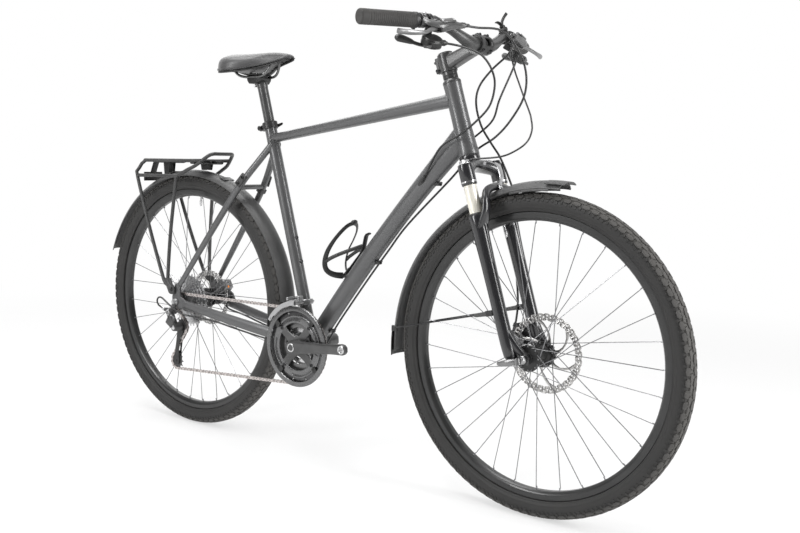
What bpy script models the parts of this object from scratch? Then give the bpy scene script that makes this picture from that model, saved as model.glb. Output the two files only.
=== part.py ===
"""Trekking bike with a short-travel suspension fork, disc brakes, mudguards and a rear rack.

Units are metres. +X points forward, +Y to the rider's left and +Z up. The origin is on the
ground, midway between the two wheels. The chain side faces -Y.
"""

import math

import bmesh
import bpy
from mathutils import Matrix, Vector

# Running gap between neighbouring pieces
GAP = 0.0003
# Facets round every pair of pieces that fit one in the other, so that their facets line up
ROUND_SIDES = 14

# Wheels
WHEELBASE = 1.122
TYRE_SECTION_HEIGHT = 0.042
TYRE_WIDTH = 0.047
TYRE_WALL = 0.003
WHEEL_SIDES = 30
HUB_SIDES = 10
RIM_WIDTH = 0.025
RIM_FLANGE_RADIUS = 0.316
RIM_BED_DEPTH = 0.0048
RIM_DEPTH = 0.0195
RIM_WALL = 0.0024
SPOKES_PER_SIDE = 16
SPOKE_CROSSINGS = 3
SPOKE_DIAMETER = 0.002
SPOKE_CIRCLE_RADIUS = 0.0255
HUB_FLANGE_RADIUS = 0.029
HUB_BODY_RADIUS = 0.017
AXLE_RADIUS = 0.005
AXLE_NUT_RADIUS = 0.0085
FRONT_HUB_WIDTH = 0.100
REAR_HUB_WIDTH = 0.135
FRONT_ROTOR_RADIUS = 0.090
REAR_ROTOR_RADIUS = 0.080
ROTOR_BAND = 0.017
ROTOR_THICKNESS = 0.0019
ROTOR_BORE_RADIUS = 0.0175
FRONT_ROTOR_INSET = 0.0105
REAR_ROTOR_INSET = 0.0153

# Frame
BB_DROP = 0.065
CHAINSTAY_LENGTH = 0.4636
SEAT_ANGLE = math.radians(73.5)
SEAT_TUBE_LENGTH = 0.592
SEAT_TUBE_RADIUS = 0.0159
SEATPOST_RADIUS = 0.0136
HEAD_ANGLE = math.radians(71.8)
HEAD_TUBE_LENGTH = 0.170
HEAD_TUBE_TOP_RADIUS = 0.021
HEAD_TUBE_BOTTOM_RADIUS = 0.024
HEAD_BORE_RADIUS = 0.0172
LOWER_BEARING_HEIGHT = 0.012
TOP_TUBE_BELOW_HEAD = 0.037
TOP_TUBE_BELOW_SEAT = 0.042
TOP_TUBE_REAR = (0.030, 0.024)
TOP_TUBE_FRONT = (0.038, 0.033)
DOWN_TUBE_ABOVE_CUP = 0.049
DOWN_TUBE_BOW = 0.013
DOWN_TUBE_REAR = (0.044, 0.045)
DOWN_TUBE_FRONT = (0.042, 0.060)
BB_SHELL_RADIUS = 0.0215
BB_SHELL_WIDTH = 0.073
BB_THREAD_RADIUS = 0.0172
BB_CUP_RADIUS = 0.0220
BB_CUP_WIDTH = 0.0105
CHAINSTAY_SIZE = (0.016, 0.030)
CHAINSTAY_REAR_SIZE = (0.013, 0.024)
CHAINSTAY_ROOT_Y = 0.026
SEATSTAY_DIAMETER = 0.018
SEATSTAY_REAR_SIZE = (0.009, 0.015)
SEATSTAY_BELOW_TOP = 0.060
DROPOUT_THICKNESS = 0.006
BRIDGE_RADIUS = 0.007
DROPOUT_SLOT = 0.0106
PORT_DEPTH = 0.006
PORT_RADIUS = 0.0034

# Fork
FORK_RAKE = 0.050
FORK_LENGTH = 0.458
FORK_TRAVEL = 0.050
LEG_SPACING = 0.127
LEG_OFFSET = 0.024
STANCHION_RADIUS = 0.0143
LOWER_LEG_RADIUS = 0.018
STEERER_RADIUS = 0.0143
CROWN_SOCKET_RADIUS = 0.0172
CROWN_SOCKET_TOP = -0.015
CROWN_SOCKET_BOTTOM = -0.063
CROWN_BRIDGE_THICKNESS = 0.018
LEG_TOP = -0.1305
STANCHION_BOTTOM = -0.250
ARCH_TOP = -0.069
ARCH_OFFSET = 0.0515
ARCH_THICKNESS = 0.011
FORK_DROPOUT_THICKNESS = 0.008

# Mudguards
GUARD_CLEARANCE = 0.017
GUARD_WIDTH = 0.055
GUARD_CROWN = 0.010
GUARD_WALL = 0.0022
FRONT_GUARD_START = math.radians(80)
FRONT_GUARD_END = math.radians(186)
REAR_GUARD_START = math.radians(5.5)
REAR_GUARD_END = math.radians(162)

# Steering parts, along the steering axis from the crown race
UPPER_BEARING_HEIGHT = 0.010
SPACER_HEIGHT = 0.018
SPACER_RADIUS = 0.0172
STEM_LENGTH = 0.095
STEM_RISE = 0.0075
STEM_CLAMP_HEIGHT = 0.042
STEM_CLAMP_RADIUS = 0.0195
BAR_CLAMP_RADIUS = 0.0155
BAR_RADIUS = 0.0111
BAR_HALF_WIDTH = 0.322
GRIP_RADIUS = 0.0165
GRIP_LENGTH = 0.132
BAR_CONTROLS_TILT = math.radians(27)

# Seat
SADDLE_LENGTH = 0.244
SADDLE_WIDTH = 0.158
SADDLE_NOSE_SETBACK = 0.088
SADDLE_HEIGHT = 0.751
SEATPOST_HEAD_HEIGHT = 0.693
SEATPOST_INSERTION = 0.252
SEAT_COLLAR_HEIGHT = 0.018
SEAT_COLLAR_WALL = 0.004
SEAT_EAR_WIDTH = 0.022
LEVER_EYE_RADIUS = 0.007
RAIL_RADIUS = 0.0035
RAIL_SPACING = 0.044
RAIL_DROP = 0.0628
SEATPOST_HEAD_SETBACK = 0.0132
CRADLE_HEIGHT = 0.0175
RAIL_CLAMP_HEIGHT = 0.0055

# Drive
CHAIN_PITCH = 0.0127
CHAIN_LINE = 0.0585
BIG_RING_TEETH = 48
MIDDLE_RING_TEETH = 36
SMALL_RING_TEETH = 26
RING_SPACING = 0.008
RING_THICKNESS = 0.0018
COG_TEETH = (11, 13, 15, 17, 19, 21, 24, 28, 32, 36)
COG_SPACING = 0.00395
COG_THICKNESS = 0.0016
PULLEY_TEETH = 11
CRANK_LENGTH = 0.175
CRANK_ANGLE = math.radians(6.5)
CRANK_FACE_Y = 0.0690
CRANK_THICKNESS = 0.0145
SPINDLE_RADIUS = 0.012
CHAIN_GUARD_RADIUS = 0.104
CHAIN_GUARD_INNER_RADIUS = 0.083
CHAIN_GUARD_THICKNESS = 0.0025
CHAIN_HALF_WIDTH = 0.0028
CHAIN_HALF_HEIGHT = 0.0042
CHAIN_WEB = 0.0010
CHAIN_GROOVE_HALF_WIDTH = 0.0012
GUIDE_PULLEY_OFFSET = (0.010, -0.070)
TENSION_PULLEY_OFFSET = (-0.010, -0.172)

# Rear rack
RACK_TUBE_RADIUS = 0.005
RACK_DECK_CLEARANCE = 0.017
RACK_DECK_HALF_WIDTH = 0.052
RACK_RAIL_DROP = 0.0425
RACK_RAIL_HALF_WIDTH = 0.068
RACK_REAR_REACH = 0.175
RACK_FRONT_REACH = 0.083

X_AXIS = Vector((1, 0, 0))
Y_AXIS = Vector((0, 1, 0))
Z_AXIS = Vector((0, 0, 1))

TYRE_RADIUS = RIM_FLANGE_RADIUS + TYRE_SECTION_HEIGHT
RIM_BED_RADIUS = RIM_FLANGE_RADIUS - RIM_BED_DEPTH
RIM_INNER_RADIUS = RIM_FLANGE_RADIUS - RIM_DEPTH
GUARD_RADIUS = TYRE_RADIUS + GUARD_CLEARANCE
FRONT_AXLE = Vector((WHEELBASE / 2, 0, TYRE_RADIUS))
REAR_AXLE = Vector((-WHEELBASE / 2, 0, TYRE_RADIUS))
BOTTOM_BRACKET = REAR_AXLE + Vector((math.sqrt(CHAINSTAY_LENGTH**2 - BB_DROP**2), 0, -BB_DROP))
SEAT_UP = Vector((-math.cos(SEAT_ANGLE), 0, math.sin(SEAT_ANGLE)))
SEAT_FORWARD = Vector((math.sin(SEAT_ANGLE), 0, math.cos(SEAT_ANGLE)))
STEER_UP = Vector((-math.cos(HEAD_ANGLE), 0, math.sin(HEAD_ANGLE)))
STEER_FORWARD = Vector((math.sin(HEAD_ANGLE), 0, math.cos(HEAD_ANGLE)))
CROWN_RACE = FRONT_AXLE - STEER_FORWARD * FORK_RAKE + STEER_UP * FORK_LENGTH
HEAD_BOTTOM = LOWER_BEARING_HEIGHT
HEAD_TOP = HEAD_BOTTOM + HEAD_TUBE_LENGTH
SPACER_TOP = HEAD_TOP + UPPER_BEARING_HEIGHT + SPACER_HEIGHT
STEM_CENTRE = SPACER_TOP + GAP + STEM_CLAMP_HEIGHT / 2
STEM_TOP = STEM_CENTRE + STEM_CLAMP_HEIGHT / 2
LEG_Y = LEG_SPACING / 2
SEATPOST_HOLE_RADIUS = SEATPOST_RADIUS + GAP
SADDLE_NOSE_X = BOTTOM_BRACKET.x - SADDLE_NOSE_SETBACK
SADDLE_TOP_Z = BOTTOM_BRACKET.z + SADDLE_HEIGHT
RAIL_Z = SADDLE_TOP_Z - RAIL_DROP
SEATPOST_HEAD_X = BOTTOM_BRACKET.x + SEAT_UP.x * SEATPOST_HEAD_HEIGHT - SEATPOST_HEAD_SETBACK
RACK_DECK_Z = REAR_AXLE.z + GUARD_RADIUS + RACK_DECK_CLEARANCE
RACK_RAIL_Z = RACK_DECK_Z - RACK_RAIL_DROP
RACK_REAR_X = REAR_AXLE.x - RACK_REAR_REACH
RACK_FRONT_X = REAR_AXLE.x + RACK_FRONT_REACH
# A faceted bore is narrower across its flats by this share, and what turns in it stays within that
FLAT_SHARE = math.cos(math.pi / ROUND_SIDES)
GRIP_START = BAR_HALF_WIDTH - GRIP_LENGTH


def steer_point(forward, y, up):
    """A point given along the steering frame, measured from the crown race."""
    return CROWN_RACE + STEER_FORWARD * forward + STEER_UP * up + Y_AXIS * y


def seat_point(up, y=0.0, forward=0.0):
    """A point given along the seat tube, measured from the bottom bracket."""
    return BOTTOM_BRACKET + SEAT_UP * up + Y_AXIS * y + SEAT_FORWARD * forward


def sprocket_radius(teeth):
    return CHAIN_PITCH / (2 * math.sin(math.pi / teeth))


# Scene helpers

MATERIALS = {}
PIVOTS = {}


def clear_scene():
    for old in list(bpy.data.objects):
        bpy.data.objects.remove(old)


def add_material(name, colour, roughness, metallic):
    made = bpy.data.materials.new(name)
    made.use_nodes = True
    shader = made.node_tree.nodes["Principled BSDF"]
    shader.inputs["Base Color"].default_value = (*colour, 1.0)
    shader.inputs["Roughness"].default_value = roughness
    shader.inputs["Metallic"].default_value = metallic
    MATERIALS[name] = made


def make_materials():
    add_material("frame_paint", (0.055, 0.055, 0.060), 0.42, 0.6)
    add_material("gloss_black", (0.008, 0.008, 0.009), 0.25, 0.1)
    add_material("satin_black", (0.018, 0.018, 0.019), 0.45, 0.2)
    add_material("dark_grey", (0.075, 0.072, 0.075), 0.50, 0.4)
    add_material("rubber", (0.030, 0.029, 0.029), 0.80, 0.0)
    add_material("grip_rubber", (0.045, 0.042, 0.040), 0.85, 0.0)
    add_material("steel", (0.55, 0.54, 0.53), 0.30, 1.0)
    add_material("polished_alloy", (0.70, 0.69, 0.68), 0.22, 1.0)
    add_material("grey_alloy", (0.30, 0.30, 0.31), 0.38, 0.9)
    add_material("nickel", (0.62, 0.56, 0.45), 0.18, 1.0)
    add_material("chain_steel", (0.55, 0.49, 0.45), 0.35, 1.0)
    add_material("saddle_cover", (0.012, 0.012, 0.013), 0.55, 0.0)
    add_material("plastic_black", (0.014, 0.014, 0.015), 0.50, 0.0)


def add_pivot(name, place, parent=None):
    """An empty on a joint's axis, which carries the pieces that move on it."""
    empty = bpy.data.objects.new(name + "_pivot", None)
    empty.empty_display_size = 0.02
    bpy.context.scene.collection.objects.link(empty)
    above = PIVOTS.get(parent)
    if above is None:
        empty.location = place
    else:
        empty.parent = above[0]
        empty.location = place - above[1]
    PIVOTS[name] = (empty, place.copy())


def new_solid(verts, faces):
    """A raw closed mesh in world coordinates, with its faces turned outwards."""
    mesh = bpy.data.meshes.new("solid")
    mesh.from_pydata([tuple(v) for v in verts], [], faces)
    cleaner = bmesh.new()
    cleaner.from_mesh(mesh)
    bmesh.ops.recalc_face_normals(cleaner, faces=cleaner.faces)
    cleaner.to_mesh(mesh)
    cleaner.free()
    solid = bpy.data.objects.new("solid", mesh)
    bpy.context.scene.collection.objects.link(solid)
    return solid


def combine(base, tools, operation):
    """Unites the base with each tool, or cuts each tool out of it, and deletes the tools."""
    for tool in tools:
        modifier = base.modifiers.new(operation.lower(), "BOOLEAN")
        modifier.operation = operation
        modifier.object = tool
        graph = bpy.context.evaluated_depsgraph_get()
        mesh = bpy.data.meshes.new_from_object(base.evaluated_get(graph))
        base.modifiers.clear()
        base.data = mesh
        bpy.data.objects.remove(tool)
        tidy_mesh(mesh)
    return base


def tidy_mesh(mesh):
    """Closes the hairline seams that a Boolean can leave."""
    cleaner = bmesh.new()
    cleaner.from_mesh(mesh)
    bmesh.ops.remove_doubles(cleaner, verts=cleaner.verts, dist=0.000005)
    bmesh.ops.dissolve_degenerate(cleaner, edges=cleaner.edges, dist=0.000001)
    cleaner.to_mesh(mesh)
    cleaner.free()


def unite(base, *tools):
    return combine(base, tools, "UNION")


def cut(base, *tools):
    return combine(base, tools, "DIFFERENCE")


def finish(solid, name, material, body=None, smooth_angle=35):
    """Names a finished piece, gives it its material and sets it on its body's pivot."""
    solid.name = name
    solid.data.name = name
    solid.data.materials.clear()
    solid.data.materials.append(MATERIALS[material])
    solid.data.shade_smooth()
    solid.data.set_sharp_from_angle(angle=math.radians(smooth_angle))
    if body is not None:
        empty, place = PIVOTS[body]
        solid.data.transform(Matrix.Translation(-place))
        solid.parent = empty
    return solid


# Shape helpers


def cross_axes(axis):
    """Two directions square to an axis; the first one leans as far up as it can."""
    axis = axis.normalized()
    reference = X_AXIS if abs(axis.z) > 0.99 else Z_AXIS
    first = (reference - axis * reference.dot(axis)).normalized()
    return first, axis.cross(first)


def turned(origin, axis, profile, sides=16):
    """A solid turned about an axis from (along, radius) points; radius 0 at both ends closes it."""
    axis = axis.normalized()
    first, second = cross_axes(axis)
    verts = []
    rows = []
    for along, radius in profile:
        count = sides if radius > 0 else 1
        rows.append(range(len(verts), len(verts) + count))
        for step in range(count):
            angle = 2 * math.pi * step / sides
            spread = first * math.cos(angle) + second * math.sin(angle)
            verts.append(origin + axis * along + spread * radius)
    has_poles = len(rows[0]) == 1 and len(rows[-1]) == 1
    faces = []
    for k in range(len(rows) - 1 if has_poles else len(rows)):
        low = rows[k]
        high = rows[(k + 1) % len(rows)]
        for step in range(sides):
            after = (step + 1) % sides
            if len(low) == 1 and len(high) > 1:
                faces.append((low[0], high[step], high[after]))
            elif len(high) == 1 and len(low) > 1:
                faces.append((low[step], low[after], high[0]))
            elif len(low) > 1:
                faces.append((low[step], low[after], high[after], high[step]))
    return new_solid(verts, faces)


def rod(start, end, radius, sides=12):
    length = (end - start).length
    return turned(start, end - start, [(0, 0), (0, radius), (length, radius), (length, 0)], sides)


def tube(origin, axis, low, high, outer, inner, sides=16):
    """A ring or sleeve from low to high along an axis."""
    return turned(origin, axis, [(low, inner), (low, outer), (high, outer), (high, inner)], sides)


def sweep(points, sizes, sides=12, across=Y_AXIS):
    """A solid tube along points; each size is (width along across, height square to it)."""
    verts = []
    last = len(points) - 1
    for k, point in enumerate(points):
        ahead = (points[min(k + 1, last)] - point).normalized() if k < last else Vector((0, 0, 0))
        behind = (point - points[max(k - 1, 0)]).normalized() if k > 0 else Vector((0, 0, 0))
        along = (ahead + behind).normalized()
        side = (across - along * across.dot(along)).normalized()
        up = along.cross(side)
        wide, tall = sizes[k] if isinstance(sizes, list) else sizes
        for step in range(sides):
            angle = 2 * math.pi * (step + 0.5) / sides
            spread = side * (wide / 2 * math.cos(angle)) + up * (tall / 2 * math.sin(angle))
            verts.append(point + spread)
    faces = [tuple(range(sides)), tuple(range(last * sides, (last + 1) * sides))]
    for k in range(last):
        for step in range(sides):
            after = (step + 1) % sides
            low = k * sides
            high = low + sides
            faces.append((low + step, low + after, high + after, high + step))
    return new_solid(verts, faces)


def round_bar(points, radius, sides=8, across=Y_AXIS):
    return sweep(points, (2 * radius, 2 * radius), sides, across)


def slab(outline, origin, first, second, thickness):
    """A flat plate: an outline in the two given directions, extruded along their normal."""
    normal = first.cross(second).normalized()
    verts = []
    for lift in (-thickness / 2, thickness / 2):
        for a, b in outline:
            verts.append(origin + first * a + second * b + normal * lift)
    count = len(outline)
    faces = [tuple(range(count)), tuple(range(count, 2 * count))]
    for k in range(count):
        after = (k + 1) % count
        faces.append((k, after, count + after, count + k))
    return new_solid(verts, faces)


def block(centre, size, first=X_AXIS, second=Y_AXIS):
    """A box; its size is along first, second and their normal."""
    a, b, c = size
    outline = [(-a / 2, -b / 2), (a / 2, -b / 2), (a / 2, b / 2), (-a / 2, b / 2)]
    return slab(outline, centre, first, second, c)


def smooth_path(points, count):
    """Evenly spread points on a smooth curve through the given ones."""
    rough = []
    last = len(points) - 1
    for k in range(last):
        p0 = points[max(k - 1, 0)]
        p1 = points[k]
        p2 = points[k + 1]
        p3 = points[min(k + 2, last)]
        for step in range(16):
            t = step / 16
            rough.append(
                p1
                + (p2 - p0) * (0.5 * t)
                + (p0 * 2 - p1 * 5 + p2 * 4 - p3) * (0.5 * t * t)
                + (p1 * 3 - p0 - p2 * 3 + p3) * (0.5 * t**3)
            )
    rough.append(points[-1])
    lengths = [0.0]
    for k in range(1, len(rough)):
        lengths.append(lengths[-1] + (rough[k] - rough[k - 1]).length)
    spread = []
    for step in range(count):
        target = lengths[-1] * step / (count - 1)
        k = 1
        while k < len(lengths) - 1 and lengths[k] < target:
            k += 1
        share = (target - lengths[k - 1]) / (lengths[k] - lengths[k - 1])
        spread.append(rough[k - 1].lerp(rough[k], share))
    return spread


def cable(name, points, diameter, count, body=None, material="plastic_black"):
    """A cable or hose: a filled curve through the route's points."""
    curve = bpy.data.curves.new(name, "CURVE")
    curve.dimensions = "3D"
    curve.bevel_depth = diameter / 2
    curve.bevel_resolution = 2
    curve.use_fill_caps = True
    place = Vector((0, 0, 0))
    if body is not None:
        place = PIVOTS[body][1]
    spline = curve.splines.new("POLY")
    route = smooth_path([Vector(p) for p in points], count)
    spline.points.add(len(route) - 1)
    for spot, point in zip(spline.points, route):
        spot.co = (*(point - place), 1.0)
    curve.materials.append(MATERIALS[material])
    made = bpy.data.objects.new(name, curve)
    bpy.context.scene.collection.objects.link(made)
    if body is not None:
        made.parent = PIVOTS[body][0]
    return made


# Frame


def chainstay_path(side):
    """From the bottom bracket shell, round the tyre, to the dropout."""
    end_y = REAR_HUB_WIDTH / 2 + DROPOUT_THICKNESS / 2
    rear = REAR_AXLE + Vector((0.030, 0, -0.004))
    span = rear - BOTTOM_BRACKET
    places = [(0.0, CHAINSTAY_ROOT_Y), (0.20, 0.034), (0.42, 0.046), (0.75, 0.0605), (1.0, end_y)]
    return [BOTTOM_BRACKET + span * share + Y_AXIS * (side * y) for share, y in places]


def seatstay_path(side):
    """From the back of the seat tube, out round the tyre, to the dropout."""
    end_y = REAR_HUB_WIDTH / 2 + DROPOUT_THICKNESS / 2
    top = seat_point(SEAT_TUBE_LENGTH - SEATSTAY_BELOW_TOP)
    rear = REAR_AXLE + Vector((0.006, 0, 0.040))
    span = rear - top
    places = [(0.0, 0.010), (0.07, 0.019), (0.28, 0.045), (0.60, 0.0585), (1.0, end_y)]
    return [top + span * share + Y_AXIS * (side * y) for share, y in places]


def dropout(side):
    """A hooded plate round the rear axle, with a slot that opens downwards."""
    y = side * (REAR_HUB_WIDTH / 2 + DROPOUT_THICKNESS / 2)
    outline = [
        (-0.014, -0.013), (-0.006, -0.020), (0.016, -0.020), (0.040, -0.014), (0.044, 0.004),
        (0.030, 0.010), (0.017, 0.018), (0.016, 0.048), (-0.002, 0.052), (-0.013, 0.028),
        (-0.017, 0.010),
    ]
    plate = slab(outline, REAR_AXLE + Y_AXIS * y, X_AXIS, Z_AXIS, DROPOUT_THICKNESS)
    if side < 0:
        hanger = [(-0.016, 0.0), (-0.004, -0.004), (-0.001, -0.020), (-0.004, -0.036), (-0.018, -0.036),
                  (-0.020, -0.018)]
        plate = unite(plate, slab(hanger, REAR_AXLE + Y_AXIS * y, X_AXIS, Z_AXIS, DROPOUT_THICKNESS))
    eyelet = REAR_AXLE + Vector((-0.012, y, 0.034))
    return unite(plate, rod(eyelet - Y_AXIS * 0.003, eyelet + Y_AXIS * 0.003, 0.0075, 8))


def down_tube_path():
    head = steer_point(0, 0, HEAD_BOTTOM + DOWN_TUBE_ABOVE_CUP)
    span = head - BOTTOM_BRACKET
    upward = Vector((-span.z, 0, span.x)).normalized()
    path = []
    for step in range(9):
        share = step / 8
        bow = DOWN_TUBE_BOW * math.sin(math.pi * share) + 0.008 * max(0.0, share - 0.5) * (1 - share)
        path.append(BOTTOM_BRACKET + span * share + upward * bow)
    return path


def make_frame():
    path = down_tube_path()
    sizes = []
    for step in range(len(path)):
        share = step / (len(path) - 1)
        flare = max(0.0, share - 0.6) / 0.4
        wide = DOWN_TUBE_REAR[0] + (DOWN_TUBE_FRONT[0] - DOWN_TUBE_REAR[0]) * flare
        tall = DOWN_TUBE_REAR[1] + (DOWN_TUBE_FRONT[1] - DOWN_TUBE_REAR[1]) * flare**2
        sizes.append((wide, tall))
    frame = sweep(path, sizes, 12)
    seat_top = seat_point(SEAT_TUBE_LENGTH)
    head_low = steer_point(0, 0, HEAD_BOTTOM)
    taper = HEAD_TUBE_LENGTH * 0.35
    head_profile = [(0, 0), (0, HEAD_TUBE_BOTTOM_RADIUS), (0.012, HEAD_TUBE_BOTTOM_RADIUS),
                    (taper, HEAD_TUBE_TOP_RADIUS), (HEAD_TUBE_LENGTH, HEAD_TUBE_TOP_RADIUS),
                    (HEAD_TUBE_LENGTH, 0)]
    head = turned(head_low, STEER_UP, head_profile, ROUND_SIDES)
    seat = rod(BOTTOM_BRACKET, seat_top, SEAT_TUBE_RADIUS, ROUND_SIDES)
    shell = rod(BOTTOM_BRACKET - Y_AXIS * (BB_SHELL_WIDTH / 2),
                BOTTOM_BRACKET + Y_AXIS * (BB_SHELL_WIDTH / 2),
                BB_SHELL_RADIUS, ROUND_SIDES)
    top_rear = seat_point(SEAT_TUBE_LENGTH - TOP_TUBE_BELOW_SEAT)
    top_front = steer_point(0, 0, HEAD_TOP - TOP_TUBE_BELOW_HEAD)
    top = sweep([top_rear, top_front], [TOP_TUBE_REAR, TOP_TUBE_FRONT], 12)
    unite(frame, head, seat, shell, top)
    for side in (-1, 1):
        low = chainstay_path(side)
        low_sizes = [CHAINSTAY_SIZE] * (len(low) - 1) + [CHAINSTAY_REAR_SIZE]
        high = seatstay_path(side)
        high_sizes = [(SEATSTAY_DIAMETER,) * 2] * (len(high) - 1) + [SEATSTAY_REAR_SIZE]
        unite(frame, sweep(low, low_sizes, 8), sweep(high, high_sizes, 8), dropout(side))
    high_bridge = seatstay_path(1)[2]
    low_bridge = chainstay_path(1)[0].lerp(chainstay_path(1)[1], 0.86)
    for spot in (high_bridge, low_bridge):
        away = Y_AXIS * spot.y
        unite(frame, rod(spot - away * 2, spot, BRIDGE_RADIUS, 8))
    # The disc brake's mount fills the corner between the left stays
    mount_y = REAR_HUB_WIDTH / 2 + DROPOUT_THICKNESS / 2
    corner = [(0.026, 0.000), (0.080, -0.004), (0.084, 0.010), (0.022, 0.062), (0.014, 0.052), (0.020, 0.020)]
    unite(frame, slab(corner, REAR_AXLE + Y_AXIS * mount_y, X_AXIS, Z_AXIS, DROPOUT_THICKNESS))
    frame_bores(frame, seat_top)
    finish(frame, "frame", "frame_paint")


def frame_bores(frame, seat_top):
    """The holes for the seatpost, the steerer, the bottom bracket and the axle slots."""
    shell_end = BOTTOM_BRACKET - Y_AXIS * (BB_SHELL_WIDTH / 2 + 0.005)
    cut(frame, rod(shell_end, shell_end + Y_AXIS * (BB_SHELL_WIDTH + 0.010), BB_THREAD_RADIUS, ROUND_SIDES))
    cut(frame, rod(BOTTOM_BRACKET + SEAT_UP * 0.005, seat_top + SEAT_UP * 0.005, SEATPOST_HOLE_RADIUS, ROUND_SIDES))
    head_low = steer_point(0, 0, HEAD_BOTTOM - 0.005)
    cut(frame, rod(head_low, head_low + STEER_UP * (HEAD_TUBE_LENGTH + 0.010), HEAD_BORE_RADIUS, ROUND_SIDES))
    for side in (-1, 1):
        y = side * (REAR_HUB_WIDTH / 2 + DROPOUT_THICKNESS / 2)
        centre = REAR_AXLE + Y_AXIS * y
        half = Y_AXIS * (DROPOUT_THICKNESS / 2 + 0.004)
        cut(frame, rod(centre - half, centre + half, DROPOUT_SLOT / 2, 12))
        cut(frame, block(centre - Z_AXIS * 0.020, (DROPOUT_SLOT, DROPOUT_THICKNESS + 0.008, 0.040)))
    for side in (-1, 1):
        port, heading = cable_port(side)
        cut(frame, rod(port - heading * 0.030, port + heading * PORT_DEPTH, PORT_RADIUS, 8))
    # The slot in the back of the seat tube lets the collar close on the post
    slot = seat_point(SEAT_TUBE_LENGTH - 0.010, 0, -SEAT_TUBE_RADIUS)
    cut(frame, block(slot, (0.012, 0.002, 0.040), SEAT_FORWARD, Y_AXIS))


def make_seat_collar():
    """The quick-release collar round the top of the seat tube, with its two ears behind."""
    low = SEAT_TUBE_LENGTH - SEAT_COLLAR_HEIGHT + 0.002
    inner = SEAT_TUBE_RADIUS + GAP
    outer = inner + SEAT_COLLAR_WALL
    collar = turned(seat_point(0), SEAT_UP, [(low, 0), (low, outer), (low + SEAT_COLLAR_HEIGHT, outer),
                                             (low + SEAT_COLLAR_HEIGHT, 0)], ROUND_SIDES)
    middle = low + SEAT_COLLAR_HEIGHT / 2
    ear = block(seat_point(middle, 0, -outer - 0.004), (0.016, SEAT_EAR_WIDTH, SEAT_COLLAR_HEIGHT - 0.004),
                SEAT_FORWARD, Y_AXIS)
    unite(collar, ear)
    cut(collar, rod(seat_point(low - 0.004), seat_point(low + SEAT_COLLAR_HEIGHT + 0.004), inner, ROUND_SIDES))
    cut(collar, block(seat_point(middle, 0, -outer - 0.002), (0.026, 0.003, 0.030), SEAT_FORWARD, Y_AXIS))
    bolt = seat_point(middle, 0, -outer - 0.0055)
    cut(collar, rod(bolt - Y_AXIS * 0.020, bolt + Y_AXIS * 0.020, 0.0033, 8))
    finish(collar, "seat_collar", "satin_black")


def make_bottom_bracket():
    """Two outboard bearing cups and the sleeve that joins them through the shell."""
    edge = BB_SHELL_WIDTH / 2
    outer = edge + GAP + BB_CUP_WIDTH
    bore = (SPINDLE_RADIUS + GAP) / FLAT_SHARE
    thread = BB_THREAD_RADIUS - GAP
    profile = [
        (-outer, bore), (-outer, BB_CUP_RADIUS), (-edge - GAP, BB_CUP_RADIUS), (-edge - GAP, thread),
        (edge + GAP, thread), (edge + GAP, BB_CUP_RADIUS), (outer, BB_CUP_RADIUS), (outer, bore),
    ]
    finish(turned(BOTTOM_BRACKET, Y_AXIS, profile, ROUND_SIDES), "bottom_bracket", "satin_black")


def make_upper_headset():
    """The upper bearing, its cover and the spacers under the stem."""
    low = HEAD_TOP + GAP
    high = SPACER_TOP
    bore = (STEERER_RADIUS + GAP) / FLAT_SHARE
    profile = [
        (low - 0.010, bore), (low - 0.010, HEAD_BORE_RADIUS - GAP), (low, HEAD_BORE_RADIUS - GAP),
        (low, HEAD_TUBE_TOP_RADIUS), (low + 0.005, HEAD_TUBE_TOP_RADIUS),
        (low + UPPER_BEARING_HEIGHT, SPACER_RADIUS), (high, SPACER_RADIUS), (high, bore),
    ]
    finish(turned(CROWN_RACE, STEER_UP, profile, ROUND_SIDES), "headset_upper", "satin_black")


# Wheels


def make_tyre(name, centre, body):
    """A hollow casing whose beads sit in the rim."""
    casing = TYRE_WIDTH / 2
    middle = TYRE_RADIUS - casing
    bead_y = RIM_WIDTH / 2 - RIM_WALL - GAP
    bead_r = RIM_BED_RADIUS + GAP
    lip_r = RIM_FLANGE_RADIUS + 0.0008
    hip_y = RIM_WIDTH / 2 + 0.0032
    half = [(0.0, middle + casing)]
    for degrees in (55, 105):
        angle = math.radians(degrees)
        half.append((casing * math.sin(angle), middle + casing * math.cos(angle)))
    half += [(hip_y, lip_r), (bead_y, lip_r), (bead_y, bead_r), (bead_y - TYRE_WALL, bead_r)]
    inside = casing - TYRE_WALL
    for degrees in (75,):
        angle = math.radians(degrees)
        half.append((inside * math.sin(angle), middle + inside * math.cos(angle)))
    half.append((0.0, middle + inside))
    profile = half + [(-y, r) for y, r in reversed(half[1:-1])]
    finish(turned(centre, Y_AXIS, profile, WHEEL_SIDES), name, "rubber", body, 50)


def make_rim(name, centre, body):
    """A deep box rim with two flanges that hold the tyre."""
    edge = RIM_WIDTH / 2
    inner_edge = edge - RIM_WALL
    half = [(inner_edge, RIM_BED_RADIUS), (inner_edge, RIM_FLANGE_RADIUS), (edge, RIM_FLANGE_RADIUS),
            (edge, RIM_BED_RADIUS - 0.008), (edge * 0.5, RIM_INNER_RADIUS)]
    profile = half + [(-y, r) for y, r in reversed(half)]
    finish(turned(centre, Y_AXIS, profile, WHEEL_SIDES), name, "gloss_black", body)


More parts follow.
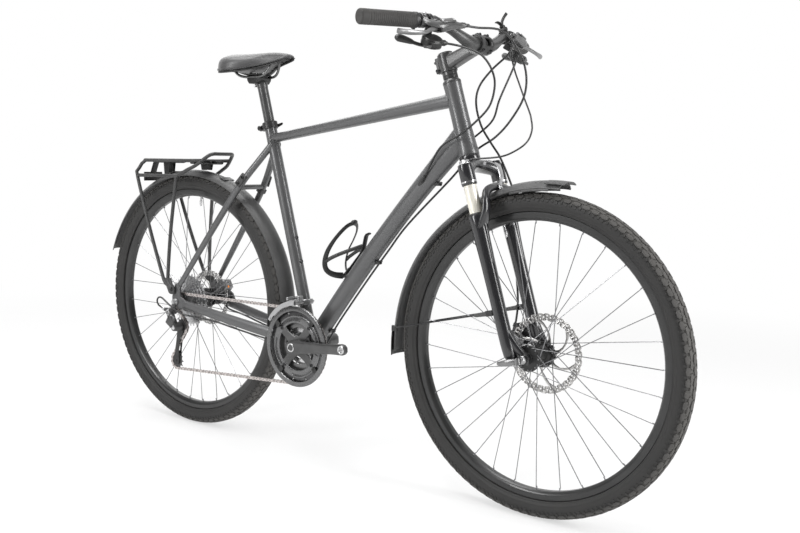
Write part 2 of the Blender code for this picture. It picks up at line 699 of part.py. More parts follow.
def spoke(centre, side, flange_y, index, phase):
    """One spoke, from its flange hole to just inside the rim."""
    step = 2 * math.pi / SPOKES_PER_SIDE
    lean = SPOKE_CROSSINGS * step * (1 if index % 2 == 0 else -1)
    hub_angle = index * step + phase
    rim_angle = hub_angle + lean
    reach = RIM_INNER_RADIUS * math.cos(math.pi / WHEEL_SIDES) - 0.0006
    spread = 0.0009 * (1 if index % 2 == 0 else -1)
    start = centre + Vector((math.cos(hub_angle) * SPOKE_CIRCLE_RADIUS, flange_y + spread,
                             math.sin(hub_angle) * SPOKE_CIRCLE_RADIUS))
    end = centre + Vector((math.cos(rim_angle) * reach, side * 0.003, math.sin(rim_angle) * reach))
    return rod(start, end, SPOKE_DIAMETER / 2, 3)


def make_hub(name, centre, body, flanges, ends, phase):
    """A hub shell with two flanges, laced with its spokes. Flanges and ends are (right, left) in y."""
    bore = AXLE_RADIUS + GAP
    right, left = flanges
    low, high = ends
    wall = 0.0035
    profile = [
        (low, bore), (low, 0.0125), (right - wall, 0.0135), (right - wall, HUB_FLANGE_RADIUS),
        (right, HUB_FLANGE_RADIUS), (right + 0.004, HUB_BODY_RADIUS), (left - 0.004, HUB_BODY_RADIUS),
        (left, HUB_FLANGE_RADIUS), (left + wall, HUB_FLANGE_RADIUS), (left + wall, ROTOR_BORE_RADIUS - GAP),
        (high, ROTOR_BORE_RADIUS - GAP), (high, bore),
    ]
    hub = turned(centre, Y_AXIS, profile, HUB_SIDES)
    for side, flange_y in ((-1, right - wall / 2), (1, left + wall / 2)):
        for index in range(SPOKES_PER_SIDE):
            turn = phase + (math.pi / SPOKES_PER_SIDE if side > 0 else 0)
            unite(hub, spoke(centre, side, flange_y, index, turn))
    finish(hub, name, "grey_alloy", body)


def make_rotor(name, centre, y, radius, body):
    """A brake disc: a band on six arms round its centre ring."""
    place = centre + Y_AXIS * y
    half = ROTOR_THICKNESS / 2
    rotor = tube(place, Y_AXIS, -half, half, radius, radius - ROTOR_BAND, 18)
    ring = tube(place, Y_AXIS, -half, half, ROTOR_BORE_RADIUS + 0.010, ROTOR_BORE_RADIUS, HUB_SIDES)
    unite(rotor, ring)
    for index in range(6):
        angle = math.pi * index / 3
        lean = angle + 0.35
        near = ROTOR_BORE_RADIUS + 0.006
        far = radius - ROTOR_BAND / 2
        start = place + Vector((math.cos(angle) * near, 0, math.sin(angle) * near))
        end = place + Vector((math.cos(lean) * far, 0, math.sin(lean) * far))
        along = (end - start).normalized()
        arm = block((start + end) / 2, ((end - start).length, ROTOR_THICKNESS * 0.8, 0.007), along, Y_AXIS)
        unite(rotor, arm)
    finish(rotor, name, "steel", body)


def make_front_axle():
    """The quick-release skewer, its lock nuts and its end nut."""
    half = FRONT_HUB_WIDTH / 2
    outer = half + FORK_DROPOUT_THICKNESS + GAP
    profile = [
        (-half - 0.024, 0), (-half - 0.024, 0.0055), (-outer, 0.0055), (-outer, AXLE_RADIUS),
        (-half, AXLE_RADIUS), (-half + GAP, AXLE_NUT_RADIUS), (-half + 0.006, AXLE_NUT_RADIUS),
        (-half + 0.006, AXLE_RADIUS), (half - 0.006, AXLE_RADIUS), (half - 0.006, AXLE_NUT_RADIUS),
        (half - GAP, AXLE_NUT_RADIUS), (half, AXLE_RADIUS), (outer, AXLE_RADIUS), (outer, 0.0095),
        (outer + 0.012, 0.0080), (outer + 0.012, 0),
    ]
    finish(turned(FRONT_AXLE, Y_AXIS, profile, 10), "front_axle", "grey_alloy", "fork_lowers")


def make_rear_axle():
    """The rear skewer, its lock nuts and its end nut."""
    half = REAR_HUB_WIDTH / 2
    outer = half + DROPOUT_THICKNESS + GAP
    profile = [
        (-outer - 0.012, 0), (-outer - 0.012, 0.0080), (-outer, 0.0095), (-outer, AXLE_RADIUS),
        (-half, AXLE_RADIUS), (-half + GAP, AXLE_NUT_RADIUS), (-half + 0.0045, AXLE_NUT_RADIUS),
        (-half + 0.0045, AXLE_RADIUS), (half - 0.008, AXLE_RADIUS), (half - 0.008, AXLE_NUT_RADIUS),
        (half - GAP, AXLE_NUT_RADIUS), (half, AXLE_RADIUS), (outer, AXLE_RADIUS), (outer, 0.0055),
        (half + 0.024, 0.0055), (half + 0.024, 0),
    ]
    finish(turned(REAR_AXLE, Y_AXIS, profile, 10), "rear_axle", "grey_alloy")


def lever_blade(hinge, along, outward, length, width, thickness):
    """A quick-release lever: an eye round its hinge and a flat, slightly bent blade."""
    normal = along.cross(outward).normalized()
    eye = rod(hinge - normal * (width / 2), hinge + normal * (width / 2), LEVER_EYE_RADIUS, 10)
    mid = hinge + along * (length * 0.45) + outward * 0.0055
    tip = hinge + along * length + outward * 0.003
    blade = sweep([hinge, mid, tip], [(width * 0.8, thickness), (width, thickness), (width * 0.8, thickness)],
                  8, normal)
    return unite(eye, blade)


def make_quick_releases():
    """The three levers, each hinged across its skewer's end."""
    front_end = FRONT_AXLE - Y_AXIS * (FRONT_HUB_WIDTH / 2 + 0.024 + 0.0075)
    along = Vector((-0.97, 0, -0.24)).normalized()
    finish(lever_blade(front_end, along, -Y_AXIS, 0.050, 0.012, 0.004), "front_axle_lever", "polished_alloy",
           "front_axle_lever")
    rear_end = REAR_AXLE + Y_AXIS * (REAR_HUB_WIDTH / 2 + 0.024 + 0.0075)
    along = Vector((-0.90, 0, -0.44)).normalized()
    finish(lever_blade(rear_end, along, Y_AXIS, 0.050, 0.012, 0.004), "rear_axle_lever", "polished_alloy",
           "rear_axle_lever")
    finish(lever_blade(seat_lever_hinge(), SEAT_FORWARD, Y_AXIS, 0.052, 0.010, 0.004), "seat_collar_lever",
           "satin_black", "seat_collar_lever")


def seat_lever_hinge():
    middle = SEAT_TUBE_LENGTH - SEAT_COLLAR_HEIGHT / 2 + 0.002
    outer = SEAT_TUBE_RADIUS + GAP + SEAT_COLLAR_WALL
    return seat_point(middle, SEAT_EAR_WIDTH / 2 + GAP + LEVER_EYE_RADIUS, -outer - 0.0055)


# Fork and mudguards


def make_fork_uppers():
    """Steerer, crown race, crown and the two stanchions, as one bonded piece."""
    race = LOWER_BEARING_HEIGHT - GAP
    seat = HEAD_BORE_RADIUS * FLAT_SHARE - GAP
    top = STEM_TOP - 0.004
    profile = [(-0.016, 0), (-0.016, 0.016), (0.0, HEAD_TUBE_BOTTOM_RADIUS), (race, HEAD_TUBE_BOTTOM_RADIUS),
               (race, seat), (race + 0.008, seat), (race + 0.008, STEERER_RADIUS), (top, STEERER_RADIUS),
               (top, 0)]
    uppers = turned(CROWN_RACE, STEER_UP, profile, ROUND_SIDES)
    bridge = [steer_point(LEG_OFFSET, -LEG_Y, -0.028), steer_point(0.018, -0.046, -0.017),
              steer_point(0.006, -0.020, -0.009), steer_point(0.006, 0.020, -0.009),
              steer_point(0.018, 0.046, -0.017), steer_point(LEG_OFFSET, LEG_Y, -0.028)]
    sizes = [(0.030, 0.022), (0.036, 0.022), (0.044, 0.018), (0.044, 0.018), (0.036, 0.022), (0.030, 0.022)]
    unite(uppers, sweep(bridge, sizes, 10, STEER_FORWARD))
    for side in (-1, 1):
        leg = steer_point(LEG_OFFSET, side * LEG_Y, 0)
        low = STANCHION_BOTTOM
        stanchion = [
            (low, 0), (low, STANCHION_RADIUS), (CROWN_SOCKET_BOTTOM, STANCHION_RADIUS),
            (CROWN_SOCKET_BOTTOM, CROWN_SOCKET_RADIUS), (CROWN_SOCKET_TOP, CROWN_SOCKET_RADIUS),
            (CROWN_SOCKET_TOP, 0.012), (CROWN_SOCKET_TOP + 0.008, 0.011), (CROWN_SOCKET_TOP + 0.008, 0),
        ]
        unite(uppers, turned(leg, STEER_UP, stanchion, ROUND_SIDES))
    finish(uppers, "fork_uppers", "nickel", "steering")


def make_fork_lowers():
    """Both lower legs, the arch over the tyre and the two axle hooks, cast in one piece."""
    bore = STANCHION_RADIUS + GAP
    profile = [
        (-0.430, 0), (-0.430, 0.011), (-0.418, 0.0150), (-0.30, 0.0155), (-0.160, LOWER_LEG_RADIUS),
        (LEG_TOP, LOWER_LEG_RADIUS), (LEG_TOP, 0),
    ]
    arch_s = ARCH_TOP - ARCH_THICKNESS / 2
    arch = [steer_point(0.030, -LEG_Y, -0.152), steer_point(0.046, -LEG_Y + 0.001, -0.124),
            steer_point(ARCH_OFFSET, -0.050, -0.095), steer_point(ARCH_OFFSET, -0.026, arch_s - 0.003),
            steer_point(ARCH_OFFSET, 0, arch_s)]
    arch += [steer_point(ARCH_OFFSET, 0.026, arch_s - 0.003), steer_point(ARCH_OFFSET, 0.050, -0.095),
             steer_point(0.046, LEG_Y - 0.001, -0.124), steer_point(0.030, LEG_Y, -0.152)]
    sizes = [(0.012, 0.024)] + [(ARCH_THICKNESS, 0.016)] * 2 + [(ARCH_THICKNESS, ARCH_THICKNESS)] * 3
    sizes += [(ARCH_THICKNESS, 0.016)] * 2 + [(0.012, 0.024)]
    lowers = sweep(arch, sizes, 8, STEER_FORWARD)
    for side in (-1, 1):
        plate_y = side * (FRONT_HUB_WIDTH / 2 + FORK_DROPOUT_THICKNESS / 2)
        hook = [(-0.010, -0.013), (0.010, -0.013), (0.0135, 0.0), (0.011, 0.011), (-0.010, 0.034),
                (-0.016, 0.050),
                (-0.034, 0.050), (-0.037, 0.026), (-0.022, 0.010)]
        plate = slab(hook, FRONT_AXLE + Y_AXIS * plate_y, STEER_FORWARD, STEER_UP, FORK_DROPOUT_THICKNESS)
        unite(lowers, turned(steer_point(LEG_OFFSET, side * LEG_Y, 0), STEER_UP, profile, ROUND_SIDES), plate)
        cut(lowers, rod(FRONT_AXLE + Y_AXIS * (plate_y - 0.008), FRONT_AXLE + Y_AXIS * (plate_y + 0.008),
                        DROPOUT_SLOT / 2, 12))
        cut(lowers, block(FRONT_AXLE + Y_AXIS * plate_y - STEER_UP * 0.020,
                          (DROPOUT_SLOT, FORK_DROPOUT_THICKNESS + 0.006, 0.040), STEER_FORWARD, Y_AXIS))
    tab = [(-0.020, 0.030), (-0.024, 0.075), (-0.072, 0.080), (-0.085, 0.060), (-0.070, 0.030)]
    unite(lowers, slab(tab, FRONT_AXLE + Y_AXIS * 0.0575, STEER_FORWARD, STEER_UP, 0.006))
    for side in (-1, 1):
        deep = steer_point(LEG_OFFSET, side * LEG_Y, STANCHION_BOTTOM - FORK_TRAVEL - 0.006)
        cut(lowers, rod(deep, steer_point(LEG_OFFSET, side * LEG_Y, LEG_TOP + 0.010), bore, ROUND_SIDES))
    finish(lowers, "fork_lowers", "gloss_black", "fork_lowers")


def guard_shell(centre, start, end, steps, radius_at, half_width, wall):
    """A mudguard: an arched strip bent round the wheel. Angles run from +X towards +Z."""
    verts = []
    across = 4
    for step in range(steps + 1):
        share = step / steps
        angle = start + (end - start) * share
        outward = Vector((math.cos(angle), 0, math.sin(angle)))
        crown = radius_at(share)
        for lift in (0.0, -wall):
            for k in range(across + 1):
                t = 2 * k / across - 1
                y = (half_width + (lift * 0.8 if abs(t) == 1 else 0)) * t
                radius = crown + lift - GUARD_CROWN * abs(t) ** 2.4
                verts.append(centre + outward * radius + Y_AXIS * y)
    row = 2 * (across + 1)
    faces = []
    for step in range(steps):
        for k in range(across):
            a = step * row + k
            faces.append((a, a + 1, a + row + 1, a + row))
            b = a + across + 1
            faces.append((b, b + 1, b + row + 1, b + row))
        for k in (0, across):
            a = step * row + k
            b = a + across + 1
            faces.append((a, b, b + row, a + row))
    for step in (0, steps):
        for k in range(across):
            a = step * row + k
            faces.append((a, a + 1, a + across + 2, a + across + 1))
    return new_solid(verts, faces)


def make_front_guard():
    """The front mudguard with its wire stay."""

    def crown_radius(share):
        return GUARD_RADIUS + 0.010 * max(0.0, (0.25 - share) / 0.25) + 0.014 * max(0.0,
                                                                                    (share - 0.45) / 0.55)

    guard = guard_shell(FRONT_AXLE, FRONT_GUARD_START, FRONT_GUARD_END, 16, crown_radius, GUARD_WIDTH / 2,
                        GUARD_WALL)
    for side in (-1, 1):
        low = FRONT_AXLE + Vector((-GUARD_RADIUS - 0.004, side * (GUARD_WIDTH / 2 - 0.001), 0.016))
        high = steer_point(LEG_OFFSET - LOWER_LEG_RADIUS - 0.004, side * LEG_Y, -0.345)
        unite(guard, round_bar([low, low.lerp(high, 0.15) + Y_AXIS * (side * 0.012), high], 0.0019, 6))
    finish(guard, "front_mudguard", "satin_black", "fork_lowers")


def make_rear_guard():

    def crown_radius(share):
        return GUARD_RADIUS - 0.004 + 0.012 * max(0.0, (0.45 - share) / 0.45) + 0.016 * max(0.0,
                                                                                            (share - 0.62) / 0.38)

    guard = guard_shell(REAR_AXLE, REAR_GUARD_START, REAR_GUARD_END, 18, crown_radius, GUARD_WIDTH / 2,
                        GUARD_WALL)
    bridge = seatstay_path(1)[2]
    outward = Vector((bridge.x - REAR_AXLE.x, 0, bridge.z - REAR_AXLE.z))
    reach = outward.length - BRIDGE_RADIUS - GAP
    outward.normalize()
    share = (math.atan2(outward.z, outward.x) - REAR_GUARD_START) / (REAR_GUARD_END - REAR_GUARD_START)
    near = crown_radius(share) - GUARD_WALL * 0.6
    foot = block(REAR_AXLE + outward * ((near + reach) / 2), (reach - near, 0.024, 0.020), outward, Y_AXIS)
    finish(unite(guard, foot), "rear_mudguard", "satin_black")


def strip_outline(points, thickness):
    """The outline of a bent strip of even thickness along a 2-D polyline."""
    ahead = []
    back = []
    last = len(points) - 1
    for k, (a, b) in enumerate(points):
        before = Vector(points[max(k - 1, 0)])
        here = Vector((a, b))
        after = Vector(points[min(k + 1, last)])
        first = (here - before).normalized() if k > 0 else (after - here).normalized()
        second = (after - here).normalized() if k < last else first
        along = (first + second).normalized()
        normal = Vector((-along.y, along.x))
        stretch = thickness / 2 / max(0.5, along.dot(first))
        ahead.append(tuple(here + normal * stretch))
        back.append(tuple(here - normal * stretch))
    return ahead + back[::-1]


def make_lamp_bracket():
    """A bent strip on the front of the arch that carries a front lamp."""
    face = ARCH_OFFSET + ARCH_THICKNESS / 2 + GAP + 0.0013
    points = [(face, ARCH_TOP - 0.014), (face, ARCH_TOP + 0.004), (0.068, ARCH_TOP + 0.012), (0.068, -0.014),
              (0.062, -0.006), (0.036, -0.008)]
    strip = slab(strip_outline(points, 0.0024), CROWN_RACE, STEER_FORWARD, STEER_UP, 0.020)
    finish(strip, "lamp_bracket", "satin_black", "fork_lowers")


def brake_caliper(centre, angle, near, far, half, low_y, high_y, rotor_y, rotor_radius):
    """A caliper body with a slot for the rotor, set at an angle round the axle."""
    outward = Vector((math.cos(angle), 0, math.sin(angle)))
    around = Vector((-math.sin(angle), 0, math.cos(angle)))
    middle_y = (low_y + high_y) / 2
    outline = [(near, -half * 0.8), (far - 0.010, -half), (far, -half * 0.55), (far, half * 0.55),
               (far - 0.010, half), (near, half * 0.8)]
    body = slab(outline, centre + Y_AXIS * middle_y, outward, around, high_y - low_y)
    slot = ROTOR_THICKNESS / 2 + 0.0008
    reach = rotor_radius + 0.002
    cutter = [(near - 0.010, -half - 0.010), (reach, -half - 0.010), (reach, half + 0.010),
              (near - 0.010, half + 0.010)]
    return cut(body, slab(cutter, centre + Y_AXIS * rotor_y, outward, around, slot * 2))


def make_calipers():
    front_y = FRONT_HUB_WIDTH / 2 - FRONT_ROTOR_INSET
    lean = math.radians(150) + math.pi / 2 - HEAD_ANGLE
    caliper = brake_caliper(FRONT_AXLE, lean, 0.064, 0.102, 0.020, 0.0250, 0.0542, front_y,
                            FRONT_ROTOR_RADIUS)
    finish(caliper, "front_caliper", "grey_alloy", "fork_lowers")
    rear_y = REAR_HUB_WIDTH / 2 - REAR_ROTOR_INSET
    caliper = brake_caliper(REAR_AXLE, math.radians(33), 0.054, 0.092, 0.018, 0.0385,
                            REAR_HUB_WIDTH / 2 - GAP, rear_y, REAR_ROTOR_RADIUS)
    finish(caliper, "rear_caliper", "grey_alloy")


# Steering parts


def make_stem():
    """Clamp, neck, top cap and the rear half of the handlebar clamp."""
    bore = STEERER_RADIUS + GAP
    low = STEM_CENTRE - STEM_CLAMP_HEIGHT / 2
    stem = turned(CROWN_RACE, STEER_UP, [(low, 0), (low, STEM_CLAMP_RADIUS), (STEM_TOP, STEM_CLAMP_RADIUS),
                                         (STEM_TOP + 0.0006, 0.0165), (STEM_TOP + 0.003, 0.0160),
                                         (STEM_TOP + 0.003, 0)], ROUND_SIDES)
    bar = steer_point(STEM_LENGTH, 0, BAR_HEIGHT)
    neck = sweep([steer_point(0.008, 0, STEM_CENTRE - 0.002), steer_point(STEM_LENGTH - 0.010, 0, BAR_HEIGHT - 0.002)],
                 [(0.030, 0.030), (0.032, 0.026)], 12)
    clamp = rod(bar - Y_AXIS * 0.023, bar + Y_AXIS * 0.023, BAR_CLAMP_RADIUS + 0.0065, ROUND_SIDES)
    ears = block(steer_point(-STEM_CLAMP_RADIUS - 0.001, 0, STEM_CENTRE), (0.010, 0.020, 0.034),
                 STEER_FORWARD, Y_AXIS)
    unite(stem, neck, clamp, ears)
    cut(stem, rod(steer_point(0, 0, low - 0.010), steer_point(0, 0, STEM_TOP - 0.003), bore, ROUND_SIDES))
    cut(stem, rod(bar - Y_AXIS * 0.030, bar + Y_AXIS * 0.030, BAR_CLAMP_RADIUS + 0.0008, ROUND_SIDES))
    cut(stem, block(bar + STEER_FORWARD * 0.021, (0.040, 0.060, 0.060), STEER_FORWARD, Y_AXIS))
    cut(stem, block(steer_point(-STEM_CLAMP_RADIUS - 0.002, 0, STEM_CENTRE), (0.014, 0.0015, 0.060),
                    STEER_FORWARD, Y_AXIS))
    finish(stem, "stem", "satin_black", "steering")
    plate = rod(bar - Y_AXIS * 0.0225, bar + Y_AXIS * 0.0225, BAR_CLAMP_RADIUS + 0.0065, ROUND_SIDES)
    cut(plate, rod(bar - Y_AXIS * 0.030, bar + Y_AXIS * 0.030, BAR_CLAMP_RADIUS + 0.0008, ROUND_SIDES))
    cut(plate, block(bar - STEER_FORWARD * 0.016, (0.040, 0.060, 0.060), STEER_FORWARD, Y_AXIS))
    finish(plate, "stem_faceplate", "satin_black", "steering")


BAR_HEIGHT = STEM_CENTRE + STEM_RISE
BAR_BEND = (0.0855, BAR_HALF_WIDTH * 0.4596, 0.2797)
BAR_END = (0.0265, BAR_HALF_WIDTH - 0.002, 0.2915)
BAR_INNER = (0.0915, BAR_HALF_WIDTH * 0.3261, 0.2672)


def bar_point(side, y):
    """A point on the straight outer part of the handlebar, at a distance from the middle."""
    share = (y - BAR_BEND[1]) / (BAR_END[1] - BAR_BEND[1])
    forward = BAR_BEND[0] + (BAR_END[0] - BAR_BEND[0]) * share
    up = BAR_BEND[2] + (BAR_END[2] - BAR_BEND[2]) * share
    return steer_point(forward, side * y, up)


def bar_frame(side):
    """Directions along the bar outwards, ahead in the lever's plane, and up square to both."""
    along = (bar_point(side, BAR_END[1]) - bar_point(side, BAR_BEND[1])).normalized()
    ahead = Vector((math.cos(BAR_CONTROLS_TILT), 0, -math.sin(BAR_CONTROLS_TILT)))
    ahead = (ahead - along * ahead.dot(along)).normalized()
    up = ahead.cross(along) * (1 if ahead.cross(along).z > 0 else -1)
    return along, ahead, up


def make_handlebar():
    half = [steer_point(STEM_LENGTH, 0.0, BAR_HEIGHT), steer_point(STEM_LENGTH, 0.030, BAR_HEIGHT),
            steer_point(STEM_LENGTH - 0.0003, BAR_HALF_WIDTH * 0.1615, BAR_HEIGHT + 0.005),
            steer_point(0.0935, BAR_HALF_WIDTH * 0.2484, 0.2560),
            steer_point(*BAR_INNER), bar_point(1, BAR_BEND[1]), bar_point(1, BAR_HALF_WIDTH * 0.497),
            bar_point(1, BAR_HALF_WIDTH - 0.005)]
    radii = [BAR_CLAMP_RADIUS, BAR_CLAMP_RADIUS, 0.0138, 0.0118, BAR_RADIUS, BAR_RADIUS, BAR_RADIUS,
             BAR_RADIUS]
    other = [Vector((p.x, -p.y, p.z)) for p in half[:0:-1]]
    sizes = [(2 * r, 2 * r) for r in radii[:0:-1]] + [(2 * r, 2 * r) for r in radii]
    finish(sweep(other + half, sizes, 10, STEER_UP), "handlebar", "satin_black", "steering")


def make_controls(side, word):
    """Grip, brake housing and lever, and shifter with its thumb lever, for one end of the bar."""
    along, ahead, up = bar_frame(side)
    bore = BAR_RADIUS + 0.0005
    length = GRIP_LENGTH / abs(along.y)
    grip = [(length, 0), (length, GRIP_RADIUS - 0.003), (length - 0.004, GRIP_RADIUS), (0.006, GRIP_RADIUS),
            (0, GRIP_RADIUS - 0.002), (0, bore), (length - 0.0035, bore), (length - 0.0035, 0)]
    finish(turned(bar_point(side, GRIP_START), along, grip, 14), "grip_" + word, "grip_rubber", "steering")

    clamp = tube(bar_point(side, GRIP_START - 0.012), along, -0.006, 0.006, 0.0160, bore, 14)
    pivot = bar_point(side, GRIP_START - 0.025) + ahead * 0.034
    nose = steer_point(0.125, side * 0.104, 0.2600)
    spine = [bar_point(side, GRIP_START - 0.011) + ahead * 0.0155 + up * 0.003,
             bar_point(side, GRIP_START - 0.014) + ahead * 0.027 + up * 0.003,
             pivot - along * 0.004 + ahead * 0.002 + up * 0.002, pivot.lerp(nose, 0.5) + up * 0.003, nose]
    housing = sweep(spine, [(0.016, 0.014), (0.022, 0.020), (0.026, 0.024), (0.022, 0.020), (0.013, 0.013)],
                    8, up)
    unite(clamp, housing)
    cut(clamp, rod(pivot - up * 0.020, pivot + up * 0.020, 0.0030, 8))
    mouth = block(pivot + along * 0.010 + ahead * 0.004, (0.040, 0.034, 0.0094), along, ahead)
    cut(clamp, mouth)
    finish(clamp, "brake_housing_" + word, "satin_black", "steering")

    eye = rod(pivot - up * 0.0115, pivot + up * 0.0115, 0.0026, 8)
    blade = [pivot - along * 0.004 + ahead * 0.002, pivot + along * 0.022 + ahead * 0.0155,
             bar_point(side, GRIP_START + 0.015) + ahead * 0.064, bar_point(side,
                                                                            GRIP_START + 0.05) + ahead * 0.068,
             bar_point(side, GRIP_START + 0.078) + ahead * 0.063]
    blade_sizes = [(0.0085, 0.011), (0.0085, 0.011), (0.0085, 0.008), (0.0100, 0.006), (0.0110, 0.008)]
    lever = sweep(blade, blade_sizes, 8, up)
    finish(unite(lever, eye), "brake_lever_" + word, "grey_alloy", "brake_lever_" + word)

    strap = tube(bar_point(side, GRIP_START - 0.0285), along, -0.0045, 0.0045, 0.0150, bore, 14)
    body = bar_point(side, GRIP_START - 0.022)
    neck = block(bar_point(side, GRIP_START - 0.0285) + ahead * 0.006 - up * 0.0185, (0.009, 0.010, 0.014),
                 along, ahead)
    centre = body + ahead * 0.040 - up * 0.0290
    outline = [(-0.022, -0.016), (-0.014, -0.021), (0.014, -0.020), (0.021, -0.008), (0.020, 0.012),
               (0.008, 0.021), (-0.012, 0.021), (-0.022, 0.010)]
    pod = slab(outline, centre, along, ahead, 0.020)
    post = block(bar_point(side, GRIP_START - 0.0285) + ahead * 0.014 - up * 0.0270, (0.0085, 0.026, 0.011),
                 along, ahead)
    unite(strap, neck, post, pod)
    finish(strap, "shifter_" + word, "satin_black", "steering")

    hinge = body + ahead * 0.036 - up * 0.0408
    paddle = [hinge, hinge + along * 0.022 - ahead * 0.006, hinge + along * 0.042 - ahead * 0.026,
              hinge + along * 0.052 - ahead * 0.034]
    thumb = sweep(paddle, [(0.003, 0.012), (0.003, 0.010), (0.005, 0.009), (0.008, 0.014)], 8, up)
    finish(thumb, "thumb_lever_" + word, "dark_grey", "thumb_lever_" + word)


LOCKOUT_SHARE = 0.45
LOCKOUT_BOSS_TOP = 0.0230


def lockout_centre():
    return steer_point(*BAR_INNER).lerp(steer_point(*BAR_BEND), LOCKOUT_SHARE)


def lockout_hinge():
    return lockout_centre() + STEER_UP * (LOCKOUT_BOSS_TOP + GAP + 0.001) + STEER_FORWARD * 0.002


def make_lockout_remote():
    """The fork's lockout switch on the left of the bar, and its lever, which stands up."""
    centre = lockout_centre()
    along = (steer_point(*BAR_BEND) - steer_point(*BAR_INNER)).normalized()
    ring = tube(centre, along, -0.005, 0.005, 0.0155, BAR_RADIUS + 0.0008, 14)
    boss = block(centre + STEER_UP * (LOCKOUT_BOSS_TOP - 0.005) + STEER_FORWARD * 0.002,
                 (0.020, 0.012, 0.010), STEER_FORWARD, Y_AXIS)
    outlet = rod(centre + STEER_FORWARD * 0.0170 + STEER_UP * 0.001,
                 centre + STEER_FORWARD * 0.0170 - STEER_UP * 0.0110, 0.004, 8)
    finish(unite(ring, boss, outlet), "lockout_remote", "plastic_black", "steering")
    hinge = lockout_hinge()
    blade = [hinge - STEER_UP * 0.001, hinge + STEER_UP * 0.012 + STEER_FORWARD * 0.002,
             hinge + STEER_UP * 0.029 + STEER_FORWARD * 0.016 + Y_AXIS * 0.006]
    lever = sweep(blade, [(0.012, 0.003), (0.010, 0.003), (0.009, 0.003)], 8, Y_AXIS)
    paddle = [hinge + STEER_UP * 0.003, hinge + STEER_UP * 0.009 - Y_AXIS * 0.012,
              hinge + STEER_UP * 0.010 - Y_AXIS * 0.022]
    unite(lever, sweep(paddle, [(0.008, 0.003), (0.008, 0.003), (0.010, 0.004)], 8, STEER_FORWARD))
    finish(lever, "lockout_lever", "plastic_black", "lockout_lever")


# Drive


def guide_centre():
    return REAR_AXLE + Vector((GUIDE_PULLEY_OFFSET[0], -CHAIN_LINE, GUIDE_PULLEY_OFFSET[1]))


def tension_centre():
    return REAR_AXLE + Vector((TENSION_PULLEY_OFFSET[0], -CHAIN_LINE, TENSION_PULLEY_OFFSET[1]))


def disc_radius(teeth):
    """A sprocket's plain radius, which leaves the chain's web clear of it."""
    return sprocket_radius(teeth) - 0.0022


def chain_path():
    """Stations (x, z, outward x, outward z) along the pitch line: ring, cog, guide, tension pulley."""
    small = sprocket_radius(COG_TEETH[0])
    pulley = sprocket_radius(PULLEY_TEETH)
    wheels = [
        (BOTTOM_BRACKET, sprocket_radius(BIG_RING_TEETH), 1, 13),
        (REAR_AXLE, small, 1, 7),
        (guide_centre(), pulley, -1, 5),
        (tension_centre(), pulley, 1, 7),
    ]
    headings = []
    for k, (centre, radius, sense, _) in enumerate(wheels):
        after, after_radius, after_sense, _ = wheels[(k + 1) % len(wheels)]
        gap = Vector((after.x - centre.x, after.z - centre.z))
        swing = math.asin((sense * radius - after_sense * after_radius) / gap.length)
        headings.append(math.atan2(gap.y, gap.x) + swing)
    stations = []
    for k, (centre, radius, sense, count) in enumerate(wheels):
        arrive = headings[k - 1] - sense * math.pi / 2
        leave = headings[k] - sense * math.pi / 2
        turn = (leave - arrive) * sense % (2 * math.pi) * sense
        for step in range(count):
            angle = arrive + turn * step / (count - 1)
            out_x = math.cos(angle)
            out_z = math.sin(angle)
            stations.append((centre.x + radius * out_x, centre.z + radius * out_z, out_x * sense, out_z * sense))
    return stations


def make_chain():
    """The chain as one closed band with a groove for the teeth on both faces."""
    w = CHAIN_HALF_WIDTH
    g = CHAIN_GROOVE_HALF_WIDTH
    h = CHAIN_HALF_HEIGHT
    b = CHAIN_WEB
    section = [(-w, -h), (-g, -h), (-g, -b), (g, -b), (g, -h), (w, -h), (w, h), (g, h), (g, b), (-g, b),
               (-g, h),
               (-w, h)]
    verts = []
    stations = chain_path()
    for x, z, out_x, out_z in stations:
        for y, lift in section:
            verts.append(Vector((x + out_x * lift, -CHAIN_LINE + y, z + out_z * lift)))
    count = len(section)
    faces = []
    for k in range(len(stations)):
        after = (k + 1) % len(stations)
        for j in range(count):
            near = (j + 1) % count
            faces.append((k * count + j, k * count + near, after * count + near, after * count + j))
    finish(new_solid(verts, faces), "chain", "chain_steel")


def sector(low, high, start, end, steps):
    """The outline of a part of a ring, in degrees."""
    outline = []
    for step in range(steps + 1):
        angle = math.radians(start + (end - start) * step / steps)
        outline.append((high * math.cos(angle), high * math.sin(angle)))
    for step in range(steps, -1, -1):
        angle = math.radians(start + (end - start) * step / steps)
        outline.append((low * math.cos(angle), low * math.sin(angle)))
    return outline


def around_crank(radius, degrees, y):
    angle = math.radians(degrees)
    return BOTTOM_BRACKET + Vector((radius * math.cos(angle), y, radius * math.sin(angle)))


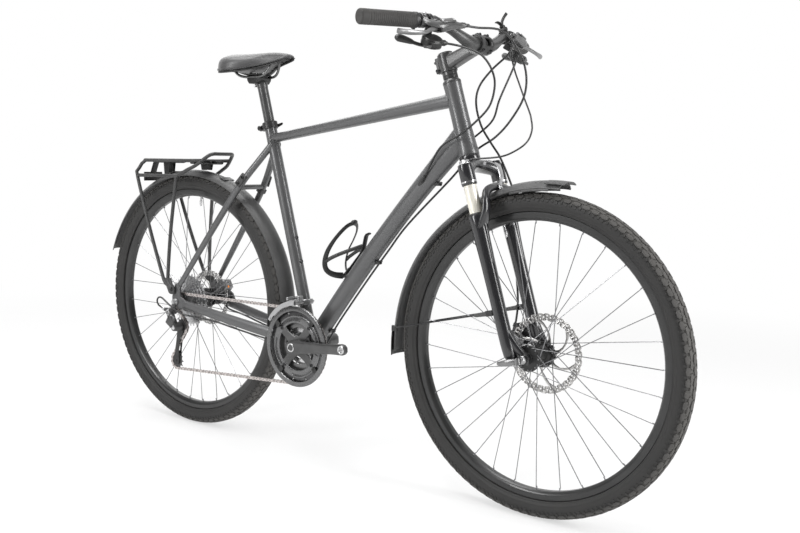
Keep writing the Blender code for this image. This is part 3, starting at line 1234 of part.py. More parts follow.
def make_chainrings():
    """Three chainrings on a four-armed spider."""
    big_y = -CHAIN_LINE
    middle_y = big_y + RING_SPACING
    small_y = middle_y + RING_SPACING
    half = RING_THICKNESS / 2
    big = disc_radius(BIG_RING_TEETH)
    middle = disc_radius(MIDDLE_RING_TEETH)
    small = disc_radius(SMALL_RING_TEETH)
    rings = tube(BOTTOM_BRACKET, Y_AXIS, big_y - half, big_y + half, big, middle - 0.003, 20)
    hub = tube(BOTTOM_BRACKET, Y_AXIS, big_y - half, middle_y + half, 0.024, SPINDLE_RADIUS + GAP,
               ROUND_SIDES)
    pieces = [hub]
    for quarter in range(4):
        degrees = 45 + 90 * quarter + math.degrees(CRANK_ANGLE)
        middle_point = around_crank((0.020 + middle + 0.003) / 2, degrees, (big_y + middle_y) / 2)
        outward = around_crank(1, degrees, 0) - BOTTOM_BRACKET
        pieces.append(block(middle_point, (middle + 0.003 - 0.020, middle_y - big_y + half, 0.013), outward,
                            Y_AXIS))
        post = around_crank(0.041, degrees, 0)
        pieces.append(rod(post + Y_AXIS * (middle_y - 0.001), post + Y_AXIS * (small_y + half), 0.005, 6))
    pieces.append(tube(BOTTOM_BRACKET, Y_AXIS, middle_y - half, middle_y + half, middle, 0.047, 16))
    pieces.append(tube(BOTTOM_BRACKET, Y_AXIS, small_y - half, small_y + half, small, 0.0345, 12))
    unite(rings, *pieces)
    finish(rings, "chainrings", "steel", "crankset")


def make_chain_guard():
    """The trouser guard: a ring outside the big chainring, on four bolted lugs."""
    y = -0.06475
    half = CHAIN_GUARD_THICKNESS / 2
    guard = tube(BOTTOM_BRACKET, Y_AXIS, y - half, y + half, CHAIN_GUARD_RADIUS, CHAIN_GUARD_INNER_RADIUS, 20)
    for quarter in range(4):
        degrees = 45 + 90 * quarter + math.degrees(CRANK_ANGLE)
        outward = around_crank(1, degrees, 0) - BOTTOM_BRACKET
        lug = block(around_crank(0.081, degrees, y), (0.014, CHAIN_GUARD_THICKNESS * 0.8, 0.011), outward,
                    Y_AXIS)
        post = around_crank(0.0775, degrees, 0)
        unite(guard, lug, rod(post + Y_AXIS * (y - half - 0.001), post - Y_AXIS * (CHAIN_LINE + 0.0012), 0.004, 6))
    finish(guard, "chain_guard", "dark_grey", "crankset")


def crank_arm(side, outward):
    """An arm from the spindle to the pedal hole, leaning away from the frame."""
    end = BOTTOM_BRACKET + outward * CRANK_LENGTH
    y = side * (CRANK_FACE_Y + CRANK_THICKNESS / 2)
    path = [BOTTOM_BRACKET - outward * 0.004 + Y_AXIS * y, BOTTOM_BRACKET + outward * 0.045 + Y_AXIS * y,
            BOTTOM_BRACKET + outward * 0.110 + Y_AXIS * (y + side * 0.004),
            end + Y_AXIS * (y + side * 0.0075)]
    up = outward.cross(Y_AXIS)
    t = CRANK_THICKNESS
    arm = sweep(path, [(0.036, t), (0.029, t), (0.024, t - 0.001), (0.026, t - 0.002)], 8, up)
    unite(arm, rod(end + Y_AXIS * (y + side * 0.0005), end + Y_AXIS * (y + side * 0.0155), 0.0150, 14))
    cut(arm, rod(end + Y_AXIS * (y - side * 0.010), end + Y_AXIS * (y + side * 0.030), 0.0071, 12))
    return arm


def make_cranks():
    outward = Vector((math.cos(CRANK_ANGLE), 0, math.sin(CRANK_ANGLE)))
    face = CRANK_FACE_Y
    right = crank_arm(-1, outward)
    boss = tube(BOTTOM_BRACKET, Y_AXIS, -face - CRANK_THICKNESS + 0.001, -0.0610, 0.0185, 0.008, ROUND_SIDES)
    spindle = rod(BOTTOM_BRACKET - Y_AXIS * (face + CRANK_THICKNESS),
                  BOTTOM_BRACKET + Y_AXIS * (face + 0.0085),
                  SPINDLE_RADIUS, ROUND_SIDES)
    unite(right, boss, spindle)
    finish(right, "crank_right", "dark_grey", "crankset")
    left = crank_arm(1, -outward)
    clamp = rod(BOTTOM_BRACKET + Y_AXIS * 0.0485, BOTTOM_BRACKET + Y_AXIS * (face + CRANK_THICKNESS), 0.0185,
                ROUND_SIDES)
    unite(left, clamp)
    cut(left, rod(BOTTOM_BRACKET + Y_AXIS * 0.040, BOTTOM_BRACKET + Y_AXIS * (face + 0.0095),
                  SPINDLE_RADIUS + GAP, ROUND_SIDES))
    cut(left, rod(BOTTOM_BRACKET + Y_AXIS * (face + 0.005), BOTTOM_BRACKET + Y_AXIS * (face + 0.030), 0.0090, 12))
    finish(left, "crank_left", "dark_grey", "crankset")


def make_cassette():
    """Ten sprockets on their driver, from the small one outwards to the big one by the spokes."""
    bore = AXLE_RADIUS + 0.0005
    spacer = 0.0165
    half = COG_THICKNESS / 2
    profile = [(-CHAIN_LINE - 0.0037, bore), (-CHAIN_LINE - 0.0037, 0.0150), (-CHAIN_LINE - half, 0.0150)]
    for k, teeth in enumerate(COG_TEETH):
        y = -CHAIN_LINE + COG_SPACING * k
        radius = disc_radius(teeth) if k == 0 else sprocket_radius(teeth) - 0.0012
        if k == 1:
            profile += [(y - COG_SPACING + half, spacer), (y - half, spacer)]
        profile += [(y - half, radius), (y + half, radius)]
    profile.append((profile[-1][0], spacer))
    inner = profile[-1][0] + 0.0007
    profile += [(inner, spacer), (inner, bore)]
    finish(turned(REAR_AXLE, Y_AXIS, profile, 12), "cassette", "steel", "cassette")


def make_front_derailleur():
    """Clamp band, link and the cage of two plates either side of the chain."""
    level = 0.108
    inner = SEAT_TUBE_RADIUS + GAP
    band = turned(BOTTOM_BRACKET, SEAT_UP, [(level - 0.007, inner), (level - 0.007, inner + 0.004),
                                            (level + 0.007, inner + 0.004), (level + 0.007, inner)], 18)
    plate_y = CHAIN_LINE + 0.0055
    inner_y = CHAIN_LINE - 0.0060
    outer = slab(sector(0.1075, 0.124, 95, 150, 7), BOTTOM_BRACKET - Y_AXIS * plate_y, X_AXIS, Z_AXIS, 0.0016)
    inside = slab(sector(0.1060, 0.127, 97, 140, 7), BOTTOM_BRACKET - Y_AXIS * inner_y, X_AXIS, Z_AXIS,
                  0.0016)
    roof = slab(sector(0.1222, 0.124, 108, 124, 3), BOTTOM_BRACKET - Y_AXIS * ((plate_y + inner_y) / 2),
                X_AXIS,
                Z_AXIS, plate_y - inner_y + 0.0010)
    tail = slab(sector(0.1170, 0.1188, 143, 149.5, 2), BOTTOM_BRACKET - Y_AXIS * ((plate_y + inner_y) / 2),
                X_AXIS,
                Z_AXIS, plate_y - inner_y + 0.0010)
    tail_plate = slab(sector(0.1090, 0.121, 138, 150, 3), BOTTOM_BRACKET - Y_AXIS * inner_y, X_AXIS, Z_AXIS,
                      0.0016)
    start = seat_point(level, -inner - 0.001, 0.002)
    link = block(start + Vector((-0.002, -0.0185, 0.008)), (0.022, 0.037, 0.020), SEAT_FORWARD, Y_AXIS)
    unite(band, inside, tail_plate, outer, roof, tail, link)
    finish(band, "front_derailleur", "grey_alloy")


def make_rear_derailleur():
    """The body from the hanger to the cage's knuckle."""
    face = REAR_HUB_WIDTH / 2 + DROPOUT_THICKNESS + GAP
    top = REAR_AXLE + Vector((-0.0105, 0, -0.028))
    knuckle = rod(top - Y_AXIS * face, top - Y_AXIS * (face + 0.020), 0.0100, 12)
    low = guide_centre() + Y_AXIS * CHAIN_LINE
    lower = rod(low - Y_AXIS * 0.0660, low - Y_AXIS * 0.0915, 0.0115, 14)
    path = [top - Y_AXIS * (face + 0.012), top.lerp(low, 0.35) - Y_AXIS * 0.0885 + X_AXIS * 0.003,
            low - Y_AXIS * 0.0840]
    link = sweep(path, [(0.016, 0.016), (0.016, 0.022), (0.015, 0.020)], 10)
    stop = block(top + Vector((-0.014, -face - 0.012, 0.004)), (0.012, 0.010, 0.010))
    unite(knuckle, lower, link, stop)
    finish(knuckle, "rear_derailleur", "satin_black")


def make_derailleur_cage():
    """Two plates joined by the pulleys' bolts."""
    low = guide_centre()
    high = tension_centre()
    along = (high - low).normalized()
    across = along.cross(Y_AXIS)
    reach = (high - low).length
    outline = [(-0.010, -0.006), (-0.010, 0.006), (-0.004, 0.011), (0.020, 0.012), (0.052, 0.003),
               (reach - 0.018, 0.004), (reach - 0.006, 0.011), (reach + 0.008, 0.010), (reach + 0.011, 0.0),
               (reach + 0.006, -0.010), (reach - 0.010, -0.010), (0.060, -0.010), (0.022, -0.011)]
    outer = slab(outline, low - Y_AXIS * 0.0050, along, across, 0.0014)
    inner = slab(outline, low + Y_AXIS * 0.0050, along, across, 0.0014)
    pieces = [inner]
    for spot in (low, high):
        pieces.append(rod(spot - Y_AXIS * 0.0052, spot + Y_AXIS * 0.0060, 0.0025, 8))
    finish(unite(outer, *pieces), "derailleur_cage", "satin_black", "derailleur_cage")


def make_pulleys():
    radius = disc_radius(PULLEY_TEETH)
    for name, spot in (("guide_pulley", guide_centre()), ("tension_pulley", tension_centre())):
        profile = [(-0.0035, 0.0028), (-0.0035, 0.0075), (-0.0009, 0.0075), (-0.0009, radius),
                   (0.0009, radius),
                   (0.0009, 0.0075), (0.0035, 0.0075), (0.0035, 0.0028)]
        finish(turned(spot, Y_AXIS, profile, 12), name, "plastic_black", name)


# Rack, seat and bottle cage


def make_rack():
    """The rear carrier: deck, front hoop, pannier rails, legs and feet."""
    r = RACK_TUBE_RADIUS
    deck = RACK_DECK_HALF_WIDTH
    rail = RACK_RAIL_HALF_WIDTH
    level = RACK_DECK_Z + 0.002
    half = [Vector((RACK_FRONT_X - 0.004, deck * 0.98, level + 0.0045)),
            Vector((RACK_FRONT_X - 0.122, deck, level + 0.002)),
            Vector((RACK_REAR_X + 0.021, deck, level)), Vector((RACK_REAR_X, deck * 0.75, level)),
            Vector((RACK_REAR_X - 0.004, 0, level))]
    rack = round_bar(half + [Vector((p.x, -p.y, p.z)) for p in half[-2::-1]], r, 5, Z_AXIS)
    hoop = [Vector((RACK_FRONT_X - 0.094, rail, RACK_RAIL_Z + 0.003)),
            Vector((RACK_FRONT_X - 0.067, rail - 0.001, level - 0.033)),
            Vector((RACK_FRONT_X - 0.019, 0.058, level - 0.009)),
            Vector((RACK_FRONT_X + 0.015, 0.044, level + 0.017)),
            Vector((RACK_FRONT_X + 0.028, 0.032, level + 0.0235)),
            Vector((RACK_FRONT_X + 0.031, 0, level + 0.0235))]
    pieces = [round_bar(hoop + [Vector((p.x, -p.y, p.z)) for p in hoop[-2::-1]], r, 5, X_AXIS)]
    for x, z in ((RACK_REAR_X + 0.036, 0.0005), (RACK_FRONT_X - 0.112, 0.0025),
                 (RACK_FRONT_X - 0.022, 0.0040)):
        pieces.append(rod(Vector((x, -deck, level + z)), Vector((x, deck, level + z)), 0.0038, 5))
    pieces.append(rod(Vector((RACK_REAR_X - 0.002, 0, level)), Vector((RACK_FRONT_X - 0.022, 0, level + 0.004)),
                      0.0040, 5))
    plate = Vector((RACK_REAR_X - 0.006, 0, RACK_DECK_Z - 0.017))
    pieces.append(block(plate, (0.003, 0.070, 0.046)))
    for side in (-1, 1):
        def high_spot(x, y, lift):
            return Vector((REAR_AXLE.x + x, side * y, RACK_DECK_Z + lift))

        def low_spot(x, y, lift):
            return REAR_AXLE + Vector((x, side * y, lift))

        foot = low_spot(-0.012, 0.0790, 0.038)
        rear_leg = [high_spot(-0.161, deck, 0.0015), high_spot(-0.180, rail - 0.004, -0.028),
                    high_spot(-0.178, rail, -0.044), low_spot(-0.117, 0.072, 0.200),
                    low_spot(-0.051, 0.0765, 0.062), foot + X_AXIS * 0.002]
        pieces.append(round_bar(rear_leg, r, 5, Y_AXIS))
        pieces.append(rod(high_spot(-0.178, rail, -0.042), high_spot(0.005, rail, -0.0385), r, 5))
        front_leg = [high_spot(-0.005, rail, -0.039), low_spot(-0.023, 0.073, 0.202),
                     low_spot(-0.031, 0.0765, 0.072), foot]
        pieces.append(round_bar(front_leg, r, 5, Y_AXIS))
        pieces.append(slab([(-0.012, -0.012), (0.010, -0.012), (0.012, 0.008), (-0.006, 0.034), (-0.032, 0.030)],
                           low_spot(-0.012, 0.0784, 0.034), X_AXIS, Z_AXIS, 0.0044))
    # Two feet under the deck hold the mudguard
    for x in (REAR_AXLE.x - 0.094, REAR_AXLE.x + 0.056):
        crown = REAR_AXLE.z + math.sqrt((GUARD_RADIUS - 0.0010) ** 2 - (x - REAR_AXLE.x) ** 2)
        top = level + 0.0030
        pieces.append(block(Vector((x, 0, (crown + top) / 2)), (0.014, 0.018, top - crown)))
    unite(rack, *pieces)
    finish(rack, "rear_rack", "satin_black")


def make_seatpost():
    """The post with its clamp head, which grips both saddle rails."""
    low = SEAT_TUBE_LENGTH - SEATPOST_INSERTION
    profile = [(low, 0), (low, SEATPOST_RADIUS), (SEATPOST_HEAD_HEIGHT - 0.004, SEATPOST_RADIUS),
               (SEATPOST_HEAD_HEIGHT + 0.006, 0.0150), (SEATPOST_HEAD_HEIGHT + 0.006, 0)]
    post = turned(BOTTOM_BRACKET, SEAT_UP, profile, ROUND_SIDES)
    centre = Vector((SEATPOST_HEAD_X, 0, 0))
    seat = RAIL_RADIUS + GAP
    wide = RAIL_SPACING + 2 * RAIL_RADIUS
    cradle = block(centre + Z_AXIS * (RAIL_Z - seat - CRADLE_HEIGHT / 2), (0.042, wide, CRADLE_HEIGHT))
    web = block(centre + Z_AXIS * RAIL_Z, (0.036, RAIL_SPACING - 2 * seat - 0.002, 2 * seat + 0.006))
    clamp = block(centre + Z_AXIS * (RAIL_Z + seat + RAIL_CLAMP_HEIGHT / 2), (0.038, wide, RAIL_CLAMP_HEIGHT))
    unite(post, cradle, web, clamp)
    finish(post, "seatpost", "satin_black", "seatpost")


def saddle_ring(x, half_width, top, edge, hollow):
    """One cross-section of the saddle: a domed top and a hollow underside."""
    ring = []
    for step in range(11):
        angle = math.pi * step / 10
        y = half_width * math.copysign(abs(math.cos(angle)) ** 0.75, math.cos(angle))
        z = edge + (top - edge) * math.sin(angle) ** 0.55 if 0 < step < 10 else edge
        ring.append(Vector((x, y, z)))
    for step in range(5):
        share = (step + 0.5) / 5
        y = -(half_width - 0.005) * math.cos(math.pi * share)
        ring.append(Vector((x, y, edge - 0.001 + hollow * math.sin(math.pi * share))))
    return ring


def loft(rings):
    """A closed skin over rings that have the same number of points."""
    count = len(rings[0])
    verts = [point for ring in rings for point in ring]
    faces = [tuple(range(count)), tuple(range(len(verts) - count, len(verts)))]
    for k in range(len(rings) - 1):
        for step in range(count):
            after = (step + 1) % count
            low = k * count
            faces.append((low + step, low + after, low + count + after, low + count + step))
    return new_solid(verts, faces)


def make_saddle():
    """The padded shell with its two steel rails."""
    nose = SADDLE_NOSE_X
    tail = nose - SADDLE_LENGTH
    half = SADDLE_WIDTH / 2
    top = SADDLE_TOP_Z
    stations = [
        (tail, 0.22, -0.022, -0.032, 0.004), (tail + 0.007, 0.42, -0.013, -0.041, 0.008),
        (tail + 0.020, 0.66, -0.007, -0.048, 0.013), (tail + 0.040, 0.89, -0.004, -0.052, 0.017),
        (tail + 0.066, 1.00, -0.004, -0.053, 0.020), (tail + 0.096, 0.92, -0.005, -0.051, 0.019),
        (tail + 0.126, 0.72, -0.005, -0.047, 0.017), (tail + 0.154, 0.50, -0.003, -0.041, 0.014),
        (tail + 0.182, 0.365, 0.0, -0.034, 0.011), (tail + 0.210, 0.295, -0.001, -0.027, 0.007),
        (tail + 0.233, 0.245, -0.005, -0.022, 0.003), (nose, 0.120, -0.012, -0.019, 0.001),
    ]
    rings = [saddle_ring(x, half * wide, top + lift, top + edge, hollow) for x, wide, lift, edge,
             hollow in stations]
    saddle = loft(rings)
    for side in (-1, 1):
        rail = [(-0.056, 0.010, 0.0448), (-0.068, 0.018, 0.0198), (-0.081, 0.0215, 0.0053),
                (-0.098, RAIL_SPACING / 2, 0),
                (-0.150, RAIL_SPACING / 2, 0), (-0.176, 0.025, 0.0068), (-0.196, 0.032, 0.0328)]
        line = [Vector((nose + x, side * y, RAIL_Z + z)) for x, y, z in rail]
        saddle = unite(saddle, round_bar(line, RAIL_RADIUS, 6))
    finish(saddle, "saddle", "saddle_cover", "seatpost")


def make_bottle_cage():
    """A bottle cage of bent bars on the down tube."""
    path = down_tube_path()
    along = (path[6] - path[2]).normalized()
    outward = Vector((-along.z, 0, along.x))
    base = path[3] + outward * (DOWN_TUBE_REAR[1] / 2 * math.cos(math.pi / 12))

    def spot(a, b, y):
        return base + along * a + outward * b + Y_AXIS * y

    cage = sweep([spot(-0.052, 0.0045, 0), spot(0.0, 0.0035, 0), spot(0.072, 0.0045, 0)],
                 [(0.016, 0.005), (0.014, 0.005), (0.016, 0.005)], 8)
    pieces = [block(spot(0.0, 0.0030, 0), (0.020, 0.016, 0.005), along, Y_AXIS)]
    for side in (-1, 1):
        lower = [spot(-0.050, 0.006, 0), spot(-0.050, 0.020, side * 0.026),
                 spot(-0.042, 0.044, side * 0.0395),
                 spot(-0.016, 0.052, side * 0.0405), spot(0.020, 0.040, side * 0.0400),
                 spot(0.052, 0.022, side * 0.028), spot(0.070, 0.006, 0)]
        pieces.append(round_bar(smooth_path(lower, 8), 0.0032, 5, outward))
        hook = [spot(-0.030, 0.050, side * 0.0405), spot(0.012, 0.062, side * 0.0385),
                spot(0.046, 0.072, side * 0.0340), spot(0.068, 0.078, side * 0.0290)]
        pieces.append(round_bar(smooth_path(hook, 4), 0.0036, 5, outward))
    lip = [spot(-0.040, 0.046, -0.0395), spot(-0.052, 0.066, -0.030), spot(-0.056, 0.078, 0),
           spot(-0.052, 0.066, 0.030), spot(-0.040, 0.046, 0.0395)]
    pieces.append(round_bar(smooth_path(lip, 7), 0.0034, 5, outward))
    unite(cage, *pieces)
    finish(cage, "bottle_cage", "plastic_black")


# Cables and hoses

BRAKE_HOSE_DIAMETER = 0.005
SHIFT_CABLE_DIAMETER = 0.0048


def cable_port(side):
    """Where a shift cable enters the side of the down tube, and its direction there."""
    path = down_tube_path()
    along = (path[6] - path[7]).normalized()
    middle = path[6].lerp(path[7], 0.35)
    inwards = (along + Y_AXIS * (-side * 0.45)).normalized()
    return middle + Y_AXIS * (side * (DOWN_TUBE_FRONT[0] / 2 - 0.004)), inwards


def race_spot(x, y, z):
    """A point beside the crown race, level and square to the bike."""
    return CROWN_RACE + Vector((x, y, z))


def axle_spot(x, y, z):
    return REAR_AXLE + Vector((x, y, z))


def make_cables():
    port, heading = cable_port(-1)
    right = [bar_point(-1, GRIP_START - 0.0475) + bar_frame(-1)[1] * 0.044 - bar_frame(-1)[2] * 0.029,
             race_spot(0.0385, -0.118, 0.2425),
             race_spot(0.0520, -0.085, 0.2365), race_spot(0.0620, -0.06, 0.2255),
             race_spot(0.0715, -0.04, 0.2015), race_spot(0.0795, -0.035, 0.1675), race_spot(0.0690, -0.035,
                                                                                            0.1225),
                                                                                            race_spot(0.0365,
                                                                                                      -0.036,
                                                                                                      0.0885),
             race_spot(-0.0075, -0.036, 0.0575), race_spot(-0.0615, -0.034, 0.0275), port - heading * 0.016,
             port + heading * 0.002]
    cable("shift_cable_right", right, SHIFT_CABLE_DIAMETER, 25, "steering")
    port, heading = cable_port(1)
    left = [bar_point(1, GRIP_START - 0.0475) + bar_frame(1)[1] * 0.044 - bar_frame(1)[2] * 0.029,
            race_spot(0.0370, 0.117, 0.2285),
            race_spot(0.0360, 0.098, 0.1985), race_spot(0.0315, 0.062, 0.1395), race_spot(0.0185, 0.058,
                                                                                          0.0945),
            race_spot(-0.0165, 0.05, 0.0605), race_spot(-0.0585, 0.038, 0.0285), port - heading * 0.016,
            port + heading * 0.002]
    cable("shift_cable_left", left, SHIFT_CABLE_DIAMETER, 19, "steering")
    leg = LEG_OFFSET
    front = [steer_point(0.1265, 0.1000, 0.2595), race_spot(0.0505, 0.086, 0.2725),
             race_spot(0.0445, 0.072, 0.2425),
             race_spot(0.0125, 0.056, 0.2075), race_spot(-0.0100, 0.041, 0.1695), race_spot(-0.0140, 0.036,
                                                                                            0.1305),
                                                                                            race_spot(-0.0025, 0.042, 0.0815),
             race_spot(0.0195, 0.053, 0.0415),
             race_spot(0.0415, 0.06, 0.0085),
             steer_point(0.0475, 0.0680, -0.060), steer_point(0.040, 0.0835, -0.092),
             steer_point(leg, 0.0860, -0.130), steer_point(leg - 0.012, 0.0840, -0.190),
             steer_point(leg - 0.020, 0.0760, -0.260), steer_point(leg - 0.026, 0.0620, -0.330),
             steer_point(leg - 0.034, 0.0480, -0.372), steer_point(leg - 0.040, 0.0435, -0.384)]
    cable("front_brake_hose", front, BRAKE_HOSE_DIAMETER, 35, "steering")
    lockout = [lockout_centre() + STEER_FORWARD * 0.0170 - STEER_UP * 0.0117,
               race_spot(0.0230, 0.1215, 0.2445),
               race_spot(0.0340, 0.118, 0.2125),
               race_spot(0.0585, 0.1, 0.1795), race_spot(0.0895, 0.074, 0.1435), race_spot(0.1175, 0.05,
                                                                                           0.1135),
                                                                                           race_spot(0.1325,
                                                                                                     0.034,
                                                                                                     0.0975),
               race_spot(0.1500, 0.01, 0.0710), race_spot(0.1565, -0.02, 0.0445), race_spot(0.1395, -0.04,
                                                                                            0.0245),
                                                                                            race_spot(0.1115,
                                                                                                      -0.055,
                                                                                                      0.0115),
               steer_point(0.046, -0.0620, -0.0100), steer_point(0.0385, -0.0632, -0.0105)]
    cable("lockout_cable", lockout, 0.004, 27, "steering")
    path = down_tube_path()
    across = (path[6] - path[2]).normalized()
    below = -Vector((-across.z, 0, across.x))
    under = [path[k] + below * (DOWN_TUBE_REAR[1] / 2 + 0.0045) + Y_AXIS * 0.008 for k in (1, 2, 3, 4, 5)]
    stay = chainstay_path(1)
    drop = Z_AXIS * (CHAINSTAY_SIZE[1] / 2 + 0.0045)
    hose = [steer_point(0.1265, -0.1000, 0.2595), race_spot(0.0525, -0.07, 0.2845),
            race_spot(0.0715, 0, 0.2845),
            race_spot(0.0835, 0.052, 0.2465),
            race_spot(0.0995, 0.061, 0.1965), race_spot(0.1015, 0.052, 0.1445), race_spot(0.0725, 0.045,
                                                                                          0.0915),
                                                                                          race_spot(0.0375,
                                                                                                    0.04,
                                                                                                    0.0545),
            race_spot(-0.0045, 0.037, 0.0285), race_spot(-0.0405, 0.034, -0.0055), race_spot(-0.0675, 0.022,
                                                                                             -0.0425),
                                                                                             under[4],
                                                                                             under[3],
            under[2], under[1], under[0], BOTTOM_BRACKET + Vector((0.030, 0.012, -0.010)),
            BOTTOM_BRACKET + Vector((0.006, 0.020, -0.0285)),
            BOTTOM_BRACKET + Vector((-0.030, 0.026, -0.0240)),
            stay[1] - drop, stay[2] - drop, stay[2].lerp(stay[3], 0.5) - drop,
            stay[3].lerp(stay[4], 0.0) - drop + Vector((0.012, -0.010, 0.004)), axle_spot(0.0830, 0.044,
                                                                                          -0.0200),
            axle_spot(0.0890, 0.045, 0.0040), axle_spot(0.0870, 0.047, 0.0265)]
    cable("rear_brake_hose", hose, BRAKE_HOSE_DIAMETER, 46)
    stay = chainstay_path(-1)
    shift = [BOTTOM_BRACKET + Vector((0.030, -0.012, -0.010)),
             BOTTOM_BRACKET + Vector((0.006, -0.016, -0.0285)),
             BOTTOM_BRACKET + Vector((-0.030, -0.022, -0.0240)), stay[1] - drop, stay[2] - drop,
             stay[2].lerp(stay[3], 0.5) - drop, stay[3] - drop + Vector((0.010, -0.002, 0)),
             axle_spot(0.0610, -0.08, -0.0320), axle_spot(0.0310, -0.091, -0.0270), axle_spot(0.0010,
                                                                                              -0.0995,
                                                                                              -0.0170),
                                                                                              axle_spot(-0.0290, -0.102, -0.0060),
             axle_spot(-0.0460, -0.098, -0.0090), axle_spot(-0.0460, -0.089, -0.0220), axle_spot(-0.0325,
                                                                                                 -0.086,
                                                                                                 -0.0240)]
    cable("rear_shift_cable", shift, SHIFT_CABLE_DIAMETER, 27)


# Everything, in order


def make_pivots():
    add_pivot("steering", CROWN_RACE)
    add_pivot("fork_lowers", CROWN_RACE, "steering")
    add_pivot("front_wheel", FRONT_AXLE, "fork_lowers")
    front_end = FRONT_AXLE - Y_AXIS * (FRONT_HUB_WIDTH / 2 + 0.024 + 0.0075)
    add_pivot("front_axle_lever", front_end, "fork_lowers")
    add_pivot("rear_wheel", REAR_AXLE)
    add_pivot("cassette", REAR_AXLE)
    add_pivot("rear_axle_lever", REAR_AXLE + Y_AXIS * (REAR_HUB_WIDTH / 2 + 0.024 + 0.0075))
    add_pivot("crankset", BOTTOM_BRACKET)
    add_pivot("derailleur_cage", guide_centre())
    add_pivot("guide_pulley", guide_centre(), "derailleur_cage")
    add_pivot("tension_pulley", tension_centre(), "derailleur_cage")
    add_pivot("seatpost", seat_point(SEAT_TUBE_LENGTH))
    add_pivot("seat_collar_lever", seat_lever_hinge())
    for side, word in ((1, "left"), (-1, "right")):
        along, ahead, up = bar_frame(side)
        add_pivot("brake_lever_" + word, bar_point(side, GRIP_START - 0.025) + ahead * 0.034, "steering")
        add_pivot("thumb_lever_" + word, bar_point(side, GRIP_START - 0.022) + ahead * 0.036 - up * 0.0408,
                  "steering")
    add_pivot("lockout_lever", lockout_hinge(), "steering")


def build():
    clear_scene()
    make_materials()
    make_pivots()
    make_frame()
    make_seat_collar()
    make_bottom_bracket()
    make_upper_headset()
    make_fork_uppers()
    make_fork_lowers()
    make_front_guard()
    make_rear_guard()
    make_lamp_bracket()
    make_calipers()
    make_tyre("front_tyre", FRONT_AXLE, "front_wheel")
    make_tyre("rear_tyre", REAR_AXLE, "rear_wheel")
    make_rim("front_rim", FRONT_AXLE, "front_wheel")
    make_rim("rear_rim", REAR_AXLE, "rear_wheel")
    front_rotor_y = FRONT_HUB_WIDTH / 2 - FRONT_ROTOR_INSET
    rear_rotor_y = REAR_HUB_WIDTH / 2 - REAR_ROTOR_INSET
    make_hub("front_hub", FRONT_AXLE, "front_wheel", (-0.034, 0.024), (-0.0435, 0.0435), 0.05)
    make_hub("rear_hub", REAR_AXLE, "rear_wheel", (-0.0165, 0.035), (-0.0210, 0.0590), 0.11)
    make_rotor("front_rotor", FRONT_AXLE, front_rotor_y, FRONT_ROTOR_RADIUS, "front_wheel")
    make_rotor("rear_rotor", REAR_AXLE, rear_rotor_y, REAR_ROTOR_RADIUS, "rear_wheel")
    make_front_axle()
    make_rear_axle()
    make_quick_releases()
    make_stem()
    make_handlebar()
    make_controls(1, "left")
    make_controls(-1, "right")
    make_lockout_remote()
    make_chain()
    make_chainrings()
    make_chain_guard()
    make_cranks()
    make_cassette()
    make_front_derailleur()
    make_rear_derailleur()
    make_derailleur_cage()
    make_pulleys()
    make_rack()
    make_seatpost()
    make_saddle()
    make_bottle_cage()
    make_cables()


build()
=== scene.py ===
"""A trekking bike with its mudguards, rear carrier and disc brakes, dressed for a picture.

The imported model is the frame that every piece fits. Each visible piece is shaped here and rides on
the body that carries it.
"""

import math

import bpy
from mathutils import Matrix, Vector


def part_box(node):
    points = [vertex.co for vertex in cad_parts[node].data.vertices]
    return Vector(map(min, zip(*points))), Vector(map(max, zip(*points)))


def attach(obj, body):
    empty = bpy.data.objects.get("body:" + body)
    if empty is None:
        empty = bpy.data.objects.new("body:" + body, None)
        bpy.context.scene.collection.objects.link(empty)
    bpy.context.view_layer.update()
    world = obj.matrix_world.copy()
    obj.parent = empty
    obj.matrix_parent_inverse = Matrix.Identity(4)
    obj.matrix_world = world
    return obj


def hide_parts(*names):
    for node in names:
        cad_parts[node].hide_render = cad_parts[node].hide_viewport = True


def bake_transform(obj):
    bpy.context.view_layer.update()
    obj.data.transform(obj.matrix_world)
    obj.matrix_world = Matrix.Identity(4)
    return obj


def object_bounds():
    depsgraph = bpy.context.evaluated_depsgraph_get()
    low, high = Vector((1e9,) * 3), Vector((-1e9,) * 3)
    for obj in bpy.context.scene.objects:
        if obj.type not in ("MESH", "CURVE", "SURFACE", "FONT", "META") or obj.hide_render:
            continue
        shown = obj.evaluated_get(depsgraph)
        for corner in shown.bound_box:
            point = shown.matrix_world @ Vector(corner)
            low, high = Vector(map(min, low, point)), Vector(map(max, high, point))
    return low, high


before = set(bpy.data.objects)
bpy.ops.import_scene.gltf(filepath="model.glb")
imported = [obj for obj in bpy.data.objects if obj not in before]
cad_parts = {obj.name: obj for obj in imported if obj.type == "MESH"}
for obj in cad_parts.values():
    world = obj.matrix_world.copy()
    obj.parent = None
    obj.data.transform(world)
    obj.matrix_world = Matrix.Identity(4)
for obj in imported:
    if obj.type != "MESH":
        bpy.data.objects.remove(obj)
cad_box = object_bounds()

X_AXIS = Vector((1, 0, 0))
Y_AXIS = Vector((0, 1, 0))
Z_AXIS = Vector((0, 0, 1))
# The right side has negative y
SIDES = ((-1, "right"), (1, "left"))


def middle_of(node):
    low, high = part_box(node)
    return (low + high) / 2


# Main places and directions of the bike

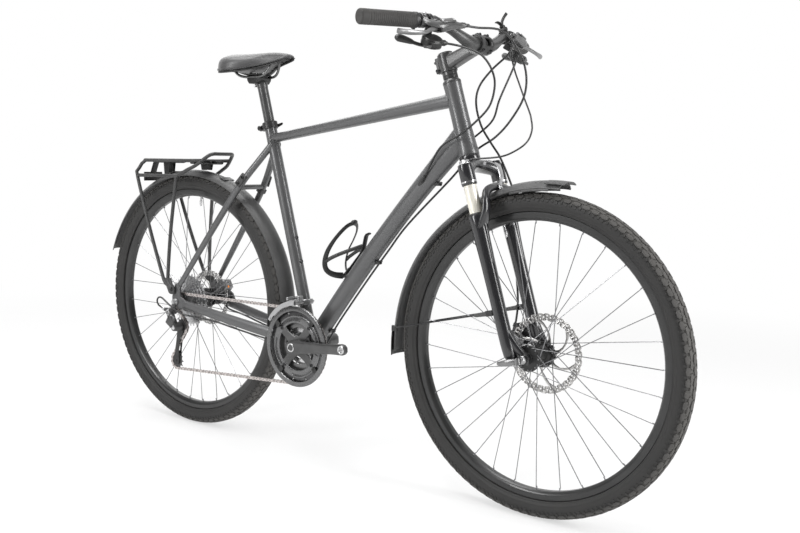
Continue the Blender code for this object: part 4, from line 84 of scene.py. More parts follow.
FRONT_AXLE = middle_of("front_tyre")
REAR_AXLE = middle_of("rear_tyre")
BOTTOM_BRACKET = middle_of("bottom_bracket")
TYRE_RADIUS = (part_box("front_tyre")[1].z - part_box("front_tyre")[0].z) / 2
HEAD_ANGLE = math.radians(71.8)
SEAT_ANGLE = math.radians(73.5)
FORK_RAKE = 0.05
CROWN_HEIGHT = 0.458
STEER_UP = Vector((-math.cos(HEAD_ANGLE), 0, math.sin(HEAD_ANGLE)))
STEER_FORWARD = Vector((STEER_UP.z, 0, -STEER_UP.x))
SEAT_UP = Vector((-math.cos(SEAT_ANGLE), 0, math.sin(SEAT_ANGLE)))
SEAT_FORWARD = Vector((SEAT_UP.z, 0, -SEAT_UP.x))
CROWN_RACE = FRONT_AXLE - STEER_FORWARD * FORK_RAKE + STEER_UP * CROWN_HEIGHT


def steer_point(forward, y, up):
    """A point given along the steering frame, measured from the crown race."""
    return CROWN_RACE + STEER_FORWARD * forward + STEER_UP * up + Y_AXIS * y


def seat_point(up, y=0.0, forward=0.0):
    """A point given along the seat tube, measured from the bottom bracket."""
    return BOTTOM_BRACKET + SEAT_UP * up + Y_AXIS * y + SEAT_FORWARD * forward


def wheel_way(angle):
    """The direction at an angle from ahead to up."""
    return Vector((math.cos(angle), 0, math.sin(angle)))


def mirrored(point):
    """The same point on the other side of the bike."""
    return Vector((point.x, -point.y, point.z))


def mm(*points):
    """Points or sizes that are written in millimetres, turned into metres."""
    return [tuple(round(number / 1000, 7) for number in point) for point in points]


def smooth_path(points, count):
    """Evenly spread points on a smooth curve through the given ones."""
    rough = []
    last = len(points) - 1
    for k in range(last):
        p0 = points[max(k - 1, 0)]
        p1 = points[k]
        p2 = points[k + 1]
        p3 = points[min(k + 2, last)]
        for step in range(16):
            t = step / 16
            rough.append(
                p1
                + (p2 - p0) * (0.5 * t)
                + (p0 * 2 - p1 * 5 + p2 * 4 - p3) * (0.5 * t * t)
                + (p1 * 3 - p0 - p2 * 3 + p3) * (0.5 * t**3)
            )
    rough.append(points[-1])
    lengths = [0.0]
    for k in range(1, len(rough)):
        lengths.append(lengths[-1] + (rough[k] - rough[k - 1]).length)
    spread = []
    k = 1
    for step in range(count):
        target = lengths[-1] * step / (count - 1)
        while k < len(lengths) - 1 and lengths[k] < target:
            k += 1
        share = (target - lengths[k - 1]) / (lengths[k] - lengths[k - 1])
        spread.append(rough[k - 1].lerp(rough[k], share))
    return spread


# Modelling by hand


def put_down():
    """Back to object mode, with nothing selected."""
    if bpy.context.object and bpy.context.object.mode == "EDIT":
        bpy.ops.object.mode_set(mode="OBJECT")
    bpy.ops.object.select_all(action="DESELECT")


def pick_up(*pieces):
    put_down()
    for piece in pieces:
        piece.select_set(True)
    bpy.context.view_layer.objects.active = pieces[0]


def square_to(along, across=Y_AXIS):
    """Three directions as columns: the last is along, the first leans towards across."""
    along = along.normalized()
    first = across - along * across.dot(along)
    if first.length < 0.01:
        first = X_AXIS - along * X_AXIS.dot(along)
    first.normalize()
    return Matrix((first, along.cross(first), along)).transposed()


def start_disc(place, along, radius, sides, across=Y_AXIS):
    """A filled circle square to a direction, in edit mode and selected."""
    put_down()
    bpy.ops.mesh.primitive_circle_add(vertices=sides, radius=radius, fill_type="NGON", location=place,
        rotation=square_to(along, across).to_euler())
    bpy.ops.object.transform_apply(location=True, rotation=True, scale=True)
    bpy.ops.object.mode_set(mode="EDIT")
    bpy.ops.mesh.select_mode(type="VERT")
    bpy.ops.mesh.select_all(action="SELECT")


def start_point(place):
    """One vertex, in edit mode and selected."""
    put_down()
    bpy.ops.mesh.primitive_plane_add(size=0.001, location=place)
    bpy.ops.object.transform_apply(location=True, rotation=True, scale=True)
    bpy.ops.object.mode_set(mode="EDIT")
    bpy.ops.mesh.select_mode(type="VERT")
    bpy.ops.mesh.select_all(action="SELECT")
    bpy.ops.mesh.merge(type="CENTER")


def pull(shift):
    bpy.ops.mesh.extrude_region_move(TRANSFORM_OT_translate={"value": shift})


def draw_line(points, closed=False):
    """Vertices pulled out one after the other along the points."""
    start_point(points[0])
    for before, after in zip(points, points[1:]):
        bpy.ops.mesh.extrude_vertices_move(TRANSFORM_OT_translate={"value": after - before})
    bpy.ops.mesh.select_all(action="SELECT")
    if closed:
        bpy.ops.mesh.edge_face_add()


def stretch(columns, place, first, second):
    bpy.ops.transform.resize(value=(first, second, 1.0), orient_type="GLOBAL", orient_matrix=columns,
        orient_matrix_type="GLOBAL", center_override=place)


def turn_selected(axis, angle, place):
    bpy.ops.transform.rotate(value=angle, orient_axis="Z", orient_type="GLOBAL",
        orient_matrix=square_to(axis), orient_matrix_type="GLOBAL", constraint_axis=(False, False, True),
        center_override=place)


def close_up():
    """Merges what lies together and turns every face outwards."""
    bpy.ops.mesh.select_all(action="SELECT")
    bpy.ops.mesh.remove_doubles(threshold=0.000004)
    bpy.ops.mesh.normals_make_consistent(inside=False)


def named(name, smooth=35):
    """The piece in hand, finished, named and shaded smooth up to an angle."""
    if bpy.context.object.mode == "EDIT":
        close_up()
    put_down()
    piece = bpy.context.object
    piece.select_set(True)
    piece.name = name
    piece.data.name = name
    bpy.ops.object.shade_smooth_by_angle(angle=math.radians(smooth))
    put_down()
    return piece


def spun(name, centre, axis, profile, steps=48, smooth=35, closed=False):
    """A turned piece from (along, radius) points. A closed profile makes a ring."""
    out = square_to(axis).col[0].copy()
    axis = axis.normalized()
    points = [centre + axis * along + out * radius for along, radius in profile]
    draw_line(points + points[:1] if closed else points)
    bpy.ops.mesh.spin(steps=steps, angle=2 * math.pi, center=centre, axis=axis)
    return named(name, smooth)


def hollow(name, centre, axis, profile, steps=48):
    """A turned ring with crisp edges."""
    return spun(name, centre, axis, profile, steps, 30, closed=True)


def swept(name, path, sizes, sides=24, across=Y_AXIS, smooth=40, round_ends=0.0):
    """A bar pulled along a path. A size is one diameter or (width along across, height)."""
    last = len(path) - 1
    spans = [(path[k + 1] - path[k]).normalized() for k in range(last)]
    ways = [spans[0]] + [(spans[k - 1] + spans[k]).normalized() for k in range(1, last)] + [spans[-1]]
    sizes = sizes if isinstance(sizes, list) else [sizes] * (last + 1)
    sizes = [size if isinstance(size, tuple) else (size, size) for size in sizes]
    columns = square_to(ways[0], across)
    start_disc(path[0], ways[0], 1.0, sides, across)
    stretch(columns, path[0], sizes[0][0] / 2, sizes[0][1] / 2)
    for k in range(1, last + 1):
        pull(path[k] - path[k - 1])
        bend = ways[k - 1].angle(ways[k], 0.0)
        if bend > 0.0005:
            turn_selected(ways[k - 1].cross(ways[k]), bend, path[k])
        columns = square_to(ways[k], across)
        wide = sizes[k][0] / sizes[k - 1][0]
        tall = sizes[k][1] / sizes[k - 1][1]
        if abs(wide - 1) + abs(tall - 1) > 0.0001:
            stretch(columns, path[k], wide, tall)
    if round_ends:
        for cap, way in ((last, ways[-1]), (0, -ways[0])):
            pick_faces(lambda face: abs(face.normal.dot(way)) > 0.999
                and (face.center - path[cap]).length < 0.001 and len(face.vertices) == sides)
            bpy.ops.mesh.inset(thickness=round_ends, depth=round_ends * 0.7)
    return named(name, smooth)


def pick_faces(wanted):
    """Selects the faces that pass a test, and stays in edit mode."""
    bpy.ops.mesh.select_mode(type="FACE")
    bpy.ops.mesh.select_all(action="DESELECT")
    bpy.ops.object.mode_set(mode="OBJECT")
    for face in bpy.context.object.data.polygons:
        face.select = bool(wanted(face))
    bpy.ops.object.mode_set(mode="EDIT")


def plate(name, outline, origin, first, second, thickness, bevel=0.0005, smooth=35, corner=0.0):
    """A flat piece: an outline in two directions, pulled along their normal, its edges broken."""
    normal = first.cross(second).normalized()
    points = [origin + first * a + second * b - normal * (thickness / 2) for a, b in outline]
    draw_line(points, closed=True)
    if corner:
        bpy.ops.mesh.bevel(offset=corner, segments=4, affect="VERTICES")
        bpy.ops.mesh.select_all(action="SELECT")
    pull(normal * thickness)
    piece = named(name, smooth)
    if bevel:
        soften(piece, bevel)
    return piece


def brick(name, centre, size, first=X_AXIS, second=Y_AXIS, bevel=0.001, segments=3):
    """A small moulded or milled body with its edges rounded."""
    a, b, c = (whole / 2 for whole in size)
    body = plate(name, [(-a, -b), (a, -b), (a, b), (-a, b)], centre, first, second, 2 * c, 0)
    return soften(body, bevel, segments) if bevel else body


def soften(piece, width, segments=2, angle=35):
    """Rounds the sharp edges of a piece."""
    pick_up(piece)
    bevel = piece.modifiers.new("edges", "BEVEL")
    bevel.width = width
    bevel.segments = segments
    bevel.limit_method = "ANGLE"
    bevel.angle_limit = math.radians(angle)
    bevel.harden_normals = False
    bpy.ops.object.modifier_apply(modifier="edges")
    bpy.ops.object.shade_smooth_by_angle(angle=math.radians(50))
    put_down()
    return piece


def cut_away(piece, *tools):
    """Takes the tools' shapes out of a piece."""
    for tool in tools:
        pick_up(piece)
        trim = piece.modifiers.new("trim", "BOOLEAN")
        trim.operation = "DIFFERENCE"
        trim.solver = "EXACT"
        trim.object = tool
        bpy.ops.object.modifier_apply(modifier="trim")
        bpy.data.objects.remove(tool)
    put_down()
    return piece


def together(name, pieces):
    """Joins finished pieces into one."""
    pick_up(*pieces)
    if len(pieces) > 1:
        bpy.ops.object.join()
    piece = bpy.context.object
    piece.name = name
    piece.data.name = name
    put_down()
    return piece


def copies(piece, places):
    """The piece and a copy of it, with its own mesh, at each further place."""
    made = []
    for place in places:
        twin = piece.copy()
        twin.data = piece.data.copy()
        twin.data.transform(place)
        bpy.context.collection.objects.link(twin)
        made.append(twin)
    bpy.data.objects.remove(piece)
    return made


def around(centre, axis, angle):
    """A turn about an axis through a point."""
    return Matrix.Translation(centre) @ Matrix.Rotation(angle, 4, axis) @ Matrix.Translation(-centre)


def ring_of(piece, count, centre, axis=Y_AXIS, first=0.0):
    return copies(piece, [around(centre, axis, first + 2 * math.pi * k / count) for k in range(count)])


def wear(piece, finish, body, stands_for=()):
    """Gives a piece its finish, the body that alone carries it, if one does, and what it stands for."""
    piece.data.materials.clear()
    piece.data.materials.append(finish.material)
    for face in piece.data.polygons:
        face.material_index = 0
    if body:
        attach(piece, body)
    if stands_for:
        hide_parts(*stands_for)
    return piece


def dress(name, pieces, finish, body, stands_for=()):
    """Joins pieces and gives the result its finish and its body."""
    return wear(together(name, pieces), finish, body, stands_for)


# Finishes


class Value:
    """A number that varies over a surface. Sums on it add the nodes that work them out."""

    def __init__(self, finish, socket):
        self.finish = finish
        self.socket = socket

    def maths(self, operation, first, second):
        return self.finish.maths(operation, first, second)

    def __add__(self, other):
        return self.maths("ADD", self, other)

    __radd__ = __add__

    def __rsub__(self, other):
        return self.maths("SUBTRACT", other, self)

    def __mul__(self, other):
        return self.maths("MULTIPLY", self, other)

    def band(self, low, high):
        """0 below low, 1 above high, and a smooth rise between."""
        spread = {"Value": self, "From Min": low, "From Max": high}
        return self.finish.node("ShaderNodeMapRange", {"interpolation_type": "SMOOTHSTEP"}, spread)


class Finish:
    """One surface finish: a material and the nodes that give it its detail."""

    def __init__(self, name, **constants):
        self.material = bpy.data.materials.new(name)
        self.material.use_nodes = True
        self.tree = self.material.node_tree
        self.shader = self.tree.nodes["Principled BSDF"]
        for word, number in constants.items():
            self.shader.inputs[word.replace("_", " ").title().replace("Ior", "IOR")].default_value = number

    def feed(self, socket, value):
        if isinstance(value, Value):
            self.tree.links.new(value.socket, socket)
        else:
            socket.default_value = value

    def node(self, kind, settings=(), inputs=(), output=0):
        """Adds a node: its settings first, then the values or links of its sockets."""
        made = self.tree.nodes.new(kind)
        for word, setting in dict(settings).items():
            setattr(made, word, setting)
        for socket, value in dict(inputs).items():
            self.feed(made.inputs[socket], value)
        return Value(self, made.outputs[output])

    def maths(self, operation, first, second=0.0):
        return self.node("ShaderNodeMath", {"operation": operation}, {0: first, 1: second})

    def place(self, scale=(1, 1, 1), centre=(0, 0, 0)):
        """Where a point is on the bike, in metres, shifted and stretched."""
        here = self.node("ShaderNodeTexCoord", output="Object")
        return self.node("ShaderNodeMapping", {"vector_type": "TEXTURE"},
            {"Vector": here, "Location": centre, "Scale": tuple(1 / s for s in scale)})

    def noise(self, scale, detail=3.0, place=None):
        place = place or self.place()
        return self.node("ShaderNodeTexNoise", inputs={"Vector": place, "Scale": scale, "Detail": detail})

    def cells(self, scale):
        return self.node("ShaderNodeTexVoronoi", inputs={"Vector": self.place(), "Scale": scale})

    def mix(self, share, first, second):
        """A colour between two, by share."""
        made = self.tree.nodes.new("ShaderNodeMix")
        made.data_type = "RGBA"
        self.feed(made.inputs["Factor"], share)
        self.feed(made.inputs[6], first)
        self.feed(made.inputs[7], second)
        return Value(self, made.outputs[2])

    def colour(self, value):
        self.feed(self.shader.inputs["Base Color"], value)

    def rough(self, value):
        self.feed(self.shader.inputs["Roughness"], value)

    def relief(self, height, distance):
        bump = self.node("ShaderNodeBump", inputs={"Height": height, "Distance": distance,
            "Strength": 1.0}, output="Normal")
        self.feed(self.shader.inputs["Normal"], bump)


def grey(level, warmth=0.0):
    return (level * (1 + warmth), level, level * (1 - warmth), 1)


def plain_finish(name, dark, light, roughness, relief_scale, relief_depth, blotch=18.0, spread=0.1,
        warmth=0.0, **constants):
    """A finish with soft blotches of two greys, uneven gloss and a fine grain."""
    made = Finish(name, **constants)
    cloud = made.noise(blotch, 4)
    speck = made.noise(relief_scale, 2)
    made.colour(made.mix((cloud * 0.7 + speck * 0.5).band(0.35, 0.85), grey(dark, warmth),
        grey(light, warmth)))
    made.rough(cloud * spread + speck * (spread * 0.6) + (roughness - spread * 0.8))
    made.relief(speck, relief_depth)
    return made


def flake_paint(name, dark, light, roughness, metallic, coat):
    """Sprayed paint with fine metal flakes, a little orange peel and a clear coat."""
    made = Finish(name, metallic=metallic, coat_weight=coat, coat_roughness=0.12)
    flake = made.cells(2600.0).band(0.0, 0.55)
    cloud = made.noise(9.0, 3)
    made.colour(made.mix(flake * 0.65 + cloud * 0.35, dark, light))
    made.rough(cloud * 0.08 + flake * 0.1 + (roughness - 0.09))
    made.relief(made.noise(420.0, 2), 0.00004)
    return made


def brushed(name, dark, light, roughness, stretch, metallic=1.0, **constants):
    """Metal with fine lines along one direction, given by how the pattern is stretched."""
    made = Finish(name, metallic=metallic, **constants)
    lines = made.noise(1.0, 4, made.place(stretch))
    cloud = made.noise(60.0, 3)
    made.colour(made.mix(lines * 0.6 + cloud * 0.4, dark, light))
    made.rough(lines * 0.16 + cloud * 0.12 + (roughness - 0.14))
    made.relief(lines, 0.00003)
    return made


frame_paint = flake_paint("anthracite_paint", (0.046, 0.046, 0.047, 1), (0.145, 0.146, 0.148, 1), 0.35, 0.6,
    0.32)
leg_paint = flake_paint("black_gloss_paint", (0.006, 0.006, 0.007, 1), (0.016, 0.016, 0.018, 1), 0.24, 0.0,
    0.8)
bar_finish = plain_finish("black_anodised", 0.022, 0.042, 0.36, 900.0, 0.00004, spread=0.1, metallic=0.35)
post_finish = plain_finish("grey_anodised", 0.065, 0.11, 0.32, 900.0, 0.00004, spread=0.1, metallic=0.55)
rim_finish = plain_finish("black_rim", 0.01, 0.024, 0.32, 700.0, 0.00005, spread=0.12, coat_weight=0.25)
guard_finish = plain_finish("matt_mudguard", 0.048, 0.084, 0.42, 520.0, 0.00007, spread=0.12)
rack_finish = plain_finish("black_powder_coat", 0.028, 0.052, 0.42, 1400.0, 0.00009, spread=0.1)
plastic = plain_finish("moulded_plastic", 0.012, 0.026, 0.42, 1100.0, 0.00008, spread=0.12)
grey_plastic = plain_finish("grey_moulding", 0.045, 0.075, 0.4, 1100.0, 0.00008, spread=0.12)
hose_finish = plain_finish("cable_sleeve", 0.014, 0.026, 0.34, 1600.0, 0.00004, spread=0.1)
grip_finish = plain_finish("grip_rubber", 0.026, 0.05, 0.68, 1500.0, 0.0001, spread=0.12, warmth=0.04)
crank_finish = plain_finish("dark_crank_anodising", 0.075, 0.135, 0.3, 800.0, 0.00004, spread=0.12,
    metallic=0.75)
nickel = brushed("champagne_nickel", (0.8, 0.77, 0.68, 1), (0.92, 0.89, 0.8, 1), 0.36, (900, 900, 30), 0.45)
spoke_steel = brushed("spoke_steel", (0.16, 0.16, 0.165, 1), (0.36, 0.36, 0.37, 1), 0.3, (300, 300, 300),
    0.85)
bright_steel = brushed("bright_steel", (0.5, 0.5, 0.51, 1), (0.8, 0.8, 0.8, 1), 0.27, (500, 60, 500))
cage_steel = brushed("satin_steel", (0.36, 0.36, 0.37, 1), (0.62, 0.62, 0.62, 1), 0.34, (700, 700, 80))
stem_finish = plain_finish("grey_stem", 0.06, 0.105, 0.28, 800.0, 0.00004, spread=0.1, metallic=0.6)
rail_steel = brushed("rail_steel", (0.1, 0.1, 0.1, 1), (0.22, 0.22, 0.22, 1), 0.34, (300, 300, 300), 0.9)
ring_finish = brushed("ring_anodising", (0.06, 0.06, 0.062, 1), (0.15, 0.15, 0.152, 1), 0.3,
    (300, 300, 300), 0.9)
band_finish = brushed("guard_ring_anodising", (0.1, 0.1, 0.102, 1), (0.25, 0.25, 0.252, 1), 0.26,
    (300, 300, 300), 0.9)
brake_finish = plain_finish("grey_brake_body", 0.085, 0.15, 0.3, 700.0, 0.00004, spread=0.12, metallic=0.5)
dark_cog = brushed("dark_cog", (0.1, 0.1, 0.1, 1), (0.24, 0.24, 0.24, 1), 0.32, (300, 300, 300), 0.9)
cog_steel = brushed("cog_steel", (0.42, 0.42, 0.43, 1), (0.72, 0.72, 0.72, 1), 0.33, (60, 900, 900))
dark_steel = brushed("dark_bolt_steel", (0.03, 0.03, 0.032, 1), (0.08, 0.08, 0.082, 1), 0.32,
    (400, 400, 400), 0.8)
lever_alloy = brushed("lever_alloy", (0.17, 0.17, 0.172, 1), (0.34, 0.34, 0.34, 1), 0.34, (80, 900, 900),
    0.9)
chain_steel = brushed("chain_plate", (0.44, 0.4, 0.385, 1), (0.72, 0.67, 0.65, 1), 0.28, (250, 250, 250))
orange_plastic = plain_finish("orange_tab", 0.5, 0.6, 0.4, 900.0, 0.00005)
orange_plastic.colour(orange_plastic.mix(orange_plastic.noise(300.0), (0.7, 0.19, 0.015, 1),
    (0.86, 0.3, 0.03, 1)))


def from_axle(made, axle):
    """How far a point is from a wheel's axle, in metres."""
    flat = made.place((1, 0.0001, 1), axle)
    return made.node("ShaderNodeVectorMath", {"operation": "LENGTH"}, {0: flat}, "Value")


def disc_finish(name, axle):
    """Brake disc steel with the fine circles of grinding and of the pads."""
    made = Finish(name, metallic=1.0)
    reach = from_axle(made, axle)
    circles = made.node("ShaderNodeTexNoise", {"noise_dimensions": "1D"},
        {"W": reach * 2600.0, "Detail": 3.0})
    cloud = made.noise(70.0, 3)
    made.colour(made.mix(circles * 0.6 + cloud * 0.4, (0.4, 0.39, 0.38, 1), (0.74, 0.73, 0.72, 1)))
    made.rough(circles * 0.14 + cloud * 0.1 + 0.18)
    made.relief(circles, 0.00003)
    return made


def tyre_finish(name, axle):
    """Tyre rubber: greyer and drier on the tread, blacker with fine threads on the sidewall."""
    made = Finish(name, ior=1.45)
    reach = from_axle(made, axle)
    tread = reach.band(0.34, 0.354)
    cloud = made.noise(26.0, 5)
    grain = made.noise(900.0, 3)
    dusty = (tread * 0.55 + cloud * 0.35 + grain * 0.12).band(0.15, 0.9)
    made.colour(made.mix(dusty, (0.022, 0.0215, 0.021, 1), (0.076, 0.073, 0.069, 1)))
    made.rough(0.5 + cloud * 0.14 + dusty * 0.14)
    threads = made.maths("SINE", reach * 5200.0)
    made.relief(grain * 0.6 + threads * 0.12 * (1 - tread), 0.00018)
    return made


def saddle_finish():
    """Embossed synthetic leather: small pebbles, a soft sheen on the crown."""
    made = Finish("saddle_cover", sheen_weight=0.15, coat_weight=0.3, coat_roughness=0.3)
    pebble = made.cells(850.0)
    cloud = made.noise(30.0, 4)
    made.colour(made.mix(cloud * 0.6 + pebble * 0.6, (0.018, 0.018, 0.019, 1), (0.046, 0.045, 0.046, 1)))
    made.rough(0.34 + cloud * 0.12 + pebble * 0.16)
    made.relief(1 - pebble, 0.00012)
    return made


saddle_cover = saddle_finish()


# Wheels

RIM_INNER_RADIUS = 0.2965
TREAD_SEGMENTS = 48
SPOKES_PER_SIDE = 16
SPOKE_CIRCLE_RADIUS = 0.0255
# Flanges and ends of a hub are (right, left) along y
FRONT_FLANGES = (-0.034, 0.024)
FRONT_HUB_ENDS = (-0.0435, 0.0435)
REAR_FLANGES = (-0.0165, 0.035)
REAR_HUB_ENDS = (-0.021, 0.059)
FRONT_SPOKE_PHASE = 0.05
REAR_SPOKE_PHASE = 0.11
SPOKE_DIAMETER = 0.002
FLANGE_HALF = 0.00175
ROTOR_WAVES = 30
ROTOR_ARMS = 6
FRONT_ROTOR_Y = 0.0395
REAR_ROTOR_Y = 0.0522
FRONT_ROTOR_RADIUS = 0.09
REAR_ROTOR_RADIUS = 0.08
FRONT_VALVE_ANGLE = math.radians(109)
REAR_VALVE_ANGLE = math.radians(86)


def tread_block(outline, centre, along, y, lean, radius, lift):
    """One rubber block of the tread, at the top of the wheel, leaning with the tyre's shoulder."""
    outward = Vector((0, math.sin(lean), math.cos(lean)))
    sideways = Vector((0, math.cos(lean), -math.sin(lean)))
    here = centre + Vector((0, y, radius)) + outward * (lift - 0.0016)
    block = plate("tread", outline, here, X_AXIS, sideways, 0.0032, 0)
    pick_up(block)
    bpy.ops.object.mode_set(mode="EDIT")
    pick_faces(lambda face: face.normal.dot(outward) > 0.99)
    bpy.ops.mesh.bevel(offset=0.0006, segments=1)
    put_down()
    block.data.transform(around(centre, Y_AXIS, along / TYRE_RADIUS))
    return block


def make_tyre(name, centre, body, rubber):
    """A hollow casing with beads, and 48 copies of one piece of tread."""
    half = mm((0, 355.5), (6, 355.3), (11.5, 353.9), (16.5, 350.8), (20.3, 346.2), (22.3, 340.5),
        (22.7, 335), (22.1, 330), (21.3, 327.6), (21.5, 326.8), (20.6, 324.8), (19, 322.1), (17.6, 320),
        (17.8, 319), (16.6, 317.4), (13.8, 316.9), (9.8, 316.7), (9.7, 311.7), (6.8, 311.7), (15, 324.5),
        (19.7, 335), (18.8, 344), (12, 350.8), (0, 353))
    outline = half + [(-y, r) for y, r in reversed(half[1:-1])]
    casing = spun(name, centre, Y_AXIS, outline, 120, 50, closed=True)
    step = 2 * math.pi * TYRE_RADIUS / TREAD_SEGMENTS / 2
    middle = mm((-10.8, -5.6), (-3, -7.4), (8.8, -4.6), (10.8, 5.6), (3, 7.4), (-8.8, 4.6))
    slant = mm((-9, -3), (6.6, -4.2), (9.5, 2.8), (-6, 4))
    shoulder = mm((-7.8, -4), (7.8, -4), (8.8, 2.2), (4.8, 5.6), (-4.8, 5.6), (-8.8, 2.2))
    lug = mm((-3.6, -3), (3.6, -3), (2.4, 3.4), (-2.4, 3.4))
    blocks = []
    for k in (0, 1):
        flip = 1 if k else -1
        blocks.append(tread_block([(a, b * flip) for a, b in middle][::flip], centre, k * step, 0, 0,
            0.3552, 0.0026))
        for side in (-1, 1):
            for outline, along, y, lean, radius, lift in (
                (slant, 0.5, 0.0122, 21, 0.3534, 0.0024),
                (shoulder, 0.0, 0.0182, 46, 0.3492, 0.0021),
                (lug, 0.5, 0.0216, 69, 0.343, 0.0012),
                (lug, 0.0, 0.0222, 73, 0.3412, 0.0009),
            ):
                turned_outline = [(a * flip, b * side) for a, b in outline][:: flip * side]
                blocks.append(tread_block(turned_outline, centre, (k + along) * step, side * y,
                    math.radians(side * lean), radius, lift))
    segment = together("tread", blocks)
    tyre = together(name, [casing] + ring_of(segment, TREAD_SEGMENTS, centre))
    return wear(tyre, rubber, body, (name.replace("_tread", ""),))


def make_rim(name, centre, body, phase):
    """A deep black rim with its tyre flanges, and the spoke nipples."""
    half = mm((10.1, 311.2), (10.1, 315.2), (10.6, 316), (12, 316), (12.5, 315.4), (12.5, 312), (12.3, 306),
        (11.8, 303), (10, 300.4), (7.5, 298), (6, 296.7), (4.5, 296.5))
    outline = half + [(-y, r) for y, r in reversed(half)]
    rim = hollow(name, centre, Y_AXIS, outline, 120)
    wear(rim, rim_finish, body, (name.replace("_deep", ""),))
    top = centre + Z_AXIS * RIM_INNER_RADIUS
    nipple = spun("nipple", top, Z_AXIS, mm((2, 0), (2, 2.2), (-0.3, 2.2), (-0.8, 1.7), (-6.2, 1.4),
        (-6.8, 0)), 8, 30)
    nipple.data.transform(around(centre, Y_AXIS, -phase))
    nipples = together(name.replace("rim_deep", "nipples"), ring_of(nipple, 2 * SPOKES_PER_SIDE, centre))
    wear(nipples, spoke_steel, body)


def make_valve(centre, body, angle):
    """The tube's valve with its knurled nut and dust cap."""
    way = wheel_way(angle)
    root = centre + way * (RIM_INNER_RADIUS + 0.001)
    stem = spun("valve", root, -way, mm((0, 0), (0, 5), (2.2, 5), (2.6, 3), (12, 2.9), (12.5, 3.8),
        (22, 3.6), (27.5, 2.2), (29, 0)), 16)
    wear(stem, bright_steel, body)


def make_spokes(name, centre, body, flanges, phase):
    """Four spokes bent to the flanges, each copied eight times, and their heads."""
    pieces = []
    step = 2 * math.pi / SPOKES_PER_SIDE
    reach = RIM_INNER_RADIUS - 0.004
    for side, flange_y in ((-1, flanges[0] - FLANGE_HALF), (1, flanges[1] + FLANGE_HALF)):
        turn = phase + (step / 2 if side > 0 else 0)
        for index in (0, 1):
            lean = 3 * step * (1 if index == 0 else -1)
            hub_angle = index * step + turn
            rim_angle = hub_angle + lean
            spread = 0.0024 * (1 if index == 0 else -1)

            def at(radius, angle, y):
                return centre + Vector((math.cos(angle) * radius, y, math.sin(angle) * radius))

            head = at(SPOKE_CIRCLE_RADIUS, hub_angle, flange_y - spread * 0.8)
            bend = at(SPOKE_CIRCLE_RADIUS, hub_angle, flange_y + spread * 0.85)
            rim_end = at(reach, rim_angle, side * 0.003)
            leave = bend.lerp(rim_end, 0.012)
            wire = swept("spoke", [head, bend, leave, rim_end], SPOKE_DIAMETER, 6)
            knob = spun("head", head, Y_AXIS * (1 if spread < 0 else -1),
                mm((1, 0), (1, 1), (0, 2), (-1.2, 0)), 8)
            pieces += ring_of(together("spoke", [wire, knob]), SPOKES_PER_SIDE // 2, centre)
    dress(name, pieces, spoke_steel, body)


def make_hub(name, centre, body, flanges, ends):
    """A black hub shell: waisted body, two flanges with a rolled edge, and the disc's seat."""
    bore = 0.0054
    right, left = flanges
    low, high = ends
    wall = 0.0035
    outline = [(low, bore), (low, 0.01), (low + 0.001, 0.0125), (right - wall - 0.001, 0.0135),
        (right - wall, 0.018), (right - wall, 0.0285), (right - wall + 0.0008, 0.0292),
        (right - 0.0008, 0.0292), (right, 0.0285), (right + 0.0006, 0.0215), (right + 0.006, 0.0165),
        (right * 0.45 + left * 0.55, 0.015), (left - 0.006, 0.0165), (left - 0.0006, 0.0215),
        (left, 0.0285), (left + 0.0008, 0.0292), (left + wall - 0.0008, 0.0292), (left + wall, 0.0285),
        (left + wall, 0.0185), (left + wall + 0.001, 0.017), (high - 0.001, 0.017), (high, 0.016),
        (high, bore)]
    shell = hollow(name, centre, Y_AXIS, outline, 48)
    wear(shell, bar_finish, body, (name.replace("_shell", ""),))


def make_rotor(name, centre, y, radius, body, first):
    """A wavy brake disc: pierced band, swept arms and a black splined centre."""
    place = centre + Y_AXIS * y
    half = 0.00095
    band = hollow("band", place, Y_AXIS, [(-half, radius), (half, radius), (half, radius - 0.0165),
        (-half, radius - 0.0165)], 144)
    cutters = []

    def hole(at_radius, angle, size, sides=12):
        spot = place + Vector((math.cos(angle) * at_radius, -0.003, math.sin(angle) * at_radius))
        pin = spun("hole", spot, Y_AXIS, [(0, 0), (0, size), (0.006, size), (0.006, 0)], sides)
        return ring_of(pin, ROTOR_WAVES, place)

    pitch = 2 * math.pi / ROTOR_WAVES
    cutters += hole(radius + 0.0048, 0.0, 0.0066, 16)
    cutters += hole(radius - 0.0205, 0.5 * pitch, 0.006, 16)
    cutters += hole(radius - 0.0052, 0.5 * pitch, 0.0024)
    cutters += hole(radius - 0.0086, 0.0, 0.0023)
    cutters += hole(radius - 0.012, 0.5 * pitch, 0.0021)
    band = cut_away(band, together("holes", cutters))
    near = 0.0245
    far = radius - 0.0135
    lean = 0.62
    points = []
    for step in range(6):
        share = step / 5
        angle = first + lean * share ** 1.3
        reach = near + (far - near) * share
        points.append(place + Vector((math.cos(angle) * reach, 0, math.sin(angle) * reach)))
    sizes = mm((1.8, 11), (1.8, 6.6), (1.8, 5), (1.8, 4.8), (1.8, 6), (1.8, 10))
    arm = swept("arm", points, sizes, 12, Y_AXIS)
    pieces = [band] + ring_of(arm, ROTOR_ARMS, place)
    dress(name, pieces, disc_finish(name + "_steel", centre), body, (name.replace("_wavy", ""),))
    spider = hollow(name.replace("wavy", "centre"), place, Y_AXIS, mm((-1.6, 17.8), (-2, 20), (-2, 26.2),
        (-1.4, 27.2), (1.4, 27.2), (2, 26.2), (2, 23.5), (4.6, 22.8), (5, 20), (4.6, 17.8)), 48)
    notch = spun("notch", place + Vector((0.0285, -0.004, 0)), Y_AXIS,
        mm((0, 0), (0, 4.2), (12, 4.2), (12, 0)), 12)
    spider = cut_away(spider, together("notches", ring_of(notch, 12, place)))
    wear(spider, dark_steel, body)


